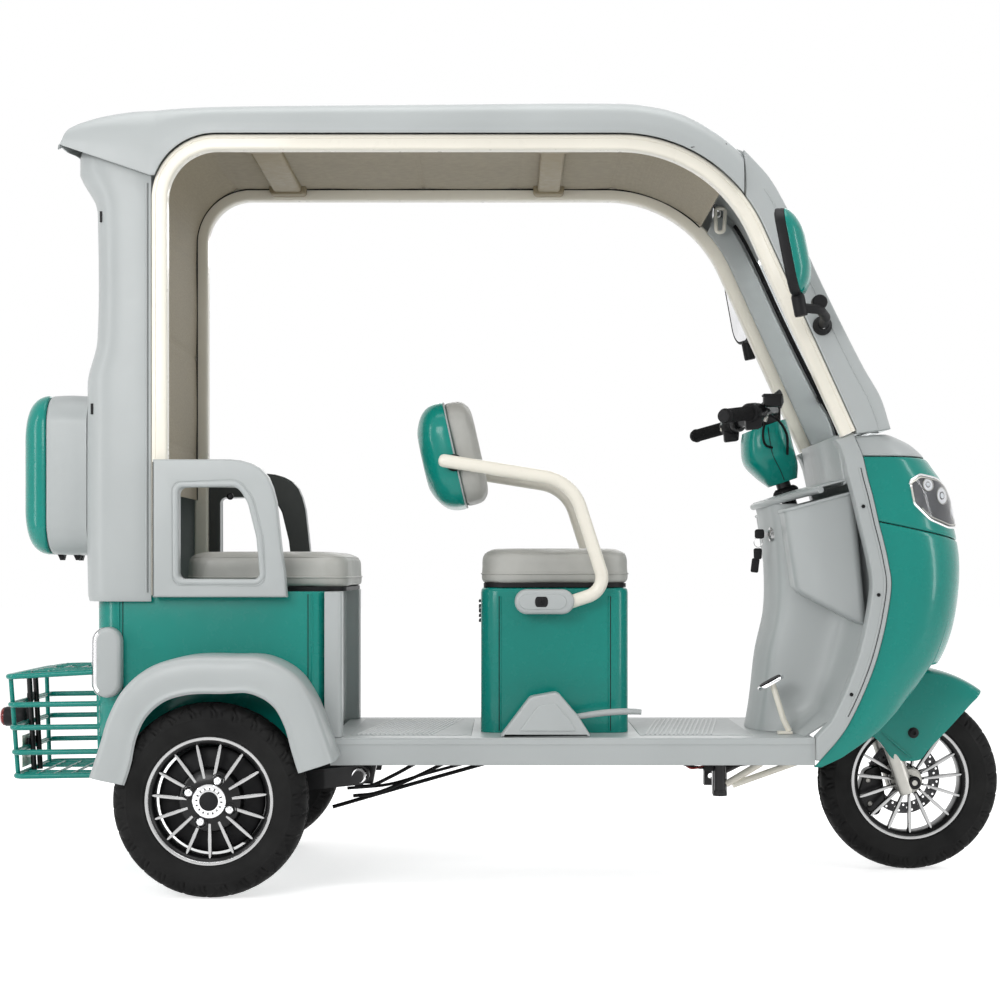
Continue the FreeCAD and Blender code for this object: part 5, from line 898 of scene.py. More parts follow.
def front_hub():
    """Silver hub flange, black axle cap, and a drilled brake disc on its carrier."""
    outlines = [ellipse((0, 0), DISC_OUTER, DISC_OUTER, 72), ellipse((0, 0), DISC_INNER, DISC_INNER, 72)]
    for radius, shift in DISC_HOLE_ROWS:
        for i in range(DISC_HOLES_IN_ROW):
            angle = 2 * math.pi * i / DISC_HOLES_IN_ROW + shift
            middle = (radius * math.cos(angle), radius * math.sin(angle))
            outlines.append(ellipse(middle, DISC_HOLE_RADIUS, DISC_HOLE_RADIUS, 12))
    carrier = plate("carrier", [mm(CARRIER_ARM_OUTLINE)], 36 * MM, 40.5 * MM, 0.8 * MM, "wheel_black")
    return [
        axle_turn("hub", FRONT_HUB_SECTION, 64, "silver"),
        axle_turn("cap", FRONT_CAP_PROFILE, 40, "black_plastic", ring=False),
        plate("disc", outlines, 40 * MM, 44 * MM, 0.3 * MM, "cast"),
        repeat(carrier, spin(CARRIER_ARMS)),
        axle_turn("carrier_hub", CARRIER_SECTION, 48, "wheel_black"),
    ]


def make_wheels():
    for body, node, hand in (
        ("front_wheel", "front", -1), ("rear_wheel_right", "rear_right", -1),
        ("rear_wheel_left", "rear_left", 1)
    ):
        suffix = "" if node == "front" else node[4:]
        start = node.split("_")[0]
        make_tyre(f"{start}_tyre{suffix}", body)
        make_rim(f"{start}_rim{suffix}", body, f"{start}_tyre{suffix}", hand, node == "front")


# Canopy: hoops, roof, lining, column, windscreen

HOOP_LINE = [(-0.746, 0.648), (-0.746, 1.646), (0.480, 1.646), (0.772, 1.004)]
HOOP_BENDS = [0.125, 0.330]
HOOP_Y = 0.301
LINING_FOOT_Z = 0.876
HOOP_DEPTH = 0.034
ROOF_REAR_X, ROOF_LENGTH = -0.963, 1.503
ROOF_HALF, ROOF_SEAT_Z, ROOF_RISE, ROOF_CROWN = 0.330, 1.665, 0.074, 0.016
ROOF_WALL = 0.005
COLUMN_FRONT_X = -0.7633
COLUMN_OVERLAP = 0.009
COLUMN_BASE_Z, COLUMN_HEIGHT, COLUMN_DEPTH, COLUMN_HALF = 0.634, 0.935, 0.166, 0.318
ROOF_SHARES = [
    (0.000, -0.40), (0.003, -0.15), (0.010, 0.20), (0.043, 0.53), (0.095, 0.77), (0.139, 0.84),
    (0.167, 0.86), (0.204, 0.88), (0.268, 0.91), (0.570, 0.97), (0.792, 1.00), (0.851, 0.95),
    (0.910, 0.68), (0.962, 0.11), (1.000, -0.50),
]
ROOF_SECTION = [
    (1.0, 0.0, 0), (1.0, 0.40, 0), (0.975, 0.76, 0), (0.910, 0.93, 0), (0.790, 1.0, 0), (0.40, 1.0, 0.8),
    (0.0, 1.0, 1.0)
]
COLUMN_SHARES = [
    (0.0, 0.985), (0.130, 1.0), (0.500, 0.995), (0.536, 0.985), (0.624, 0.855), (0.927, 0.850), (0.957, 0.890)
]


ROOF_PANEL_EDGE = [
    (0.62, 0.38, -0.001), (0.612, 0.40, 0.0012), (0.59, 0.46, 0.002), (0.40, 0.76, 0.001),
    (0.0, 0.94, 0.0002),
]
ROOF_PANEL_REAR, ROOF_PANEL_FRONT = -0.62, 0.30
ROOF_SEAM_REAR, ROOF_SEAM_FRONT = 0.42, 0.503
ROOF_TAIL_X = -0.763
ROOF_TAIL_REAR, ROOF_TAIL_FRONT = -0.79, -0.746
HOOP_HALF_WIDTH, HOOP_CORNER = 0.019, 0.006
HOOP_GROOVE = [(0.0, 8.5), (1.3, 7.5), (0.0, 6.2)]
LINING_FRONT_X = 0.505
LINING_SQUARE = 0.235
LINING_POINTS_ALONG, LINING_POINTS_ACROSS = 300, 41
ROOF_BARS = [(-0.560, -0.490), (0.096, 0.152)]
ROOF_BAR_TOP, ROOF_BAR_FOOT, BAR_END_FOOT = 1.668, 1.641, 1.636
BAR_IN_END, BAR_END_LENGTH, BAR_END_WIDER = 0.020, 0.045, 0.010
COLUMN_BEADS = [(0.007, "black_plastic", 0.0009), (0.011, "grey", 0.0016)]
COLUMN_BEAD_TOP = 1.555
COLUMN_SQUARENESS, NOSE_SQUARENESS = 5, 3
COLUMN_CLIP_HEIGHTS = (1.485, 1.06)
COLUMN_CLIP_ANGLE = math.radians(-52)
CLIP_OUTLINE = [(-6, -12), (6, -12), (6, 12), (-6, 12)]


def canopy_line(inward=0.0, steps=22):
    """Middle line of a hoop in the XZ plane, or a line that far inside it."""
    line = round_line([(x, 0, z) for x, z in HOOP_LINE], HOOP_BENDS, steps)
    frames = frames_along(line)
    return [point - tangent.cross(Y_AXIS) * inward for point, (tangent, _, _) in zip(line, frames)]


def hoop_top(x):
    """Height of the hoop's outer edge over a place along it."""
    outer = canopy_line(-HOOP_DEPTH / 2)
    for a, b in zip(outer, outer[1:]):
        if a.x <= x <= b.x and b.x > a.x:
            return a.z + (b.z - a.z) * (x - a.x) / (b.x - a.x)
    return outer[0].z if x < outer[0].x else outer[-1].z


def seam_height(x):
    return ROOF_SEAT_Z * 0.943 + (COLUMN_FRONT_X - x) * 0.338


def roof_rows():
    """Top line of the roof with the height of its lower edge under each point."""
    spots = [
        (ROOF_REAR_X + along * ROOF_LENGTH, 0, ROOF_SEAT_Z + up * ROOF_RISE) for along, up in ROOF_SHARES
    ]
    rows = []
    for spot in smooth_line(spots, 9):
        edge = seam_height(spot.x) if spot.x < ROOF_TAIL_X else hoop_top(spot.x) + 0.0006
        if ROOF_TAIL_REAR < spot.x < ROOF_TAIL_FRONT:
            edge = max(edge, seam_height(ROOF_TAIL_X))
        rows.append((spot.x, spot.z, min(edge, spot.z - 2 * ROOF_WALL)))
    return rows


def roof_spot(row, wide, high, crown):
    x, top, edge = row
    return Vector((x, -ROOF_HALF * wide, edge + (top - edge) * high + ROOF_CROWN * crown))


def make_roof():
    section = smooth_line(ROOF_SECTION, 7)
    rows = []
    for row in roof_rows():
        right = [roof_spot(row, *point) for point in section]
        rows.append(both_sides(right))
    shell = thicken(repair(grid("roof_shell", rows, "grey")), 0.0045, -1)
    finish(soften(shell, 0.0015, 2, 60), "chassis", ("roof_shell",))
    seam_rows = [row for row in roof_rows() if ROOF_SEAM_REAR < row[0] < ROOF_SEAM_FRONT]
    seam = []
    for i, row in enumerate(seam_rows):
        share = i / max(len(seam_rows) - 1, 1)
        seam.append(roof_spot(row, 1.0 - 0.03 * share, 0.05 + 0.74 * share, 0) - Y_AXIS * 0.0002)
    panel = []
    for row in roof_rows():
        if ROOF_PANEL_REAR < row[0] < ROOF_PANEL_FRONT:
            right = []
            for wide, crown, lift in ROOF_PANEL_EDGE:
                right.append(roof_spot(row, wide, 1.0, crown) + Z_AXIS * lift)
            panel.append(right)
    raised = grid("roof_panel", [both_sides(right) for right in panel], "grey")
    finish(pair(tube("roof_seam", seam, 0.0011, "black_plastic", 8)), "chassis")
    finish(repair(raised), "chassis")


def hoop_section():
    """Rounded section with a groove near its outer edge, as (across, out) points."""
    w, d, r = HOOP_HALF_WIDTH, HOOP_DEPTH / 2, HOOP_CORNER
    corners = []
    for cx, cy, start in (
        (w - r, d - r, 0), (-w + r, d - r, 90), (-w + r, -d + r, 180), (w - r, -d + r, 270)
    ):
        for step in range(5):
            angle = math.radians(start + step * 22.5)
            corners.append((cx + r * math.cos(angle), cy + r * math.sin(angle)))
    groove = [(inward * MM - w, out * MM) for inward, out in HOOP_GROOVE]
    return corners[:10] + groove + corners[10:]


def make_hoops():
    line = canopy_line(0.0, 26)
    hoop = sweep("canopy_hoops", [p - Y_AXIS * HOOP_Y for p in line], hoop_section(), Y_AXIS, "cream")
    finish(pair(hoop), "chassis", ("canopy_hoops",), sharp=32)


def lining_profile(across, along):
    """Depth of the seams and the fullness of the cloth between them."""
    full = 0.0025 * math.sin(math.pi * min(max((across + 1) / 2, 0), 1)) ** 0.5
    cell = (along / LINING_SQUARE) % 1.0
    seam = max(0.0, 1 - abs(cell - 0.5) * 2 / 0.045)
    weld = 0.0018 * abs(math.sin(math.pi * (cell + 0.5)))
    return full + weld - 0.0035 * seam


def make_lining():
    """Quilted cloth on the hoops' outer side, from the rear bend's foot to the front header."""
    line = resample(canopy_line(-HOOP_DEPTH / 2 + 0.005, 26), LINING_POINTS_ALONG)
    line = [p for p in line if p.x < LINING_FRONT_X and p.z > LINING_FOOT_Z]
    half = HOOP_Y - 0.0192
    frames = frames_along(line)
    rows = []
    run = 0.0
    for i, (point, (tangent, _, _)) in enumerate(zip(line, frames)):
        run += (point - line[i - 1]).length if i else 0.0
        inward = Y_AXIS.cross(tangent)
        row = []
        for across in spread(-1, 1, LINING_POINTS_ACROSS):
            row.append(point + inward * lining_profile(across, run) + Y_AXIS * across * half)
        rows.append(row)
    lining = thicken(repair(grid("roof_lining", rows, "lining")), 0.003, 1)
    finish(lining, "chassis", ("roof_lining", "back_lining"), sharp=70)
    edge = []
    for point, (tangent, _, _) in zip(line, frames):
        edge.append(point + Y_AXIS.cross(tangent) * 0.0025 - Y_AXIS * (half - 0.0006))
    finish(pair(tube("lining_edge", edge, 0.0017, "rubber", 8)), "chassis", sharp=60)
    parts = []
    for low, high in ROOF_BARS:
        reach = half - BAR_IN_END
        parts.append(cross_bar("roof_bar", low, high, ROOF_BAR_FOOT, 0.008, -reach, reach, 0.002))
        low, high = low - BAR_END_WIDER, high + BAR_END_WIDER
        for hand in (-1, 1):
            start, end = sorted((hand * (half - BAR_END_LENGTH), hand * half))
            parts.append(cross_bar("bar_end", low, high, BAR_END_FOOT, 0.010, start, end, 0.004))
    finish(join("roof_bars", parts), "chassis", sharp=50)


def cross_bar(name, low, high, foot, radius, start, end, bevel):
    """Bar under the roof, from one side to the other, its lower corners rounded."""
    loops = []
    for y, inset in (
        (start, bevel), (start + bevel * 0.3, bevel * 0.3), (start + bevel, 0.0),
        (end - bevel, 0.0), (end - bevel * 0.3, bevel * 0.3), (end, bevel),
    ):
        ring = rounded_loop((high - low) / 2 - inset, foot + inset, ROOF_BAR_TOP - inset, radius)
        loops.append([Vector(((low + high) / 2 + x, y, z)) for x, z in ring])
    return loft(name, loops, "lining_moulded")


def column_back(z):
    up = (z - COLUMN_BASE_Z) / COLUMN_HEIGHT
    if up > COLUMN_SHARES[-1][0]:
        share = min((up - COLUMN_SHARES[-1][0]) / 0.06, 1.0)
        return 0.890 + 0.21 * share
    return look_up(COLUMN_SHARES, up)


def superellipse(exponent, angle):
    power = 2.0 / exponent
    c, s = math.cos(angle), math.sin(angle)
    return abs(c) ** power, math.copysign(abs(s) ** power, s)


def column_spot(z, angle, inset=0.0):
    ahead, side = superellipse(COLUMN_SQUARENESS, angle)
    x = COLUMN_FRONT_X - (COLUMN_DEPTH * column_back(z) - inset) * ahead
    return Vector((x, (COLUMN_HALF - inset) * side, z))


def make_column():
    angles = [math.radians(a) for a in spread(-90, 90, 97)]
    rows = []
    heights = spread(0, 1, 84)
    for share in heights:
        row = []
        for angle in angles:
            ahead = superellipse(COLUMN_SQUARENESS, angle)[0]
            guess = COLUMN_FRONT_X - COLUMN_DEPTH * 1.05 * ahead
            top = seam_height(guess) + COLUMN_OVERLAP
            z = COLUMN_BASE_Z + (top - COLUMN_BASE_Z) * share
            inset = 0.0025 if share in (heights[0], heights[-1]) else 0.0
            row.append(column_spot(z, angle, inset))
        rows.append(row)
    shell = thicken(repair(grid("rear_column", rows, "grey")), 0.004, -1)
    parts = [soften(shell, 0.0012, 2, 60)]
    for inset, look, wide in COLUMN_BEADS:
        bead = []
        y = -COLUMN_HALF - 0.0001 + 0.0006 * (inset > 0.01)
        for z in spread(COLUMN_BASE_Z + 0.02, COLUMN_BEAD_TOP, 50):
            bead.append(Vector((COLUMN_FRONT_X - inset, y, z)))
        parts.append(pair(tube("column_bead", bead, wide, look, 8)))
    clips = []
    for z in COLUMN_CLIP_HEIGHTS:
        clip = plate("column_clip", [mm(CLIP_OUTLINE)], -3 * MM, 3 * MM, 1 * MM, "black_plastic", "YZ")
        clips.append(moved(clip, Matrix.Translation(column_spot(z, COLUMN_CLIP_ANGLE) + X_AXIS * MM)))
    parts.append(pair(join("column_clips", clips)))
    finish(join("rear_column", parts), "chassis", ("rear_column",), sharp=40)


PILLAR_TOP = (0.5405, 1.628)
PILLAR_FOOT = (0.8634, 1.01375)
PILLAR_BOW = [
    (0.0, 0.0), (0.081, 0.044), (0.171, 0.098), (0.274, 0.189), (0.537, 0.487), (0.813, 0.778),
    (0.931, 0.887), (1.0, 1.0),
]
HEADER_HALF, HEADER_CROWN = 0.282, 0.006
COWL_SHELF = [(0.753, 1.003), (0.860, 1.003), (0.850, 0.925), (0.771, 0.893)]
GLASS_HALF, GASKET_HALF = 0.290, 0.286
STOP_PROFILE = [(0.0, 0.0), (12, 0.0), (14, 4), (13, 12), (9, 16), (0.0, 17)]
STOP_FROM, STOP_TOWARD = (0.797, 1.127), (0.88, 1.17)
STOP_Y = 0.255


def pillar_front():
    span_x, span_z = PILLAR_FOOT[0] - PILLAR_TOP[0], PILLAR_TOP[1] - PILLAR_FOOT[1]
    spots = [(PILLAR_TOP[0] + span_x * a, 0, PILLAR_TOP[1] - span_z * d) for a, d in PILLAR_BOW]
    return smooth_line(spots, 8)


def make_windscreen_frame():
    front = pillar_front()
    back = [p for p in canopy_line(-HOOP_DEPTH / 2 - 0.001, 26) if p.x > 0.5415]
    back.append(Vector((PILLAR_FOOT[0] - 0.075, 0, 1.0038)))
    outline = side_on(front) + side_on(back[::-1])
    pillar = plate("windscreen_frame", [outline], -0.322, -0.282, 0.004, "grey", segments=4)
    line = [p.lerp(q, 0.34) for p, q in zip(resample(front, 40)[4:], resample(back, 40)[4:])]
    ridge = tube("pillar_ridge", [p - Y_AXIS * 0.3213 for p in line], 0.0022, "grey", 10, flat=0.5)
    inner_front = [p + Vector((-0.018, 0, -0.006)) for p in front[6:]]
    inner_back = [p for p in canopy_line(0.006 - HOOP_DEPTH / 2, 26) if p.x > 0.52]
    outline = side_on(inner_front + inner_back[::-1])
    inner = plate("pillar_lining", [outline], -0.2815, -0.268, 0.004, "grey")
    header_line = [Vector((0.502, 0, 1.640))] + resample(front, 60)[0:17]
    header = []
    for p in header_line:
        row = []
        for y in spread(-HEADER_HALF, HEADER_HALF, 25):
            row.append(p + Vector((-0.004, y, -0.002 + HEADER_CROWN * (1 - (y / HEADER_HALF) ** 2))))
        header.append(row)
    header = thicken(repair(grid("header", header, "grey")), 0.008, 1)
    body = join("windscreen_frame", [pair(pillar), pair(ridge), pair(inner), header])
    finish(body, "chassis", ("windscreen_frame",), sharp=40)
    shelf = plate("cowl_shelf", [COWL_SHELF], -0.258, 0.258, 0.006, "grey", segments=4)
    finish(shelf, "chassis", sharp=40)


def make_windscreen():
    front = resample(pillar_front(), 60)[14:]
    frames = frames_along(front)
    rows = []
    for p, (tangent, _, _) in zip(front, frames):
        out = Y_AXIS.cross(tangent) * -1
        out = out if out.x > 0 else -out
        rows.append([p + out * 0.0022 + Y_AXIS * y for y in spread(-GLASS_HALF, GLASS_HALF, 17)])
    glass = thicken(repair(grid("windscreen_glass", rows, "glass")), 0.0036, 0)
    finish(glass, "chassis", ("windscreen_glass",), sharp=50)
    tubes = []
    for y in (-GASKET_HALF, GASKET_HALF):
        inside = Vector((-0.006, y * 0.965, -0.002))
        line = [p + inside for p in resample(pillar_front(), 60)[7:-1]]
        tubes.append(tube("gasket", line, 0.0060, "rubber", 12))
    foot = [front[-2] + Vector((0.003, y, 0.001)) for y in spread(-GASKET_HALF, GASKET_HALF, 12)]
    tubes.append(tube("gasket", foot, 0.0026, "rubber", 8))
    finish(join("windscreen_gasket", tubes), "chassis")
    stops = []
    for y in (-STOP_Y, STOP_Y):
        stop = turn("stop", mm(STOP_PROFILE), (0, 0, 0), Z_AXIS, 28, "rubber")
        start, end = [(x, y, z) for x, z in (STOP_FROM, STOP_TOWARD)]
        stops.append(moved(stop, stretch_to(start, end)))
    finish(join("windscreen_stops", stops), "chassis")


def make_grab_handles():
    """Strap loops on bright hooks, under the header beside the pillars."""
    loop = round_line(
        [(0.537, 0, 1.602), (0.540, 0, 1.540), (0.559, 0, 1.543), (0.563, 0, 1.600)], 0.0085, 7, True
    )
    strap = tube("grab_loop", [p - Y_AXIS * 0.240 for p in loop], 0.0065, "cream", 12, True, 0.75)
    hook = tube("grab_hook", smooth_line([
        (0.526, -0.24, 1.626), (0.532, -0.24, 1.610), (0.540, -0.24, 1.598), (0.547, -0.24, 1.592),
        (0.548, -0.24, 1.582), (0.541, -0.24, 1.580)
    ], 5), 0.0036, "chrome", 10)
    finish(pair(join("grab_handles", [strap, hook])), "chassis")


def make_canopy():
    make_roof()
    make_hoops()
    make_lining()
    make_column()
    make_windscreen_frame()
    make_windscreen()
    make_grab_handles()


# Nose, shields and leg shield

SHIELD_X, SHIELD_DEPTH, SHIELD_Z, SHIELD_HEIGHT, SHIELD_HALF = 0.700, 0.380, 0.260, 0.750, 0.300
NOSE_SHARES = [
    (0.000, -0.020, 0.36), (0.030, 0.030, 0.39), (0.090, 0.134, 0.47), (0.135, 0.195, 0.566),
    (0.215, 0.274, 0.670), (0.305, 0.345, 0.813), (0.377, 0.387, 0.884), (0.453, 0.420, 0.924),
    (0.550, 0.445, 0.947), (0.623, 0.424, 0.950), (0.677, 0.400, 0.937), (0.724, 0.376, 0.918),
    (0.810, 0.337, 0.880), (0.860, 0.310, 0.842), (0.900, 0.292, 0.784), (0.927, 0.279, 0.742),
    (0.967, 0.247, 0.650), (0.990, 0.226, 0.547), (1.005, 0.240, 0.453),
]
ARCH_SHARES = [
    (0.037, 0.008), (0.155, 0.035), (0.353, 0.099), (0.482, 0.160), (0.574, 0.215), (0.642, 0.259),
    (0.695, 0.306), (1.1, 0.306),
]
LAMP_SHARES = [
    (0.556, 0.854), (0.618, 0.874), (0.750, 0.864), (0.932, 0.802), (0.932, 0.722), (0.806, 0.718),
    (0.676, 0.741), (0.582, 0.786),
]
LAMP_BENDS = [0.006, 0.014, 0.050, 0.020, 0.020, 0.050, 0.040, 0.010]
CONSOLE_SHARES = [
    (0.099, -0.313), (0.185, -0.285), (0.336, -0.250), (0.472, -0.195), (0.623, -0.195), (0.748, -0.224),
    (0.795, -0.245)
]
TRIM_BAND = 0.042
STRIP_HEIGHTS = (0.722, 0.892)
STRIP_SECTION = [
    (-6.4, 0.0), (-6.0, 0.0032), (-3.2, 0.0042), (0.0, 0.0046), (3.2, 0.0042), (6.0, 0.0032), (6.4, 0.0),
]
LAMP_CUPS = [(0.954, 0.893, 0.013, 0.014), (0.990, 0.869, 0.015, 0.019), (1.022, 0.835, 0.011, 0.019)]
TRIM_FACE_Y = -0.3078
TRIM_SCREWS = (12, 30, 46)
LEG_SHIELD_HEIGHTS = (0.3335, 0.8555)


def shield_x(share):
    return SHIELD_X + share * SHIELD_DEPTH


def shield_z(share):
    return SHIELD_Z + share * SHIELD_HEIGHT


def nose_spot(z, angle, inset=0.0):
    """Point of the nose's outer surface at a height and an angle round it, or that far inside."""
    share = (z - SHIELD_Z) / SHIELD_HEIGHT
    side = shield_x(look_up(NOSE_SHARES, share))
    front = shield_x(look_up(NOSE_SHARES, share, 2)) - inset
    ahead, across = superellipse(NOSE_SQUARENESS, angle)
    return Vector((side + (front - side) * ahead, (SHIELD_HALF - inset) * across, z))


def nose_at(x, z, proud=0.0):
    """Near-side point of the nose at an X and a height."""
    share = (z - SHIELD_Z) / SHIELD_HEIGHT
    side = shield_x(look_up(NOSE_SHARES, share))
    front = shield_x(look_up(NOSE_SHARES, share, 2))
    ahead = min(max((x - side) / (front - side), 0.0), 1.0)
    across = (1 - ahead**3) ** (1 / 3)
    spot = Vector((x, -SHIELD_HALF * across, z))
    out = Vector((ahead**2 / (front - side), -(across**2) / SHIELD_HALF, 0)).normalized()
    return spot + out * proud


def parting(share, slope, angle):
    """Height of a slanting parting line at an angle round the nose."""
    middle = shield_x(look_up(NOSE_SHARES, share, 2))
    z = shield_z(share)
    for _ in range(6):
        z = shield_z(share) + slope * (nose_spot(z, angle).x - middle)
    return z


def arch_height(x):
    spots = [(shield_x(a), shield_z(u)) for a, u in ARCH_SHARES]
    if x <= spots[0][0]:
        return spots[0][1]
    for a, b in zip(spots, spots[1:]):
        if x <= b[0]:
            return a[1] + (b[1] - a[1]) * (x - a[0]) / (b[0] - a[0])
    return spots[-1][1]


def arch_edge(angle):
    """Height at which the surface meets the wheel arch at an angle round the nose."""
    low, high = SHIELD_Z, shield_z(0.5)
    for _ in range(24):
        middle = (low + high) / 2
        if middle < arch_height(nose_spot(middle, angle).x):
            low = middle
        else:
            high = middle
    return high


def nose_skin(name, low, high, look, rows_count=40, wall=0.0045):
    """Skin of the nose between two edges, given as heights at an angle, with rolled edges."""
    angles = []
    for step in spread(-1, 1, 121):
        angles.append(math.radians(90 * math.copysign(abs(step) ** 0.8, step)))
    lows = [low(angle) + 0.0012 for angle in angles]
    highs = [high(angle) - 0.0012 for angle in angles]
    edge = [(0.0, 0.0034), (0.0012, 0.0012), (0.0034, 0.0002)]
    levels = [("low", up, inset) for up, inset in edge]
    levels += [("share", share, 0.0) for share in spread(0, 1, rows_count)[1:-1]]
    levels += [("high", up, inset) for up, inset in edge[::-1]]
    rows = []
    for kind, value, inset in levels:
        row = []
        for angle, bottom, top in zip(angles, lows, highs):
            if kind == "low":
                z = bottom + value
            elif kind == "high":
                z = top - value
            else:
                z = bottom + 0.0034 + (top - bottom - 0.0068) * value
            row.append(nose_spot(z, angle, inset))
        rows.append(row)
    skin = thicken(repair(grid(name, rows, look)), wall, -1)
    skin.data.materials.append(LOOKS["grey_soft"])
    for face in skin.data.polygons:
        out = face.center - Vector((SHIELD_X - 0.2, 0, face.center.z))
        if face.normal.dot(out) < -0.02:
            face.material_index = len(skin.data.materials) - 1
    return skin


def make_nose():
    upper = functools.partial(parting, 0.927, 0.0)
    lower = functools.partial(parting, 0.677, -0.2)
    top = functools.partial(parting, 0.999, 0.1)
    finish(
        nose_skin("nose_cowl", upper, top, "grey", 18), "chassis", ("nose_cowl",), sharp=50
    )
    finish(
        nose_skin("nose_panel", lower, upper, "teal", 34), "chassis", ("nose_panel",),
        sharp=50
    )
    finish(
        nose_skin("front_shield", arch_edge, lower, "teal", 70), "chassis",
        ("front_shield",), sharp=50
    )
    strip = []
    for z in spread(*STRIP_HEIGHTS, 24):
        strip.append([nose_spot(z, math.radians(degrees)) + X_AXIS * lift for degrees, lift in STRIP_SECTION])
    finish(repair(grid("nose_strip", strip, "teal")), "chassis", sharp=30)


def patch(name, outline, proud, dome, look, rings=9, shrink=1.0):
    """Patch that lies on the near side of the nose inside an (x, z) outline, raised in a dome."""
    middle = Vector((sum(p.x for p in outline) / len(outline), 0, sum(p.z for p in outline) / len(outline)))
    rows = []
    for ring in range(rings + 1):
        share = 1 - ring / rings
        row = []
        for p in outline:
            q = middle + (p - middle) * (shrink * share)
            row.append(nose_at(q.x, q.z, proud + dome * (1 - share**2)))
        rows.append(row)
    skirt = [
        nose_at(middle.x + (p.x - middle.x) * shrink, middle.z + (p.z - middle.z) * shrink, -0.002)
        for p in outline
    ]
    obj = grid(name, [skirt] + rows, look, wrap=True)
    return repair(obj, 1e-6)


def make_headlamps():
    spots = [(shield_x(a), 0, shield_z(u)) for a, u in LAMP_SHARES]
    line = round_line(spots, LAMP_BENDS, 7, True)
    outline = resample(line + [line[0]], 97)[:-1]
    rim_line = [nose_at(p.x, p.z, 0.0008) for p in outline]
    rim = tube("lamp_rim", rim_line, 0.0032, "chrome", 10, True)
    bowl = patch("lamp_bowl", outline, 0.0006, 0.0, "cast", shrink=0.97)
    lens = patch("lamp_lens", outline, 0.0042, 0.0035, "lens", shrink=0.96)
    inner = []
    for x, z, wide, high in LAMP_CUPS:
        ring = [Vector((cup_x, 0, cup_z)) for cup_x, cup_z in ellipse((x, z), wide, high, 36)]
        inner.append(patch("lamp_cup", ring, 0.0012, -0.0008, "chrome", 5))
        inner.append(tube("lamp_ring", [nose_at(p.x, p.z, 0.0022) for p in ring], 0.0013, "silver", 8, True))
        dot = [middle_point(ring) + (p - middle_point(ring)) * 0.34 for p in ring]
        inner.append(patch("lamp_bulb", dot, 0.0016, 0.0016, "glow", 4))
    brow = [p for p in outline if p.z > 0.862 + (p.x - 0.90) * -0.25]
    lower = [p for p in outline if p.z < 0.838 + (p.x - 0.93) * -0.12]
    line = [nose_at(p.x, p.z - 0.005, 0.0035) for p in brow]
    bars = [tube("lamp_brow", line, 0.0022, "silver", 8, flat=0.6)]
    if len(lower) > 3:
        line = [nose_at(p.x, p.z + 0.006, 0.0035) for p in lower]
        bars.append(tube("lamp_lip", line, 0.0026, "silver", 8, flat=0.6))
    housing = join("headlamp_housing", [rim, bowl] + inner + bars)
    finish(pair(housing), "chassis", ("headlamps",), sharp=45)
    finish(pair(lens), "chassis", sharp=45)


def middle_point(points):
    return sum(points, Vector()) / len(points)


def make_shield_trim():
    corner, foot = Vector((0.480, 0, 1.646)), Vector((0.772, 0, 1.004))
    down = (foot - corner).normalized()
    slant = -down.x / down.z
    front, back = [], []
    for up in spread(0.03, 0.99, 60):
        x = shield_x(look_up(NOSE_SHARES, up)) - 0.0016
        z = shield_z(up)
        front.append((x, min(z, foot.z + (x - foot.x) * slant - 0.0016)))
        if up >= 0.135:
            x_back = x - TRIM_BAND
            back.append((x_back, min(z, foot.z + (x_back - foot.x) * slant - 0.0016)))
    top = foot.z + (front[-1][0] - foot.x) * slant - 0.0016
    front = [spot for spot in front if spot[1] < foot.z + (spot[0] - foot.x) * slant - 0.008]
    tip_x = shield_x(look_up(NOSE_SHARES, (top - 0.004 - SHIELD_Z) / SHIELD_HEIGHT)) - 0.0016
    front.append((tip_x, foot.z + (tip_x - foot.x) * slant - 0.0016))
    back = [spot for spot in back if spot[1] < foot.z + (spot[0] - foot.x) * slant - 0.008]
    back.append((tip_x - TRIM_BAND, foot.z + (tip_x - TRIM_BAND - foot.x) * slant - 0.0016))
    toe = [(0.702, 0.334), (0.702, shield_z(0.03))]
    band = plate("shield_trim", [back[::-1] + toe + front], -0.308, -0.262, 0.005, "grey", segments=4)
    lines = []
    for share, thick, look in ((0.26, 0.0010, "black_plastic"), (0.36, 0.0018, "grey")):
        line = [Vector((x - TRIM_BAND * share, TRIM_FACE_Y, z)) for x, z in front[8:-6]]
        lines.append(tube("trim_line", line, thick, look, 8))
    screws = []
    for x, z in [front[k] for k in TRIM_SCREWS]:
        screws.append(bolt_mesh("screw", (x - 0.027, TRIM_FACE_Y, z), -Y_AXIS, 0.0042, "black_plastic"))
    finish(
        pair(join("shield_trim", [band] + lines + screws)), "chassis", ("shield_trim",),
        sharp=40
    )


def console_plan(z):
    """Plan of the leg shield at a height, from the near edge to the middle."""
    up = (z - SHIELD_Z) / SHIELD_HEIGHT
    rear = shield_x(look_up(CONSOLE_SHARES, min(max(up, 0.099), 0.795)))
    side = shield_x(look_up(NOSE_SHARES, up)) - TRIM_BAND / 2
    side = min(side, 0.685 + max(z - 0.336, 0) * 1.6)
    flank = rear + (side - rear) * 0.75
    return [
        (side, -0.261), (side - 0.004, -0.246), (flank, -0.155), (rear + 0.026, -0.117),
        (rear + 0.013, -0.085),
        (rear + 0.004, -0.045), (rear, 0),
    ]


def make_leg_shield():
    rows = []
    for z in spread(*LEG_SHIELD_HEIGHTS, 64):
        plan = [Vector((x, y, z)) for x, y in console_plan(z)]
        line = resample(smooth_line(plan, 8), 44)
        rows.append(both_sides(line))
    shell = thicken(repair(grid("leg_shield", rows, "grey")), 0.004, 1)
    finish(shell, "chassis", ("leg_shield",), sharp=50)
    make_dash()


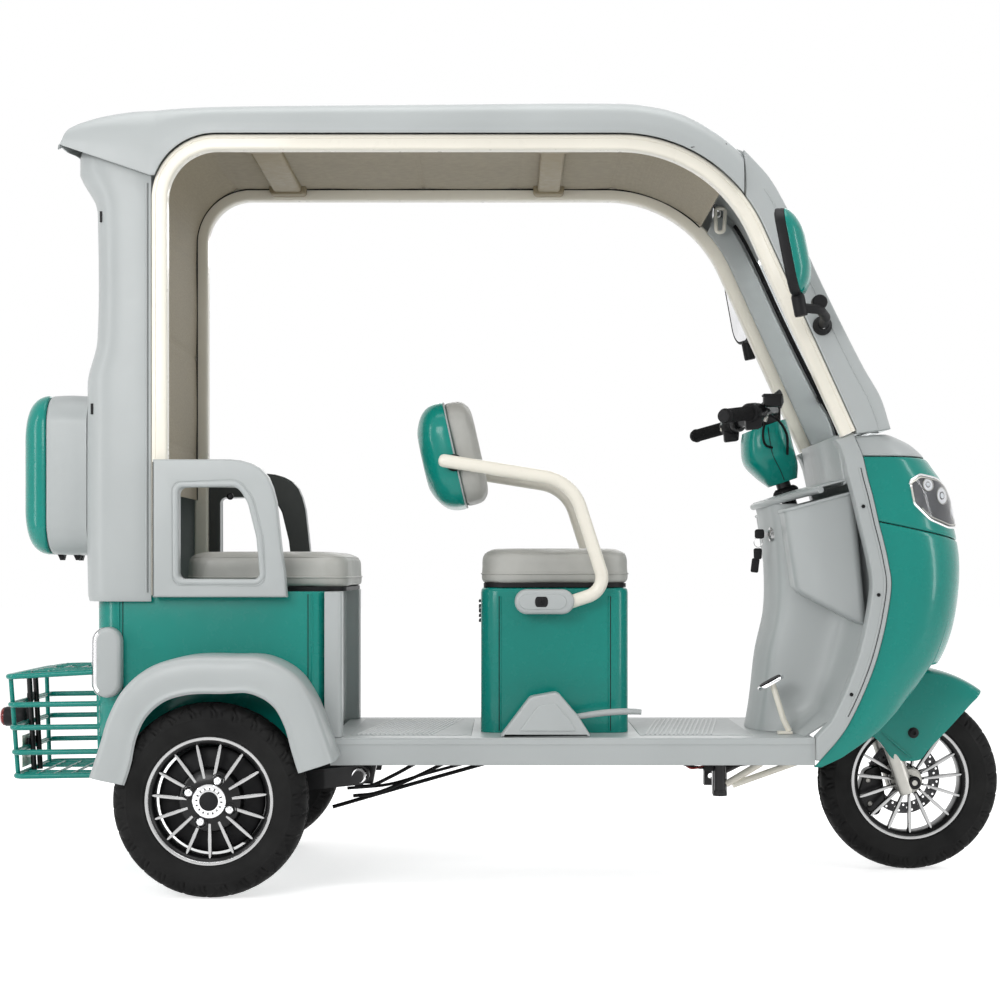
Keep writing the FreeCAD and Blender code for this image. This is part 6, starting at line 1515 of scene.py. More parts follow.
DASH_PLAN = [
    (0.0, 0.604), (0.045, 0.607), (0.085, 0.617), (0.108, 0.629), (0.160, 0.672), (0.200, 0.702),
    (0.215, 0.708), (0.2615, 0.719),
]
DASH_FRONT_X, DASH_SLOPE = 0.842, 0.26
STEM_BOOT_SECTION = [(19, -4), (30, -4), (31, 0), (28, 5), (22, 10), (19, 10)]


def make_dash():
    """Sloping dash over the console, open round the steering stem, with a rubber ring there."""
    rows = []
    for share in spread(0, 1, 26):
        row = []
        for y in spread(-0.2612, 0.2612, 61):
            rear = look_up(DASH_PLAN, abs(y))
            x = rear + (DASH_FRONT_X - rear) * share
            crown = 0.006 * math.sin(math.pi * share) * (1 - (y / 0.262) ** 2)
            hollow = 0.010 * max(
                0.0, 1 - ((abs(y) - 0.185) / 0.05) ** 2
            ) * max(0.0, 1 - ((share - 0.5) / 0.34) ** 2)
            row.append(Vector((x, y, 0.858 + DASH_SLOPE * (x - 0.604) + crown - hollow)))
        rows.append(row)
    shell = thicken(repair(grid("dash_panel", rows, "grey")), 0.0038, 1)
    stem = tube("tool", [on_steering(0.66), on_steering(0.80)], 0.0235, "grey", 32)
    shell = soften(cut(shell, stem), 0.0012, 2, 60)
    lip = []
    for y in spread(-0.2605, 0.2605, 61):
        x = look_up(DASH_PLAN, abs(y))
        lip.append(Vector((x, y, 0.8525 + DASH_SLOPE * (x - 0.604))))
    rolled = tube("dash_lip", lip, 0.0075, "grey", 12, flat=1.0)
    boot = turn("stem_boot", ring_of(mm(STEM_BOOT_SECTION)), on_steering(0.7185), STEER_UP, 36, "rubber")
    finish(join("dash_panel", [shell, rolled, boot]), "chassis", ("dash_panel",), sharp=60)
    make_pockets()
    make_dash_fittings()


POCKET_REAR = (Vector((0.664, 0, 0.664)), Vector((0.638, 0, 0.838)))
POCKET_FRONT = (Vector((0.824, 0, 0.584)), Vector((0.796, 0, 0.882)))
POCKET_MIDDLE_Y, POCKET_HALF_Y = 0.20425, 0.05175
POCKET_OUTSIDE = [(-0.035, 0.030), (-0.030, 0.012), (-0.012, 0.003), (0.02, 0.0), (0.5, 0.0), (0.97, 0.0)]
POCKET_INSIDE = [(0.97, 0.0032), (0.5, 0.0032), (0.03, 0.0035)]


def pocket_loop(share, inset):
    """Rounded outline of the near pocket at a share of its height."""
    rear = POCKET_REAR[0].lerp(POCKET_REAR[1], share)
    front = POCKET_FRONT[0].lerp(POCKET_FRONT[1], share)
    run, middle = (front - rear).normalized(), (front + rear) / 2
    half = (front - rear).length / 2 - inset
    ring = rounded_loop(POCKET_HALF_Y - inset, -half, half, 0.020, 6)
    return [middle + run * along - Y_AXIS * (POCKET_MIDDLE_Y - across) for across, along in ring]


def make_pockets():
    """Open-topped glove pockets with a rolled rim, one each side of the console."""
    loops = [pocket_loop(share, inset) for share, inset in POCKET_OUTSIDE + POCKET_INSIDE]
    pocket = loft("glove_pockets", loops, "grey")
    rim = tube("pocket_rim", pocket_loop(0.985, 0.0005), 0.0040, "grey", 12, True)
    finish(
        pair(join("glove_pockets", [pocket, rim])), "chassis", ("glove_pockets",), sharp=50
    )


LOCK_SPOT = Vector((0.639, -0.085, 0.786))
LOCK_RING_SECTION = [(16.5, -4), (16.5, 6), (14.5, 8), (12, 6), (12, -4)]
LOCK_FACE_PROFILE = [(12, 0), (12, 4), (0.0, 5)]
KEY_BLADE = box_outline(-1 * MM, 1 * MM, -4 * MM, 4 * MM)
KEY_BLADE_X = (0.612, 0.634)
KEY_LOOP_X, KEY_LOOP_WIDE, KEY_LOOP_TALL, KEY_LOOP_DROP = 0.602, 0.010, 0.012, 0.018
KEY_HEADS = [
    ("key_head", (-12, 10, -10, 12), (-12, 10), 6, 3.0, 1.0, 0.606, 0.0),
    ("key_second", (-10, 8, -46, -20), (-11, 9), 5, 2.5, 1.0, 0.602, -0.012),
    ("key_tag", (-9, 9, -85, -52), (-9, 9), 4, 1.0, 0.3, 0.603, -0.004),
]
KEY_TAG_LEAN = 0.12


def make_dash_fittings():
    """Ignition lock with its keys on the console."""
    at = (LOCK_SPOT.x - 4 * MM, LOCK_SPOT.y, LOCK_SPOT.z)
    parts = [
        turn("lock_ring", ring_of(mm(LOCK_RING_SECTION)), at, -X_AXIS, 36, "machined"),
        turn("lock_face", mm(LOCK_FACE_PROFILE), at, -X_AXIS, 32, "black_plastic"),
    ]
    key = plate("key", [KEY_BLADE], *KEY_BLADE_X, 0.3 * MM, "machined", "YZ")
    parts.append(moved(key, Matrix.Translation((0, LOCK_SPOT.y, LOCK_SPOT.z))))
    loop = []
    for x, z in ellipse((KEY_LOOP_X, LOCK_SPOT.z - KEY_LOOP_DROP), KEY_LOOP_WIDE, KEY_LOOP_TALL, 24):
        loop.append(Vector((x, LOCK_SPOT.y, z)))
    parts.append(tube("key_loop", loop, 0.8 * MM, "machined", 8, True))
    for name, (low_x, high_x, low_z, high_z), (top_low, top_high), bend, half, bevel, x, drop in KEY_HEADS:
        corners = [(low_x, low_z), (high_x, low_z), (top_high, high_z), (top_low, high_z)]
        piece = plate(name, [rounded(corners, bend, 5)], -half * MM, half * MM, bevel * MM, "black_plastic")
        place = Matrix.Translation((x, LOCK_SPOT.y, LOCK_SPOT.z + drop))
        if name == "key_tag":
            place = place @ Matrix.Rotation(KEY_TAG_LEAN, 4, "Y")
        parts.append(moved(piece, place))
    finish(join("dash_fittings", parts), "chassis", sharp=40)


def make_front():
    make_nose()
    make_headlamps()
    make_shield_trim()
    make_leg_shield()


# Seats, backrest and their cushions

def rounded_loop(half, low, high, corner, steps=8):
    """Rounded rectangle as (across, up) points, the same number whatever its size."""
    corner = min(corner, half * 0.98, (high - low) / 2 * 0.98)
    points = []
    for cx, cz, start in (
        (half - corner, high - corner, 0), (corner - half, high - corner, 90),
        (corner - half, low + corner, 180), (half - corner, low + corner, 270),
    ):
        for step in range(steps + 1):
            angle = math.radians(start + 90 * step / steps)
            points.append((cx + corner * math.cos(angle), cz + corner * math.sin(angle)))
    return points


def loft(name, loops, look):
    """Closed skin through loops of the same number of points, with flat ends."""
    return repair(grid(name, loops, look, wrap=True, caps=True))


def cut(obj, tool):
    """Take the tool's volume out of a piece."""
    modify(obj, "BOOLEAN", operation="DIFFERENCE", object=tool, solver="EXACT")
    result = bake(obj)
    bpy.data.objects.remove(tool)
    return result


def swell(obj, cap, voxel=0.0078, pressure=4.0):
    """Blow a closed form up with simulated cloth, no point further than the cap, and smooth it."""
    modify(obj, "REMESH", mode="VOXEL", voxel_size=voxel)
    bake(obj)
    rest = [vert.co.copy() for vert in obj.data.vertices]
    cloth = modify(obj, "CLOTH")
    cloth.settings.use_pressure = True
    cloth.settings.uniform_pressure_force = pressure
    cloth.settings.effector_weights.gravity = 0.0
    cloth.point_cache.frame_start = 1
    cloth.point_cache.frame_end = 20
    scene = bpy.context.scene
    for frame_number in range(1, 21):
        scene.frame_set(frame_number)
    graph = bpy.context.evaluated_depsgraph_get()
    blown = obj.evaluated_get(graph).to_mesh()
    moves = [vert.co - start for vert, start in zip(blown.vertices, rest)]
    obj.evaluated_get(graph).to_mesh_clear()
    obj.modifiers.clear()
    scene.frame_set(1)
    for vert, start, move in zip(obj.data.vertices, rest, moves):
        vert.co = start + move * min(1.0, cap / max(move.length, 1e-9))
    return subdivide(obj)


def stations_of(table, steps, scale=1.0, along=1.0):
    """Smooth (place, inset) pairs through a table of them, the insets scaled."""
    spots = [(place * along, inset * scale, 0) for place, inset in table]
    return [(p.x, p.y) for p in smooth_line(spots, steps)]


CUSHION_PROFILE = [
    (0.0, 9.0), (0.03, 4.5), (0.09, 2.6), (0.22, 2.2), (0.27, 2.6), (0.285, 4.8), (0.30, 4.6),
    (0.34, 3.6), (0.50, 4.2), (0.66, 3.8), (0.78, 4.6), (0.87, 7.5), (0.935, 13), (0.968, 22),
    (0.985, 36), (0.992, 56), (0.997, 90), (1.0, 130),
]


def make_cushion(node, body, corner):
    """Seat cushion: crowned top, sides pulled in, a proud band round its foot and piping over the band."""
    low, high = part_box(node)
    centre = (low + high) / 2
    half_x, half_y = (high.x - low.x) / 2, (high.y - low.y) / 2
    loops = []
    for up, inset in stations_of(CUSHION_PROFILE, 2, MM):
        ring = rounded_loop(
            half_y - inset, -half_x + inset, half_x - inset, max(corner - inset * 0.6, 0.012), 10
        )
        z = low.z + (high.z - low.z) * up
        loops.append([Vector((centre.x + along, across, z)) for across, along in ring])
    pad = swell(loft(node + "_soft", loops, "vinyl"), 0.006)
    finish(pad, body, (node,), sharp=80)
    ring = rounded_loop(half_y - 0.0036, -half_x + 0.0036, half_x - 0.0036, corner, 12)
    line = []
    for across, along in ring:
        spot = Vector((centre.x + along, across, low.z + (high.z - low.z) * 0.292))
        found, nearest, normal, _ = pad.closest_point_on_mesh(spot)
        line.append(nearest + normal * 0.0004 if found and (nearest - spot).length < 0.02 else spot)
    finish(tube(node + "_piping", line, 0.0021, "vinyl", 8, True), body)
    seam = []
    for across, along in rounded_loop(half_y - 0.012, -half_x + 0.012, half_x - 0.012, corner - 0.008, 12):
        spot = Vector((centre.x + along, across, low.z + (high.z - low.z) * 0.945))
        found, nearest, normal, _ = pad.closest_point_on_mesh(spot)
        seam.append(nearest + normal * 0.0002 if found else spot)
    finish(tube(node + "_seam", seam, 0.0009, "vinyl", 6, True), body)


BACKREST_SPOT = Vector((-0.098, 0, 0.972))
BACKREST_LEAN = 12.5
BACKREST_HALF, BACKREST_RISE = 0.180, 0.123
BACKREST_SHELL = [
    (-4, 2.5), (-6, 0.8), (-10, 0), (-26, 1.0), (-40, 5), (-52, 12), (-63, 24), (-71, 38), (-76, 50),
    (-79, 62), (-80, 90),
]
BACKREST_PAD = [
    (-3.5, 4.5), (-2, 2.5), (4, 1.8), (18, 2.2), (32, 3.5), (41, 8), (46, 16), (48.5, 28), (50, 46),
    (50.5, 80),
]
ARM_END_PROFILE = [(15, 0), (14.8, 4), (12.5, 9.5), (8, 13), (0.0, 14.5)]
ARM_BUSH_SECTION = [(12.5, 0), (18.5, 0), (19.5, 2), (18.5, 5), (12.5, 5)]
HOUSING_X, HOUSING_Z = 0.104, 0.632


def lean_back(obj):
    turn_back = Matrix.Rotation(math.radians(-BACKREST_LEAN), 4, "Y")
    return moved(obj, Matrix.Translation(BACKREST_SPOT) @ turn_back)


def backrest_loops(stations, corner):
    """Loops of the backrest in its own frame: +X forward, Z up it."""
    loops = []
    for ahead, inset in stations_of(stations, 3, MM, MM):
        ring = rounded_loop(
            BACKREST_HALF - inset, inset - BACKREST_RISE, BACKREST_RISE - inset, corner - inset * 0.35, 9
        )
        loops.append([Vector((ahead, across, up)) for across, up in ring])
    return loops


def make_backrest():
    shell = loft("backrest_shell", backrest_loops(BACKREST_SHELL, 0.074), "teal")
    lean_back(shell)
    finish(shell, "chassis", ("backrest_shell",), sharp=32)
    pad = swell(loft("backrest_pad", backrest_loops(BACKREST_PAD, 0.072), "vinyl"), 0.006)
    lean_back(pad)
    finish(pad, "chassis", ("backrest_pad",), sharp=80)
    piping = []
    for across, up in rounded_loop(0.1772, -0.1202, 0.1202, 0.072, 10):
        piping.append(Vector((-0.0035, across, up)))
    edge = tube("backrest_edge", piping, 0.0022, "grey_soft", 8, True)
    finish(lean_back(edge), "chassis")


def arm_line():
    """Middle line of the near backrest tube."""
    spots = [(-0.121, 0.950), (0.1663, 0.9043), (0.2452, 0.6584), (0.160, 0.630)]
    return round_line([(x, -0.205, z) for x, z in spots], [0.100, 0.045], 14)


def housing_outline(shift, wide, tall):
    """Outline of the housing at the arm's foot, moved and made narrower or lower."""
    outline = rounded_loop(0.067, -0.028, 0.028, 0.0275, 12)
    return [(HOUSING_X + shift + a * wide, HOUSING_Z + b * tall) for a, b in outline]


def make_arms():
    line = arm_line()
    arm = tube("backrest_arms", line, 0.0150, "cream", 28)
    back = (line[0] - line[1]).normalized()
    cap = turn("arm_end", mm(ARM_END_PROFILE), (0, 0, 0), Z_AXIS, 28, "cream")
    moved(cap, stretch_to(line[0], line[0] + back))
    at = line[0] - back * 0.021
    boss = tube("arm_boss", [at, Vector((at.x, -0.181, at.z))], 0.0118, "cream", 24)
    bush = turn("arm_bush", ring_of(mm(ARM_BUSH_SECTION)), (at.x, -0.1835, at.z), -Y_AXIS, 32, "rubber")
    finish(
        pair(join("backrest_arms", [arm, cap, boss, bush])), "chassis", ("backrest_arms",),
        sharp=45
    )
    housing = plate(
        "arm_housings", [housing_outline(0.0, 1.0, 1.0)], -0.2323, -0.1703, 0.010, "grey", segments=6
    )
    raised = plate(
        "housing_face", [housing_outline(-0.004, 0.80, 0.62)], -0.2345, -0.226, 0.002, "grey", segments=4
    )
    dimple = plate(
        "housing_dimple", [housing_outline(-0.007, 0.22, 0.42)], -0.2352, -0.230, 0.0008, "black_plastic"
    )
    screw = bolt_mesh(
        "housing_bolt", (HOUSING_X - 0.007, -0.2348, HOUSING_Z), -Y_AXIS, 0.0062, "black_plastic"
    )
    housing = cut(housing, tube("tool", line, 0.0153, "cream", 24))
    finish(
        pair(join("arm_housings", [housing, raised, dimple, screw])), "chassis",
        ("arm_housings",), sharp=40
    )


LOUVRES, LOUVRE_FOOT_Z, LOUVRE_STEP = 5, 0.585, 0.0115
SEAT_LOCK_PROFILE = [(12.5, -2), (12.5, 6), (10.5, 8), (4, 8), (4, 6), (0.0, 6)]


def make_pedestal():
    """Painted seat pedestal with soft vertical corners, edge grooves, a lock and louvres behind."""
    low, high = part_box("driver_pedestal")
    half_x, half_y = (high.x - low.x) / 2, (high.y - low.y) / 2
    centre = (low + high) / 2
    loops = []
    for z, inset in (
        (low.z, 0.0), (low.z + 0.002, -0.0002), (high.z - 0.012, 0.0), (high.z - 0.005, 0.0012),
        (high.z - 0.0015, 0.004), (high.z - 0.0004, 0.009),
    ):
        ring = rounded_loop(half_y - inset, -half_x + inset, half_x - inset, 0.040, 10)
        loops.append([Vector((centre.x + a, y, z)) for y, a in ring])
    parts = [loft("driver_pedestal", loops, "teal")]
    for x in (low.x + 0.042, high.x - 0.042):
        groove = [Vector((x, -half_y - 0.0001, z)) for z in spread(low.z + 0.004, high.z - 0.02, 6)]
        parts.append(pair(tube("pedestal_groove", groove, 0.0011, "black_plastic", 8)))
        bead = [p + X_AXIS * (0.0028 if x < centre.x else -0.0028) for p in groove]
        parts.append(pair(tube("pedestal_bead", bead, 0.0022, "teal", 8)))
    slat_outline = box_outline(-0.055, 0.055, -0.003, 0.003)
    for i in range(LOUVRES):
        slat = plate("louvre", [slat_outline], low.x - 0.006, low.x + 0.002, 0.0012, "black_plastic", "YZ")
        parts.append(moved(slat, Matrix.Translation((0, 0, LOUVRE_FOOT_Z + i * LOUVRE_STEP))))
    parts.append(turn("lock", mm(SEAT_LOCK_PROFILE), (low.x, 0.115, 0.61), -X_AXIS, 32, "chrome"))
    finish(join("driver_pedestal", parts), "chassis", ("driver_pedestal",), sharp=40)


def make_seats():
    make_pedestal()
    make_cushion("driver_cushion", "driver_seat", 0.060)
    make_cushion("rear_cushion", "rear_seat", 0.060)
    make_backrest()
    make_arms()


# Rear body: seat box, trim, fenders, armrests, trunk, basket, lamps, floor

def make_seat_box():
    """Painted box under the rear seat, with soft corners and grooves down its sides."""
    low, high = Vector((-0.895, -0.300, 0.3332)), Vector((-0.384, 0.300, 0.656))
    plan = []
    for cx, cy, r, start in (
        (high.x - 0.030, high.y - 0.030, 0.030, 0), (low.x + 0.070, high.y - 0.070, 0.070, 90),
        (low.x + 0.070, low.y + 0.070, 0.070, 180), (high.x - 0.030, low.y + 0.030, 0.030, 270),
    ):
        for step in range(11):
            angle = math.radians(start + 9 * step)
            plan.append((cx + r * math.cos(angle), cy + r * math.sin(angle)))
    parts = [plate("rear_seat_box", [plan], low.z, high.z, 0.0025, "teal", "XY")]
    for x in (-0.838, -0.829, -0.420, -0.411):
        line = [Vector((x, -0.3002, z)) for z in spread(low.z + 0.05, high.z - 0.006, 6)]
        look, wide = ("black_plastic", 0.0009) if x in (-0.829, -0.420) else ("teal", 0.0022)
        parts.append(pair(tube("box_groove", line, wide, look, 8)))
    box = join("rear_seat_box", parts)
    finish(box, "chassis", ("rear_seat_box",), sharp=40)


def make_front_trim():
    """Grey riser panel on the box's front, with a rounded column at each side."""
    x0, x1 = -0.3837, -0.346
    half, column = 0.300, 0.055
    plan = round_line([
        (x0, -half, 0), (x1, -half, 0), (x1, -(half - column), 0), (x0 + 0.005, -(half - column * 1.3), 0),
        (x0 + 0.005, half - column * 1.3, 0), (x1, half - column, 0), (x1, half, 0), (x0, half, 0),
    ], [0.010, 0.010, 0.008, 0.008, 0.010, 0.010], 6)
    trim = plate("seat_front_trim", [[(p.x, p.y) for p in plan]], 0.3335, 0.6555, 0.0018, "grey", "XY")
    finish(trim, "chassis", ("seat_front_trim",), sharp=40)


FENDER_SHARES = [
    (0.000, 0.000), (0.042, 0.262), (0.080, 0.508), (0.144, 0.735), (0.247, 0.904), (0.387, 0.988),
    (0.573, 0.996), (0.712, 0.980), (0.833, 0.850), (0.907, 0.638), (0.954, 0.396), (1.0, 0.131),
]
FENDER_FACE = [
    (0.0, 0.50), (0.0, 0.74), (0.010, 0.85), (0.06, 0.925), (0.16, 0.965), (0.35, 0.992), (0.62, 0.998),
    (0.85, 0.990), (0.955, 1.000), (0.990, 0.993), (1.0, 0.970), (0.995, 0.945),
]
FENDER_CENTRE = Vector((-0.617, 0, 0.210))
FENDER_REAR_X, FENDER_LENGTH, FENDER_FOOT_Z, FENDER_RISE = -0.875, 0.527, 0.261, 0.260
FENDER_IN_Y, FENDER_WIDTH, FENDER_DEPTH = 0.3003, 0.1617, 0.078


def make_fenders():
    """Arched guards with a broad rounded face and a rolled inner lip."""
    spots = [
        (FENDER_REAR_X + along * FENDER_LENGTH, 0, FENDER_FOOT_Z + up * FENDER_RISE) for along,
        up in FENDER_SHARES
    ]
    face = [Vector((0, 0, 0))] + smooth_line([(deep, wide, 0) for deep, wide in FENDER_FACE], 3)
    rows = []
    for rim in smooth_line(spots, 9):
        inward = (FENDER_CENTRE - rim).normalized()
        row = []
        for p in face:
            row.append(rim + inward * (FENDER_DEPTH * p.x) - Y_AXIS * (FENDER_IN_Y + FENDER_WIDTH * p.y))
        rows.append(row)
    skin = thicken(repair(grid("rear_fenders", rows, "grey")), 0.0045, -1)
    skin = soften(skin, 0.0014, 2, 60)
    bead = tube("fender_bead", [row[-3] for row in rows], 0.0030, "grey", 10)
    finish(pair(join("rear_fenders", [skin, bead])), "chassis", ("rear_fenders",), sharp=50)


ARMREST_SHARES = [
    (0.0, 0.0), (1.0, 0.0), (0.985, 0.18), (0.96, 0.35), (0.94, 0.53), (0.92, 0.70), (0.893, 0.80),
    (0.86, 0.875), (0.805, 0.935), (0.74, 0.97), (0.66, 0.992), (0.58, 1.0), (0.0, 1.0),
]
WINDOW_BENDS = [0.016, 0.018, 0.05, 0.05, 0.03, 0.016]
WINDOW_SHARES = [(0.19, 0.13), (0.815, 0.13), (0.775, 0.44), (0.715, 0.68), (0.64, 0.80), (0.19, 0.80)]


def make_armrests():
    """Moulded seat sides with a raised rounded lip round the window; their inner faces carry painted shade, a
    near-black grey.
    """
    x0, z0, wide, tall = -0.756, 0.644, 0.293, 0.302
    outer = [(x0 + a * wide, z0 + u * tall) for a, u in ARMREST_SHARES]
    corners = [(x0 + a * wide, 0, z0 + u * tall) for a, u in WINDOW_SHARES]
    window = round_line(corners, WINDOW_BENDS, 7, True)
    hole = side_on(window)
    slab = plate("armrests", [outer, hole], -0.3448, -0.3003, 0.006, "grey", segments=5)
    middle = middle_point(window)
    ring = [p + (p - middle).normalized() * 0.0075 for p in window]
    lip = tube("window_lip", [Vector((p.x, -0.3405, p.z)) for p in ring], 0.0072, "grey", 12, True)
    ring = [p + (p - middle).normalized() * 0.0165 for p in window]
    groove = tube("window_groove", [Vector((p.x, -0.3449, p.z)) for p in ring], 0.0011, "grey_soft", 6, True)
    seam = [(x0 + 0.001, -0.3440, z) for z in spread(z0 + 0.004, z0 + tall - 0.006, 8)]
    joint = tube("armrest_joint", seam, 0.0011, "black_plastic", 6)
    inner = bolt_mesh("armrest_bolt", (-0.592, -0.2996, 0.866), Y_AXIS, 0.0075, "black_plastic")
    # Faces looking inward take painted shade: a near-black grey in place of the moulding's own grey
    slab.data.materials.append(LOOKS["painted_shade"])
    for face in slab.data.polygons:
        if face.normal.y > 0.5:
            face.material_index = 1
    slab = cut(
        slab,
        plate("notch", [[(-0.80, 0.60), (-0.7285, 0.60), (-0.7285, 1.0), (-0.80, 1.0)]], -0.3203, -0.29, 0.0)
    )
    finish(
        pair(join("armrests", [slab, lip, groove, joint, inner])), "chassis", ("armrests",),
        sharp=45
    )


TRUNK_HALF, TRUNK_LOW, TRUNK_HIGH, TRUNK_CORNER = 0.205, 0.739, 1.102, 0.0718
TRUNK_X = -0.9296
LID_X = TRUNK_X - 0.0928

# Trunk tray and lid, as (way back, inset) in mm

TRAY_OUTSIDE = [(0, 0), (12, 0.2), (46, -1.2), (80, 0.2), (88, 1.2), (91.8, 4)]
TRAY_INSIDE = [(91.6, 5.5), (85, 6), (40, 6), (6, 6)]
LID_OUTSIDE = [
    (0, 3.5), (1.5, 0.8), (5, 0), (18, 2.2), (32, 9), (44, 20), (53, 36), (58.5, 58), (61.2, 85), (62, 120),
]
LID_INSIDE = [(0, 8), (4, 9), (30, 18), (48, 45), (56, 120)]
TRUNK_HINGE = [(-1.0221, -0.075, 1.1015), (-1.0221, 0.075, 1.1015)]
TRUNK_FEET_X = (-0.972, -1.008)
TRUNK_FOOT = [(-9, 0), (9, 0), (5, -15), (-2, -15)]


def trunk_loops(stations, inset=0.0):
    loops = []
    for x, shrink in stations:
        corner = max(TRUNK_CORNER - shrink * 0.3 - inset, 0.01)
        less = shrink + inset
        ring = rounded_loop(TRUNK_HALF - less, TRUNK_LOW + less, TRUNK_HIGH - less, corner, 12)
        loops.append([Vector((x, y, z)) for y, z in ring])
    return loops


def make_trunk():
    """Convex tray ring on the column and a domed painted lid."""
    tray = stations_of([(TRUNK_X - deep, inset) for deep, inset in mm(TRAY_OUTSIDE)], 5)
    inner = [(TRUNK_X - deep, inset) for deep, inset in mm(TRAY_INSIDE)]
    shell = loft("trunk_tray", trunk_loops(tray + inner), "grey")
    feet = []
    for x in TRUNK_FEET_X:
        foot = plate("trunk_foot", [mm(TRUNK_FOOT)], -0.012, 0.012, 0.0015, "black_plastic")
        feet.append(moved(foot, Matrix.Translation((x, -0.10, TRUNK_LOW + 0.002))))
    feet = pair(join("trunk_feet", feet))
    finish(join("trunk_tray", [shell, feet]), "chassis", ("trunk_tray",), sharp=40)
    outer = stations_of([(LID_X - deep, inset) for deep, inset in mm(LID_OUTSIDE)], 4)
    back = [(LID_X - deep, inset) for deep, inset in mm(LID_INSIDE)]
    shell = grid("trunk_lid", trunk_loops(back[::-1] + outer), "teal", wrap=True, caps=True)
    hinge = tube("trunk_hinge", TRUNK_HINGE, 0.0032, "black_plastic", 14)
    finish(join("trunk_lid", [repair(shell), hinge]), "trunk_door", ("trunk_lid",), sharp=40)


CENTRE_LAMP_PROFILE = [(0.0, 0.0), (17, 0.0), (21.5, 4), (23, 12), (23, 50), (21.5, 53), (20, 53)]
CENTRE_LENS_PROFILE = [(21.2, 52), (21.6, 56), (18, 60.5), (10, 62.2), (0.0, 62.7)]
LAMP_BACK_X = -1.1113
LAMP_BRACKET = box_outline(-6, 2, 330, 392)
PLATE_OUTLINE = box_outline(-62, 62, 243, 318)
POD_LENS_SECTION = [(-0.329, 0.0), (-0.323, 0.7), (-0.312, 1.0), (-0.300, 0.7), (-0.293, 0.0)]


def make_tail_lamps():
    """Capsule pods with a bright rear face, and a round red lamp on a bracket behind the basket."""
    x, r = -0.859, 0.031
    low, high = 0.423 + r, 0.578 - r
    outline = []
    for cz, start in ((high, 0), (low, 180)):
        for step in range(13):
            angle = math.radians(start + 15 * step)
            outline.append((x + r * math.cos(angle), cz + r * math.sin(angle)))
    pod = plate("tail_lamps", [outline], -0.3349, -0.262, 0.010, "grey", segments=6)
    low_box, high_box = Vector((-0.8948, -0.2998, 0.30)), Vector((-0.384, 0.0, 0.70))
    plan = [
        (low_box.x + 0.0705 + 0.0705 * math.cos(a), -0.2998 + 0.0705 + 0.0705 * math.sin(a))
        for a in spread(math.pi, 1.5 * math.pi, 12)
    ]
    tool = plate(
        "tool", [plan + [(high_box.x, low_box.y), (high_box.x, 0.0), (low_box.x, 0.0)]], 0.38, 0.62, 0.0,
        "grey", "XY"
    )
    pod = cut(pod, tool)
    pod.data.materials.append(LOOKS["chrome"])
    for face in pod.data.polygons:
        if face.center.x < x - 0.017:
            face.material_index = 1
    upward = sorted((pz, px) for px, pz in outline if px <= x - 0.004)
    lens_rows = []
    for pz, px in upward:
        lens_rows.append([Vector((px - 0.0006 - 0.0035 * bow, y, pz)) for y, bow in POD_LENS_SECTION])
    lens = repair(grid("pod_lens", lens_rows, "chrome"))
    finish(pair(join("tail_pods", [pod, lens])), "chassis", ("tail_lamps",), sharp=35)
    spot = (LAMP_BACK_X, 0, 0.358)
    body = turn("lamp_body", mm(CENTRE_LAMP_PROFILE), spot, -X_AXIS, 40, "black_plastic")
    lens = turn("lamp_glass", mm(CENTRE_LENS_PROFILE), spot, -X_AXIS, 40, "red_lens")
    bracket = plate("lamp_bracket", [mm(LAMP_BRACKET)], -0.014, 0.014, 0.001, "black_plastic")
    moved(bracket, Matrix.Translation((LAMP_BACK_X + 0.004, 0, 0)))
    sheet = plate("number_plate", [mm(PLATE_OUTLINE)], -1.1105, -1.1085, 0.0006, "cream", "YZ")
    finish(join("centre_lamp", [body, lens, bracket, sheet]), "chassis", sharp=40)


RAIL_SHARES = [0.0, 0.24, 0.49, 0.72, 1.0]
UPRIGHT_SHARES = (-0.86, 0.86)
LONG_ROD_SHARES = (-0.9, -0.62, -0.34, 0.34, 0.62, 0.9)
CROSS_ROD_SHARES = (0.2, 0.4, 0.6, 0.8)
BASKET_REAR, BASKET_FRONT, BASKET_HALF = -1.111, -0.9018, 0.204
BASKET_LOW, BASKET_HIGH, BASKET_BEND, RAIL_RADIUS = 0.235, 0.462, 0.024, 0.0062
POST_RADIUS = 0.0065
LAMP_POST_Y, LAMP_CROSS_HEIGHTS = 0.030, (0.300, 0.405)


def rod(name, start, end, radius, look="teal", steps=8):
    """Straight round rod between two spots."""
    return tube(name, [start, end], radius, look, steps)


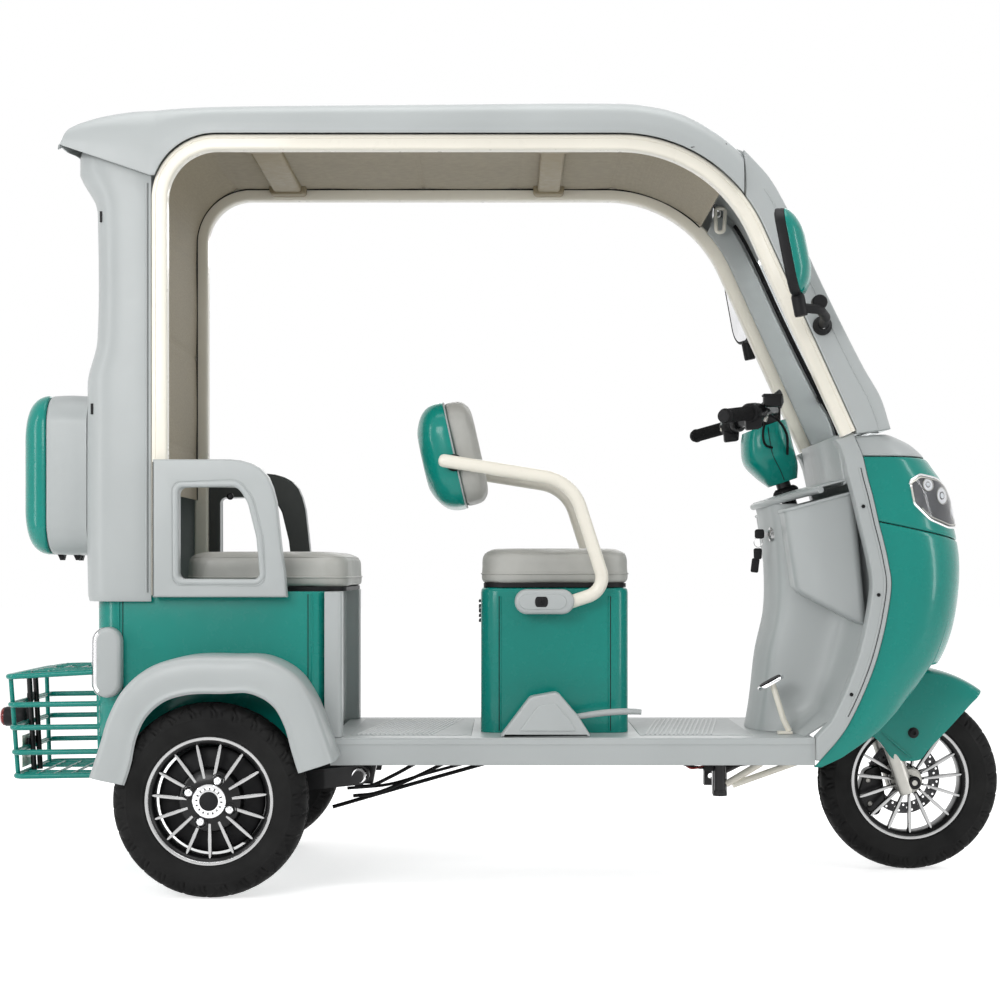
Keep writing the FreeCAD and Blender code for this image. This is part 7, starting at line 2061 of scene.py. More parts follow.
def make_basket():
    """Rod basket: thick rails round three sides, corner uprights, floor and top rods, black lamp bracket."""
    rear, front, half = BASKET_REAR, BASKET_FRONT, BASKET_HALF
    low, high, bend, r = BASKET_LOW, BASKET_HIGH, BASKET_BEND, RAIL_RADIUS
    low_half, low_rear = half - bend, rear + bend / 2
    parts = []
    for share in RAIL_SHARES:
        z = low + share * (high - low)
        wide, back = low_half + share * bend, low_rear - share * bend / 2
        foot = z + (0.012 if share == 1.0 else 0.003)
        line = [(front, -wide, foot), (back, -wide, z), (back, wide, z), (front, wide, foot)]
        parts.append(tube("rail", round_line(line, bend, 8), r, "teal", 16))
    for share in UPRIGHT_SHARES:
        foot, top = (low_rear + 0.003, low_half * share, low), (rear + 0.003, half * share, high)
        parts.append(rod("upright", foot, top, r * 0.86, steps=12))
    for share in LONG_ROD_SHARES:
        y = low_half * share
        parts.append(rod("floor_rod", (low_rear, y, low), (front, y, low), r * 0.5))
        y = half * share
        lid = [
            (rear, y, high + 0.001), (rear + 0.045, y * 0.96, high + 0.010), (front, y * 0.86, high + 0.013),
        ]
        parts.append(tube("top_rod", smooth_line(lid, 6), r * 0.42, "teal", 8))
    for share in CROSS_ROD_SHARES:
        x = low_rear + (front - low_rear) * share
        parts.append(rod("cross_rod", (x, -low_half, low), (x, low_half, low), r * 0.5))
        wide, z = half * 0.96, high + 0.011
        parts.append(rod("cross_rod", (x, -wide, z), (x, wide, z), r * 0.42))
    for side in (-1, 1):
        foot, top = (front, side * low_half, low - 0.004), (front, side * half, high + 0.010)
        parts.append(rod("post", foot, top, POST_RADIUS, steps=12))
    parts.append(rod("foot_rod", (front, -low_half, low), (front, low_half, low), r * 0.7, steps=10))
    for y in (-LAMP_POST_Y, LAMP_POST_Y):
        foot, top = (low_rear + 0.010, y, low - 0.004), (rear + 0.010, y, high - 0.004)
        parts.append(rod("lamp_post", foot, top, POST_RADIUS, "black_paint", 12))
    outline = box_outline(-0.036, 0.036, -0.010, 0.010)
    for z in LAMP_CROSS_HEIGHTS:
        cross = plate("lamp_cross", [outline], rear + 0.006, rear + 0.012, 0.001, "black_paint", "YZ")
        parts.append(moved(cross, Matrix.Translation((0, 0, z))))
    finish(join("rear_basket", parts), "chassis", ("rear_basket",), sharp=60)


SKIRT_SECTION = [
    (6, 61), (1.5, 59.6), (-0.2, 56), (0.0, 30), (-0.8, 6), (-0.4, 1.2), (1.2, 0), (5.2, 0.4), (5.4, 56),
]
FOOT_PADS = ((0.317, 0.570), (-0.331, -0.060))
FOOT_PAD_HALF, RIB_STEP, RIB_SLANT = 0.240, 0.0105, 0.060


def make_floor_pan():
    """Moulded floor: rounded skirt, flat deck and two foot pads of slanting ribs."""
    rear, front, half, low, top = -0.371, 0.700, 0.300, 0.272, 0.333
    plan = [(rear, -half), (front, -half), (front, half), (rear, half)]
    notch = [(front, 0.030), (0.610, 0.030), (0.610, -0.030), (front, -0.030)]
    outline = [plan[0], plan[1], notch[3], notch[2], notch[1], notch[0], plan[2], plan[3]]
    deck = plate("floor_pan", [outline], top - 0.0062, top, 0.0025, "grey", "XY", 4)
    parts = [deck]
    skirt = []
    for x in (rear, front):
        skirt.append([Vector((x, -half + out, low + up)) for out, up in mm(SKIRT_SECTION)])
    parts.append(pair(repair(grid("skirt", skirt, "grey", wrap=True, caps=True))))
    line = tube(
        "skirt_line", [(rear, -half - 0.0001, low + 0.046), (front, -half - 0.0001, low + 0.046)], 0.0009,
        "grey_soft", 6
    )
    parts.append(pair(line))
    for start, end in FOOT_PADS:
        base = box_outline(start, end, -FOOT_PAD_HALF, FOOT_PAD_HALF)
        parts.append(plate("pad", [base], top - 0.001, top + 0.0012, 0.0006, "grey_soft", "XY"))
        reach, height = FOOT_PAD_HALF - 0.012, top + 0.0012
        ribs = []
        for i in range(int((end - start - RIB_SLANT - 0.03) / RIB_STEP)):
            x = start + 0.014 + i * RIB_STEP
            rib = [Vector((x, -reach, height)), Vector((x + RIB_SLANT, reach, height))]
            ribs.append(tube("rib", rib, 0.0030, "grey", 6, flat=0.62))
        parts.append(join("ribs", ribs))
    finish(join("floor_pan", parts), "chassis", ("floor_pan",), sharp=40)


BRAKE_COVER_SHARES = [(0.0, 0.0), (1.0, 0.0), (0.86, 0.45), (0.63, 1.0), (0.33, 0.89)]
BRAKE_COVER_BENDS = [0.003, 0.004, 0.014, 0.016, 0.020]
LEVER_LINE = [
    (150, -262, 372), (190, -262, 379), (232, -262, 385), (272, -262, 388), (306, -262, 388),
    (319, -262, 387),
]


def make_brake_cover():
    """Faceted cover of the hand brake with a raised facet, and its curved lever."""
    corners = [(0.003 + a * 0.204, 0, 0.3333 + b * 0.100) for a, b in BRAKE_COVER_SHARES]
    points = round_line(corners, BRAKE_COVER_BENDS, 5, True)
    cover = plate("brake_cover", [side_on(points)], -0.292, -0.232, 0.006, "grey", segments=5)
    middle = middle_point(points)
    inner = [middle + (p - middle) * 0.62 + Vector((0, 0, -0.004)) for p in points]
    facet = plate("cover_facet", [side_on(inner)], -0.2945, -0.288, 0.002, "grey", segments=4)
    finish(join("brake_cover", [cover, facet]), "chassis", ("brake_cover",), sharp=35)
    route = smooth_line(mm(LEVER_LINE), 6)
    radii = [0.0075 + 0.0015 * math.sin(math.pi * i / (len(route) - 1)) for i in range(len(route))]
    lever = tube("hand_brake_lever", route, radii, "grey_soft", 18, flat=0.8)
    finish(lever, "chassis", ("hand_brake_lever",), sharp=60)


PEDAL_PAD = [(-0.004, 0.86), (-0.0035, 0.97), (0.0, 1.0), (0.0025, 0.97), (0.003, 0.90)]
PEDAL_RUBBER = [(0.001, 0.82), (0.0045, 0.80), (0.0055, 0.74)]


def pedal_loops(stations):
    """Oval outlines of the pedal pad, by their height and size."""
    outline = rounded_loop(0.028, -0.033, 0.033, 0.024, 8)
    return [
        [Vector((up * size, across * size, height)) for across, up in outline] for height, size in stations
    ]


def make_pedal():
    """Foot brake: cream rod from a foot plate to an oval pad with a bright rim."""
    y = -0.200
    heel, foot_z = shield_x(-0.112), 0.340
    top = Vector((shield_x(-0.218), y, shield_z(0.260)))
    rod_line = [(heel, y, foot_z), (heel - 0.013, y, 0.366), (top.x + 0.006, y, top.z - 0.020), top]
    parts = [tube("brake_pedal", round_line(rod_line, 0.02, 6), 0.0068, "cream", 16)]
    foot = box_outline(heel - 0.026, heel + 0.006, 0.3335, 0.3395)
    parts.append(plate("pedal_base", [foot], y - 0.014, y + 0.014, 0.0015, "cream"))
    pad = loft("pedal_pad", pedal_loops(PEDAL_PAD), "chrome")
    centre = loft("pedal_rubber", pedal_loops(PEDAL_RUBBER), "rubber")
    tilt = Matrix.Translation((shield_x(-0.222), y, shield_z(0.2535))) @ Matrix.Rotation(-0.515, 4, "Y")
    parts += [moved(pad, tilt), moved(centre, tilt)]
    finish(join("brake_pedal", parts), "chassis", ("brake_pedal",), sharp=45)


# Cables and wires under the floor, as a line and a radius in mm

CABLE_RUNS = [
    ([(-324, -200, 216), (-290, -200, 216), (-240, -198, 238), (-188, -196, 266)], 4.2),
    ([(-330, -170, 190), (-280, -172, 196), (-200, -174, 228), (-120, -176, 266)], 4.2),
    ([(-345, -150, 205), (-250, -150, 214), (-160, -152, 240), (-60, -155, 267)], 3.6),
    ([(-380, -130, 160), (-200, -130, 212), (-1, -130, 268)], 4.5),
    ([(400, -140, 268), (450, -138, 252), (520, -136, 254), (600, -136, 262), (650, -136, 268)], 3.6),
]
PIVOT_RING_SECTION = [(9, 0), (15.5, 0), (17, 3), (15.5, 7), (9, 7)]
PIVOT_NUT_PROFILE = [(9.2, 0), (9.2, 7), (6, 9), (0.0, 9)]
POST_FOOT_PROFILE = [(0.0, 0), (16, 0), (17, 3), (16, 12), (0.0, 12)]
PLUG = box_outline(470, 498, 244, 262)
PLUG_WIRE = [(470, -140, 254), (440, -140, 250), (425, -138, 262), (420, -138, 271)]


def make_underside():
    """Bright arm pivots, brake rod, cables, a jacking post with its braces and a wiring plug."""
    parts = []
    section = ring_of(mm(PIVOT_RING_SECTION))
    ring = turn("pivot_ring", section, (-0.312, -0.236, 0.243), -Y_AXIS, 32, "chrome")
    nut = turn("pivot_nut", mm(PIVOT_NUT_PROFILE), (-0.312, -0.238, 0.243), -Y_AXIS, 6, "cast")
    parts += [pair(ring), pair(nut)]
    for run, radius in CABLE_RUNS:
        parts.append(tube("cable", smooth_line(mm(run), 6), radius * MM, "rubber", 10))
    post = [(0.506, -0.150, 0.268), (0.506, -0.150, 0.198)]
    parts.append(tube("post", post, 0.0135, "black_paint", 20))
    foot = (0.506, -0.150, 0.188)
    parts.append(turn("post_foot", mm(POST_FOOT_PROFILE), foot, Z_AXIS, 28, "black_paint"))
    parts.append(tube("brace", [(0.520, -0.150, 0.214), (0.600, -0.150, 0.262)], 0.0080, "cream", 16))
    parts.append(tube("brace", [(0.535, -0.148, 0.212), (0.693, -0.148, 0.268)], 0.0075, "cream", 16))
    parts.append(plate("plug", [mm(PLUG)], -0.150, -0.130, 0.002, "black_plastic"))
    parts.append(tube("wire", smooth_line(mm(PLUG_WIRE), 6), 0.0026, "red_lens", 8))
    finish(join("underside_fittings", parts), "chassis", sharp=40)


def make_body():
    make_seat_box()
    make_front_trim()
    make_fenders()
    make_armrests()
    make_trunk()
    make_tail_lamps()
    make_basket()
    make_floor_pan()
    make_brake_cover()
    make_pedal()
    make_underside()


# Steering: fork, mudguard, handlebar and mirrors

STEER_SPOT = Vector((0.908, 0, 0.208))
STEER_UP = Vector((-0.3206, 0, 0.9472))
STEER_AHEAD = Vector((0.9472, 0, 0.3206))
WHEEL_SPOT = Vector((0.964, 0, 0.210))
LEG_Y, LEG_AHEAD = 0.075, 0.032
GUARD_RADIUS, GUARD_HALF = 0.268, 0.097
GUARD_SKIRT = [
    (0.50, 0.70), (0.40, 0.59), (0.29, 0.47), (0.11, 0.28), (0.05, 0.205), (-0.06, 0.19), (-0.19, 0.21),
    (-0.30, 0.35), (-0.50, 0.50),
]
GUARD_PROFILE = [
    (0.935, 1.0), (0.955, 0.985), (0.972, 0.930), (0.985, 0.82), (0.994, 0.62), (0.999, 0.32), (1.0, 0.0)
]

# Turned pieces, as (radius, place along the axis) in mm, and outlines, as (x, z) in mm

LEG_PROFILE = [
    (0.0, -37), (14.5, -36), (17.2, -33), (18, -26), (18, 45), (17.8, 150), (18, 176), (19, 180),
    (19, 192), (17.5, 197), (13, 199), (13, 330),
]
AXLE_NUT_PROFILE = [
    (0.0, 0.0), (14.5, 0.0), (15.5, 2), (15, 8.5), (12, 12), (6.5, 12.5), (6, 9), (0.0, 9),
]
GUARD_SCREW_PROFILE = [
    (12.5, -1), (12.5, 1), (9.5, 2), (9, 5.5), (7.2, 6.5), (4.5, 6.5), (4.2, 3), (0.0, 3),
]
BAR_CLAMP_PROFILE = [(0.0, 876), (26, 876), (29, 880), (29, 912), (27, 917), (18, 920), (0.0, 920)]
GRIP_END = [(0.0, 1), (10.5, 1), (15, -1.5), (17, -6), (16.8, -10)]
GRIP_RIB = [(15.7, 0.0), (15, -1), (15, -2.2), (15.8, -2.8)]
GRIP_FLANGE = [(17, -118.5), (17, -120), (0.0, -120)]
GRIP_RIBS, GRIP_RIB_START, GRIP_RIB_STEP = 30, 12.5, 3.5
BAR_CAP_PROFILE = [(0.0, 0.0), (13.5, 0.0), (14, 2), (12.5, 4), (6, 4.5), (0.0, 3.5)]
SWITCH_PROFILE = [
    (0.0, -19), (19.5, -19), (21.8, -16), (22, -1), (21.2, 0.0), (22, 1), (22, 15), (19.5, 18.5),
    (0.0, 18.5),
]
PERCH_PROFILE = [(12, -9), (19, -9), (20, -6), (20, 6), (19, 9), (12, 9)]
METER_CASE_PROFILE = [
    (0.0, -30), (18, -29), (30, -22), (38, -10), (41, 0.0), (41.5, 6), (40, 8.5), (36.5, 8), (35.5, 5),
]
METER_FACE_PROFILE = [(35.8, 5), (30, 4.6), (0.0, 4.6)]
METER_MARKS = 11
METER_GLASS_PROFILE = [(35, 6.2), (20, 7.4), (0.0, 7.8)]
CLAMP_BLOCK = box_outline(-21, 21, -30, 19)
BUTTON = box_outline(-7, 7, -5, 5)
ROCKER = box_outline(-5, 5, -4, 4)
SWITCH_CHIN = [(-18, -40), (16, -36), (18, -10), (-20, -12)]
RESERVOIR = box_outline(600, 640, 1073, 1099)
RESERVOIR_LID = box_outline(598, 642, 1096, 1101.5)
CALIPER = [(905, 245), (868, 228), (852, 178), (862, 136), (900, 118), (918, 160)]
CALIPER_BENDS = [12, 18, 18, 18, 12, 20]
CALIPER_LUG = [(884, 242), (924, 262), (934, 240), (905, 215)]
CALIPER_BOLTS = ((0.876, 0.205), (0.880, 0.150))
CROWN = [(48, 91), (48, -91), (10, -91), (-27, -27), (-27, 27), (10, 91)]
CROWN_BENDS = [14, 14, 16, 20, 20, 16]
MIRROR_SOCKET_PROFILE = [(0.0, -26), (13, -26), (14.5, -22), (14.5, 16), (12.5, 22), (0.0, 22)]
MIRROR_FOOT_PROFILE = [(0.0, 0.0), (20.5, 0.0), (21.5, 3), (20.5, 10), (16, 16), (12, 22), (0.0, 22)]
MIRROR_KNUCKLE_PROFILE = [(0.0, -13), (14.5, -13), (16.5, -10), (16.5, 10), (14.5, 13), (0.0, 13)]


def on_steering(along, ahead=0.0, across=0.0):
    """Spot by its way up the steering axis, ahead of it and to the left."""
    return STEER_SPOT + STEER_UP * along + STEER_AHEAD * ahead + Y_AXIS * across


def make_fork():
    parts = []
    leg = turn("leg", mm(LEG_PROFILE), (0, 0, 0), Z_AXIS, 40, "silver")
    base = on_steering(0, LEG_AHEAD, -LEG_Y)
    parts.append(pair(moved(leg, stretch_to(base, base + STEER_UP))))
    lower = []
    for side in (-1, 1):
        start, end = on_steering(-0.012, LEG_AHEAD, side * LEG_Y), WHEEL_SPOT + Y_AXIS * side * LEG_Y
        lower.append(
            tube("axle_lug", [start, start.lerp(end, 0.6), end], [0.0150, 0.0150, 0.0165], "silver", 24)
        )
        face = WHEEL_SPOT + Y_AXIS * side * 0.0795
        lower.append(turn("axle_nut", mm(AXLE_NUT_PROFILE), face, Y_AXIS * side, 32, "black_plastic"))
    parts += lower
    parts.append(
        tube("axle", [WHEEL_SPOT - Y_AXIS * 0.0905, WHEEL_SPOT + Y_AXIS * 0.0905], 0.0090, "silver", 24)
    )
    crown = plate("crown", [rounded(CROWN, CROWN_BENDS, 6)], 0.330, 0.356, 0.003, "black_paint", "XY")
    parts.append(moved(crown, Matrix((
        (STEER_AHEAD.x, 0, STEER_UP.x, STEER_SPOT.x), (0, 1, 0, 0),
        (STEER_AHEAD.z, 0, STEER_UP.z, STEER_SPOT.z), (0, 0, 0, 1),
    ))))
    parts.append(tube("stem", [on_steering(0.350), on_steering(0.880)], 0.0170, "black_paint", 28))
    finish(join("front_fork", parts), "fork", ("front_fork",), sharp=38)
    parts = [
        plate("caliper", [rounded(CALIPER, CALIPER_BENDS, 5)], 0.020, 0.064, 0.004, "black_paint"),
        plate("caliper_lug", [mm(CALIPER_LUG)], 0.052, 0.070, 0.003, "black_paint"),
    ]
    for x, z in CALIPER_BOLTS:
        parts.append(bolt_mesh("caliper_bolt", (x, 0.020, z), -Y_AXIS, 0.006, "silver"))
    finish(join("brake_caliper", parts), "fork", sharp=38)


def make_mudguard():
    """One pressed shell: crown over the tyre, running down into deep side skirts."""
    count = 56
    skirt = resample(smooth_line([(x, 0, z) for x, z in GUARD_SKIRT], 8), count)
    side = []
    for share, low in zip(spread(0, 1, count), skirt):
        angle = math.radians(54 + 84 * share)
        arm = Vector((math.cos(angle), 0, math.sin(angle)))
        row = []
        for part in spread(0, 1, 13)[:-1]:
            spot = low.lerp(arm * GUARD_PROFILE[0][0], part)
            bow = 0.0035 * math.sin(math.pi * part) ** 0.7
            row.append(
                WHEEL_SPOT + spot * GUARD_RADIUS - Y_AXIS * (GUARD_HALF - 0.0035 + bow - 0.002 * (1 - part))
            )
        for radial, wide in stations_of(GUARD_PROFILE, 4):
            row.append(WHEEL_SPOT + arm * (radial * GUARD_RADIUS) - Y_AXIS * ((GUARD_HALF - 0.0035) * wide))
        side.append(both_sides(row))
    shell = thicken(repair(grid("front_mudguard", side, "teal")), 0.0028, -1)
    shell = soften(shell, 0.0009, 2, 60)
    crease = []
    for share in spread(0, 1, 12):
        crease.append(
            WHEEL_SPOT + Vector((-0.078 + 0.072 * share, 0, 0.118 - 0.062 * share)) - Y_AXIS * 0.0962
        )
    fold = tube(
        "guard_fold", crease, [0.0006 + 0.0020 * math.sin(math.pi * s) for s in spread(0, 1, 12)], "teal", 8
    )
    screw = turn(
        "guard_screw", mm(GUARD_SCREW_PROFILE), (0.9595, -0.0958, 0.327), -Y_AXIS, 28, "black_plastic"
    )
    guard = join("front_mudguard", [shell, pair(join("guard_trim", [fold, screw]))])
    finish(guard, "fork", ("front_mudguard",), sharp=50)


COVER_STATIONS = [
    (0.0, 0.0, 0.58, 0.54), (0.22, -0.08, 0.84, 0.80), (0.50, -0.20, 1.0, 1.0), (0.82, -0.10, 0.96, 1.0),
    (1.0, 0.0, 0.86, 0.94),
]
COVER_ROUNDNESS = 0.72


def make_steering_cover():
    """Tapering painted cover round the stem, split down its sides."""
    low, high, half_deep, half_wide = 0.740, 0.880, 0.060, 0.076
    rows = []
    for share in spread(0, 1, 30):
        ahead = look_up(COVER_STATIONS, share, 1) * half_deep
        deep = look_up(COVER_STATIONS, share, 2) * half_deep
        wide = look_up(COVER_STATIONS, share, 3) * half_wide
        row = []
        for angle in spread(0, 2 * math.pi, 65)[:-1]:
            c, s = math.cos(angle), math.sin(angle)
            forward = ahead + deep * math.copysign(abs(c) ** COVER_ROUNDNESS, c)
            across = wide * math.copysign(abs(s) ** COVER_ROUNDNESS, s)
            row.append(on_steering(low + (high - low) * share, forward, across))
        rows.append(row)
    shell = thicken(repair(grid("steering_cover", rows, "teal", wrap=True)), 0.003, -1)
    shell = soften(shell, 0.001, 2, 60)
    seam = [row[48] - Y_AXIS * 0.0002 for row in rows[1:-1]]
    seam = pair(tube("cover_seam", seam, 0.0009, "black_plastic", 8))
    finish(join("steering_cover", [shell, seam]), "fork", ("steering_cover",), sharp=50)


def bar_route(hand):
    """The bar from its middle to one end, hand -1 right or 1 left."""
    spots = [
        (0.640, hand * 0.0, 1.074), (0.640, hand * 0.076, 1.074), (0.590, hand * 0.186, 1.062),
        (0.495, hand * 0.330, 1.041)
    ]
    return round_line(spots, 0.050, 8)


def along_bar(hand, back):
    """Spot and outward direction on the bar, that far from its end."""
    route = bar_route(hand)
    end, before = route[-1], route[-2]
    out = (end - before).normalized()
    return end - out * back, out


def make_handlebar():
    parts = [tube("handlebar", bar_route(hand), 0.0118, "black_paint", 24) for hand in (-1, 1)]
    parts.append(turn("bar_clamp", mm(BAR_CLAMP_PROFILE), STEER_SPOT, STEER_UP, 40, "black_paint"))
    for y in (-0.024, 0.024):
        at = Vector((0.640, y, 1.074))
        block = plate("clamp_block", [rounded(CLAMP_BLOCK, 9, 5)], -0.013, 0.013, 0.002, "black_paint")
        parts.append(moved(block, Matrix.Translation(at)))
        for x in (-0.012, 0.012):
            parts.append(bolt_mesh("clamp_bolt", (0.640 + x, y, 1.093), Z_AXIS, 0.0050, "silver"))
    finish(join("handlebar", parts), "fork", ("handlebar",), sharp=38)


def make_grips():
    grips = []
    for hand in (-1, 1):
        end, out = along_bar(hand, 0.0)
        profile = list(GRIP_END)
        for i in range(GRIP_RIBS):
            start = GRIP_RIB_START + i * GRIP_RIB_STEP
            profile += [(radius, along - start) for radius, along in GRIP_RIB]
        profile += GRIP_FLANGE
        grips.append(turn("grip", mm(profile[::-1]), end, out, 40, "rubber"))
        grips.append(turn("bar_end", mm(BAR_CAP_PROFILE), end + out * 0.0005, out, 32, "black_plastic"))
    finish(join("handgrips", grips), "fork", ("handgrips",), sharp=38)


def make_controls_of(hand):
    """Switch block, reservoir, perch and lever on one side."""
    spot, out = along_bar(hand, 0.139)
    parts = [turn("switch_block", mm(SWITCH_PROFILE), spot, out, 40, "black_plastic")]
    face = spot - X_AXIS * 0.020
    button = plate("switch_button", [rounded(BUTTON, 2, 4)], -0.004, 0.004, 0.001, "grey_soft", "YZ")
    parts.append(moved(button, Matrix.Translation(face + Z_AXIS * 0.007)))
    rocker = plate("switch_rocker", [rounded(ROCKER, 1.5, 4)], -0.004, 0.004, 0.001, "cream", "YZ")
    parts.append(moved(rocker, Matrix.Translation(face - Z_AXIS * 0.008)))
    under = plate("switch_chin", [rounded(SWITCH_CHIN, 5, 4)], -0.014, 0.014, 0.003, "black_plastic")
    parts.append(moved(under, Matrix.Translation(spot + X_AXIS * 0.004)))
    perch, _ = along_bar(hand, 0.168)
    parts.append(turn("perch", mm(PERCH_PROFILE), perch, out, 36, "black_paint"))
    pivot = perch + Vector((0.020, 0, 0.006))
    tip = Vector((0.593, hand * 0.272, 1.050))
    route = smooth_line(
        [pivot, pivot.lerp(tip, 0.30) + X_AXIS * 0.006, pivot.lerp(tip, 0.7) + X_AXIS * 0.005, tip], 6
    )
    radii = [0.0058 - 0.0020 * i / (len(route) - 1) for i in range(len(route))]
    radii[-1] = 0.0052
    parts.append(tube("lever", route, radii, "black_paint", 14, flat=0.7))
    near = sorted((hand * 0.178, hand * 0.206))
    parts.append(plate("reservoir", [rounded(RESERVOIR, 5, 5)], *near, 0.003, "black_plastic"))
    near = sorted((hand * 0.176, hand * 0.208))
    parts.append(plate("reservoir_lid", [rounded(RESERVOIR_LID, 2, 4)], *near, 0.001, "black_plastic"))
    return parts


def make_meter():
    """Round black meter over the bar's middle, its face turned back and up to the driver."""
    centre = Vector((0.636, 0, 1.098))
    axis = Vector((-0.62, 0, 0.78)).normalized()
    case = turn("meter_case", mm(METER_CASE_PROFILE), centre, axis, 56, "black_plastic")
    face = turn("meter_face", mm(METER_FACE_PROFILE), centre, axis, 48, "black_plastic")
    glass = turn("meter_glass", mm(METER_GLASS_PROFILE), centre, axis, 48, "lens")
    up = axis.cross(Y_AXIS)
    mark_at, needle_at = centre + axis * 0.0050, centre + axis * 0.0055
    marks = []
    for i in range(METER_MARKS):
        angle = math.radians(-225 + 27 * i)
        arm = Y_AXIS * math.cos(angle) - up * math.sin(angle)
        marks.append(rod("mark", mark_at + arm * 0.024, mark_at + arm * 0.030, 0.0006, "cream", 6))
    point = (Y_AXIS * -0.75 + up * -0.6).normalized() * 0.022
    needle = rod("needle", needle_at, needle_at + point, 0.0007, "red_lens", 6)
    foot = tube("meter_foot", [centre - axis * 0.020, Vector((0.640, 0, 1.078))], 0.014, "black_plastic", 20)
    return [case, face, glass, needle, foot] + marks


CABLE_ROUTES = [
    [(0.610, -0.168, 1.052), (0.606, -0.140, 1.018), (0.618, -0.098, 0.992), (0.650, -0.060, 0.986)],
    [(0.607, -0.160, 1.062), (0.640, -0.128, 1.050), (0.668, -0.088, 1.016), (0.672, -0.070, 0.972)],
    [(0.612, 0.168, 1.052), (0.640, 0.140, 1.040), (0.672, 0.092, 1.010), (0.678, 0.070, 0.968)],
]


def make_bar_fittings():
    parts = []
    for hand in (-1, 1):
        parts += make_controls_of(hand)
    finish(join("hand_controls", parts + make_meter()), "fork", ("hand_controls",), sharp=38)
    cables = [tube("cable", smooth_line(route, 8), 0.0029, "rubber", 12) for route in CABLE_ROUTES]
    ferrules = [tube("ferrule", smooth_line(route, 8)[:3], 0.0042, "silver", 12) for route in CABLE_ROUTES]
    finish(join("bar_cables", cables + ferrules), "fork", sharp=50)


MIRROR_RISE, MIRROR_HALF, MIRROR_DEPTH, MIRROR_CORNER = 0.095, 0.060, 0.050, 0.042
MIRROR_RIM = [(0.000, 0.955), (0.010, 0.985), (0.050, 1.0), (0.30, 0.985), (0.40, 0.965), (0.405, 0.950)]
MIRROR_BACK = [
    (0.405, 0.955), (0.43, 0.962), (0.52, 0.94), (0.66, 0.86), (0.80, 0.74), (0.92, 0.58), (0.985, 0.42),
    (1.0, 0.25),
]
MIRROR_SPOT = (0.6125, -0.4355, 1.380)
MIRROR_YAW, MIRROR_TILT = math.radians(-14), math.radians(-11)
MIRROR_LINK = [
    (0.652, -0.440, 1.264), (0.690, -0.430, 1.262), (0.708, -0.395, 1.250), (0.7118, -0.340, 1.241)
]


def mirror_loops(table, steps):
    """Rounded outlines from the glass back, by their share of the depth and their size."""
    loops = []
    for deep, size in stations_of(table, steps):
        rise = MIRROR_RISE * size
        ring = rounded_loop(MIRROR_HALF * size, -rise, rise, MIRROR_CORNER * size, 8)
        loops.append([Vector((deep * MIRROR_DEPTH, y, z)) for y, z in ring])
    return loops


def make_mirrors():
    """Mirror heads with a black body, painted back and knuckle joint on a bracket."""
    body = loft("mirror_body", mirror_loops(MIRROR_RIM, 3), "black_plastic")
    cap = loft("mirror_cap", mirror_loops(MIRROR_BACK, 4), "teal")
    ring = rounded_loop(MIRROR_HALF * 0.90, -MIRROR_RISE * 0.93, MIRROR_RISE * 0.93, 0.037, 8)
    glass = repair(
        make_object("mirror_glass", [Vector((-0.0004, y, z))
        for y, z in ring], [tuple(range(len(ring)))], "chrome")
    )
    edge = tube("mirror_edge", [Vector((-0.0006, y, z)) for y, z in ring], 0.0011, "rubber", 8, True)
    head = join("mirror_head", [body, cap, glass, edge])
    lean = Matrix.Rotation(MIRROR_YAW, 4, "Z") @ Matrix.Rotation(MIRROR_TILT, 4, "Y")
    moved(head, Matrix.Translation(MIRROR_SPOT) @ lean)
    stalk = Vector((-0.19, 0, 0.98))
    socket = turn(
        "mirror_socket", mm(MIRROR_SOCKET_PROFILE), (0.644, -0.440, 1.272), stalk, 28, "black_plastic"
    )
    foot = turn(
        "mirror_foot", mm(MIRROR_FOOT_PROFILE), (0.7118, -0.3222, 1.240), -Y_AXIS, 36, "black_plastic"
    )
    link = tube("mirror_link", round_line(MIRROR_LINK, 0.020, 6), 0.0105, "black_plastic", 20)
    joint_at = (0.690, -0.420, 1.278)
    knuckle = turn("mirror_knuckle", mm(MIRROR_KNUCKLE_PROFILE), joint_at, Y_AXIS, 30, "black_plastic")
    screw = bolt_mesh("mirror_screw", (0.7118, -0.3445, 1.236), -Y_AXIS, 0.0055, "chrome")
    finish(
        pair(join("mirrors", [head, socket, foot, link, knuckle, screw])), "chassis",
        ("mirrors",), sharp=38
    )


def make_steering():
    make_fork()
    make_mudguard()
    make_steering_cover()
    make_handlebar()
    make_grips()
    make_bar_fittings()
    make_mirrors()


# Camera, light and floor

CAMERA_X = 0.014
CAMERA_DISTANCE = 4.65
CAMERA_HEIGHT = 0.708
CAMERA_LENS = 70.9
CAMERA_SENSOR = 36.0
CAMERA_SHIFT_X = -0.0045
CAMERA_SHIFT_Y = 0.068
WORLD_LEVEL = 0.50
FLOOR_WHITE = 0.9
FLOOR_GLOW = 0.62


def make_camera():
    data = bpy.data.cameras.new("camera")
    data.lens = CAMERA_LENS
    data.sensor_width = CAMERA_SENSOR
    data.shift_x = CAMERA_SHIFT_X
    data.shift_y = CAMERA_SHIFT_Y
    camera = bpy.data.objects.new("camera", data)
    camera.location = (CAMERA_X, -CAMERA_DISTANCE, CAMERA_HEIGHT)
    camera.rotation_euler = (math.radians(90), 0, 0)
    bpy.context.scene.collection.objects.link(camera)
    bpy.context.scene.camera = camera


def seen_directly(tree):
    """1 for camera, glossy and transmission rays, 0 for the rest."""
    path = put(tree, "LightPath")
    first = put(
        tree, "Math", {"operation": "MAXIMUM"},
        i0=path.outputs["Is Camera Ray"], i1=path.outputs["Is Glossy Ray"],
    )
    both = put(
        tree, "Math", {"operation": "MAXIMUM"},
        i0=first.outputs[0], i1=path.outputs["Is Transmission Ray"],
    )
    return both.outputs[0]


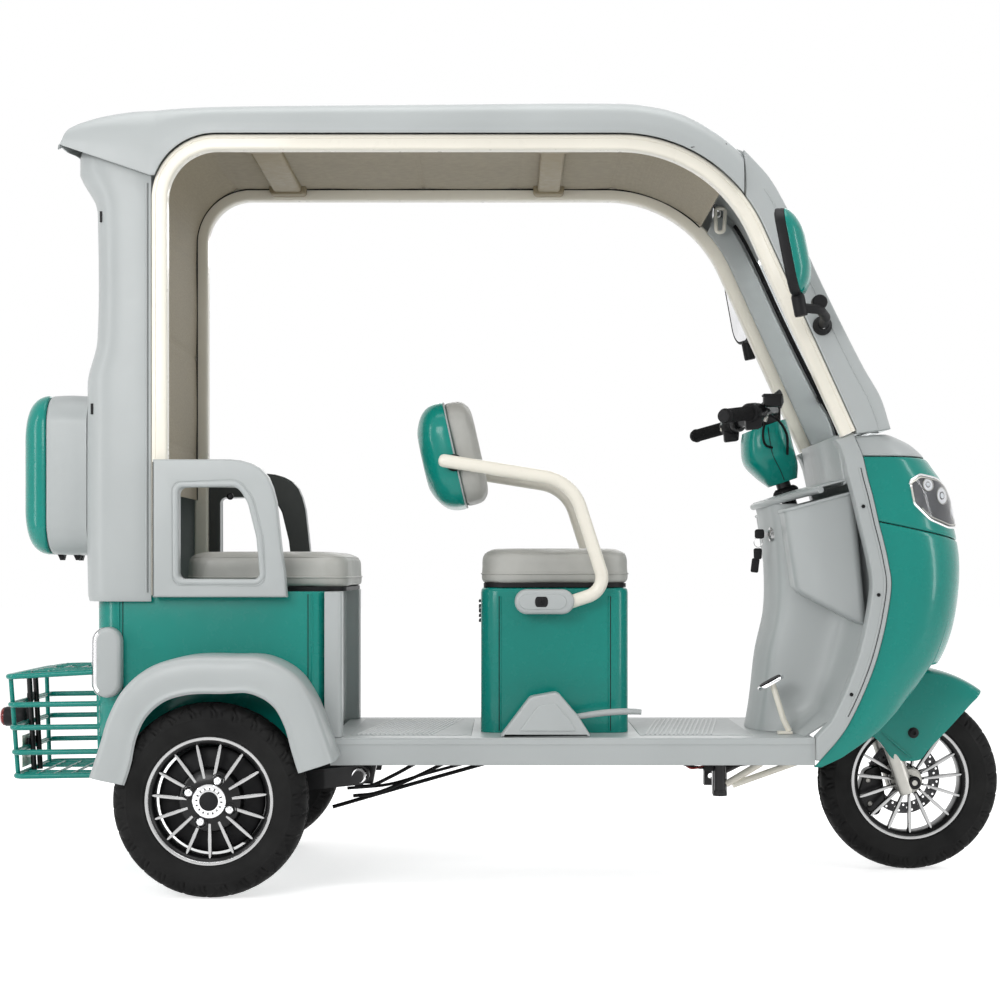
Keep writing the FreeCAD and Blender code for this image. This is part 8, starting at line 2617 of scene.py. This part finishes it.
def make_world():
    """White where it is seen, and a plain soft light on the object."""
    world = bpy.data.worlds.new("studio")
    world.use_nodes = True
    tree = world.node_tree
    tree.nodes.clear()
    level = put(tree, "MapRange", Value=seen_directly(tree), i3=WORLD_LEVEL, i4=1.0)
    background = put(tree, "Background", Color=(1, 1, 1, 1), Strength=level.outputs[0])
    output = put(tree, "OutputWorld")
    tree.links.new(background.outputs[0], output.inputs[0])
    bpy.context.scene.world = world


def make_floor():
    size = 30.0
    mesh = bpy.data.meshes.new("floor")
    corners = [(-size, -size, 0), (size, -size, 0), (size, size, 0), (-size, size, 0)]
    mesh.from_pydata(corners, [], [(0, 1, 2, 3)])
    floor = bpy.data.objects.new("floor", mesh)
    bpy.context.scene.collection.objects.link(floor)
    material = bpy.data.materials.new("pale_floor")
    material.use_nodes = True
    tree = material.node_tree
    tree.nodes.clear()
    diffuse = put(tree, "BsdfDiffuse", Color=(FLOOR_WHITE, FLOOR_WHITE, FLOOR_WHITE, 1))
    glow_level = put(tree, "MapRange", Value=seen_directly(tree), i3=0.0, i4=FLOOR_GLOW)
    glow = put(tree, "Emission", Color=(1, 1, 1, 1), Strength=glow_level.outputs[0])
    both = put(tree, "AddShader", i0=diffuse.outputs[0], i1=glow.outputs[0])
    output = put(tree, "OutputMaterial")
    tree.links.new(both.outputs[0], output.inputs[0])
    mesh.materials.append(material)


def add_light(name, spot, target, width, height, power):
    data = bpy.data.lights.new(name, "AREA")
    data.shape = "RECTANGLE"
    data.size = width
    data.size_y = height
    data.energy = power
    light = bpy.data.objects.new(name, data)
    light.location = spot
    aim = Vector(target) - Vector(spot)
    light.rotation_euler = aim.to_track_quat("-Z", "Y").to_euler()
    bpy.context.scene.collection.objects.link(light)


def make_lights():
    """Soft boxes overhead, beside the camera, ahead and behind."""
    add_light("top_box", (0.0, -0.6, 3.6), (0.0, 0.0, 0.6), 3.2, 1.6, 46)
    add_light("near_box", (-1.6, -3.6, 1.9), (0.0, 0.0, 0.8), 1.6, 1.2, 48)
    add_light("front_box", (3.4, -1.6, 1.5), (0.6, 0.0, 0.7), 0.35, 2.4, 26)
    add_light("rear_box", (-3.4, -1.4, 1.4), (-0.8, 0.0, 0.7), 0.35, 2.4, 22)
    add_light("far_box", (0.4, 3.4, 2.6), (0.0, 0.0, 0.7), 2.4, 1.4, 34)


LOOKS = make_materials()


def main():
    dress_nodes()
    make_wheels()
    make_canopy()
    make_front()
    make_seats()
    make_body()
    make_steering()
    make_camera()
    make_world()
    make_floor()
    make_lights()
    bpy.context.scene.view_settings.view_transform = "Standard"


main()
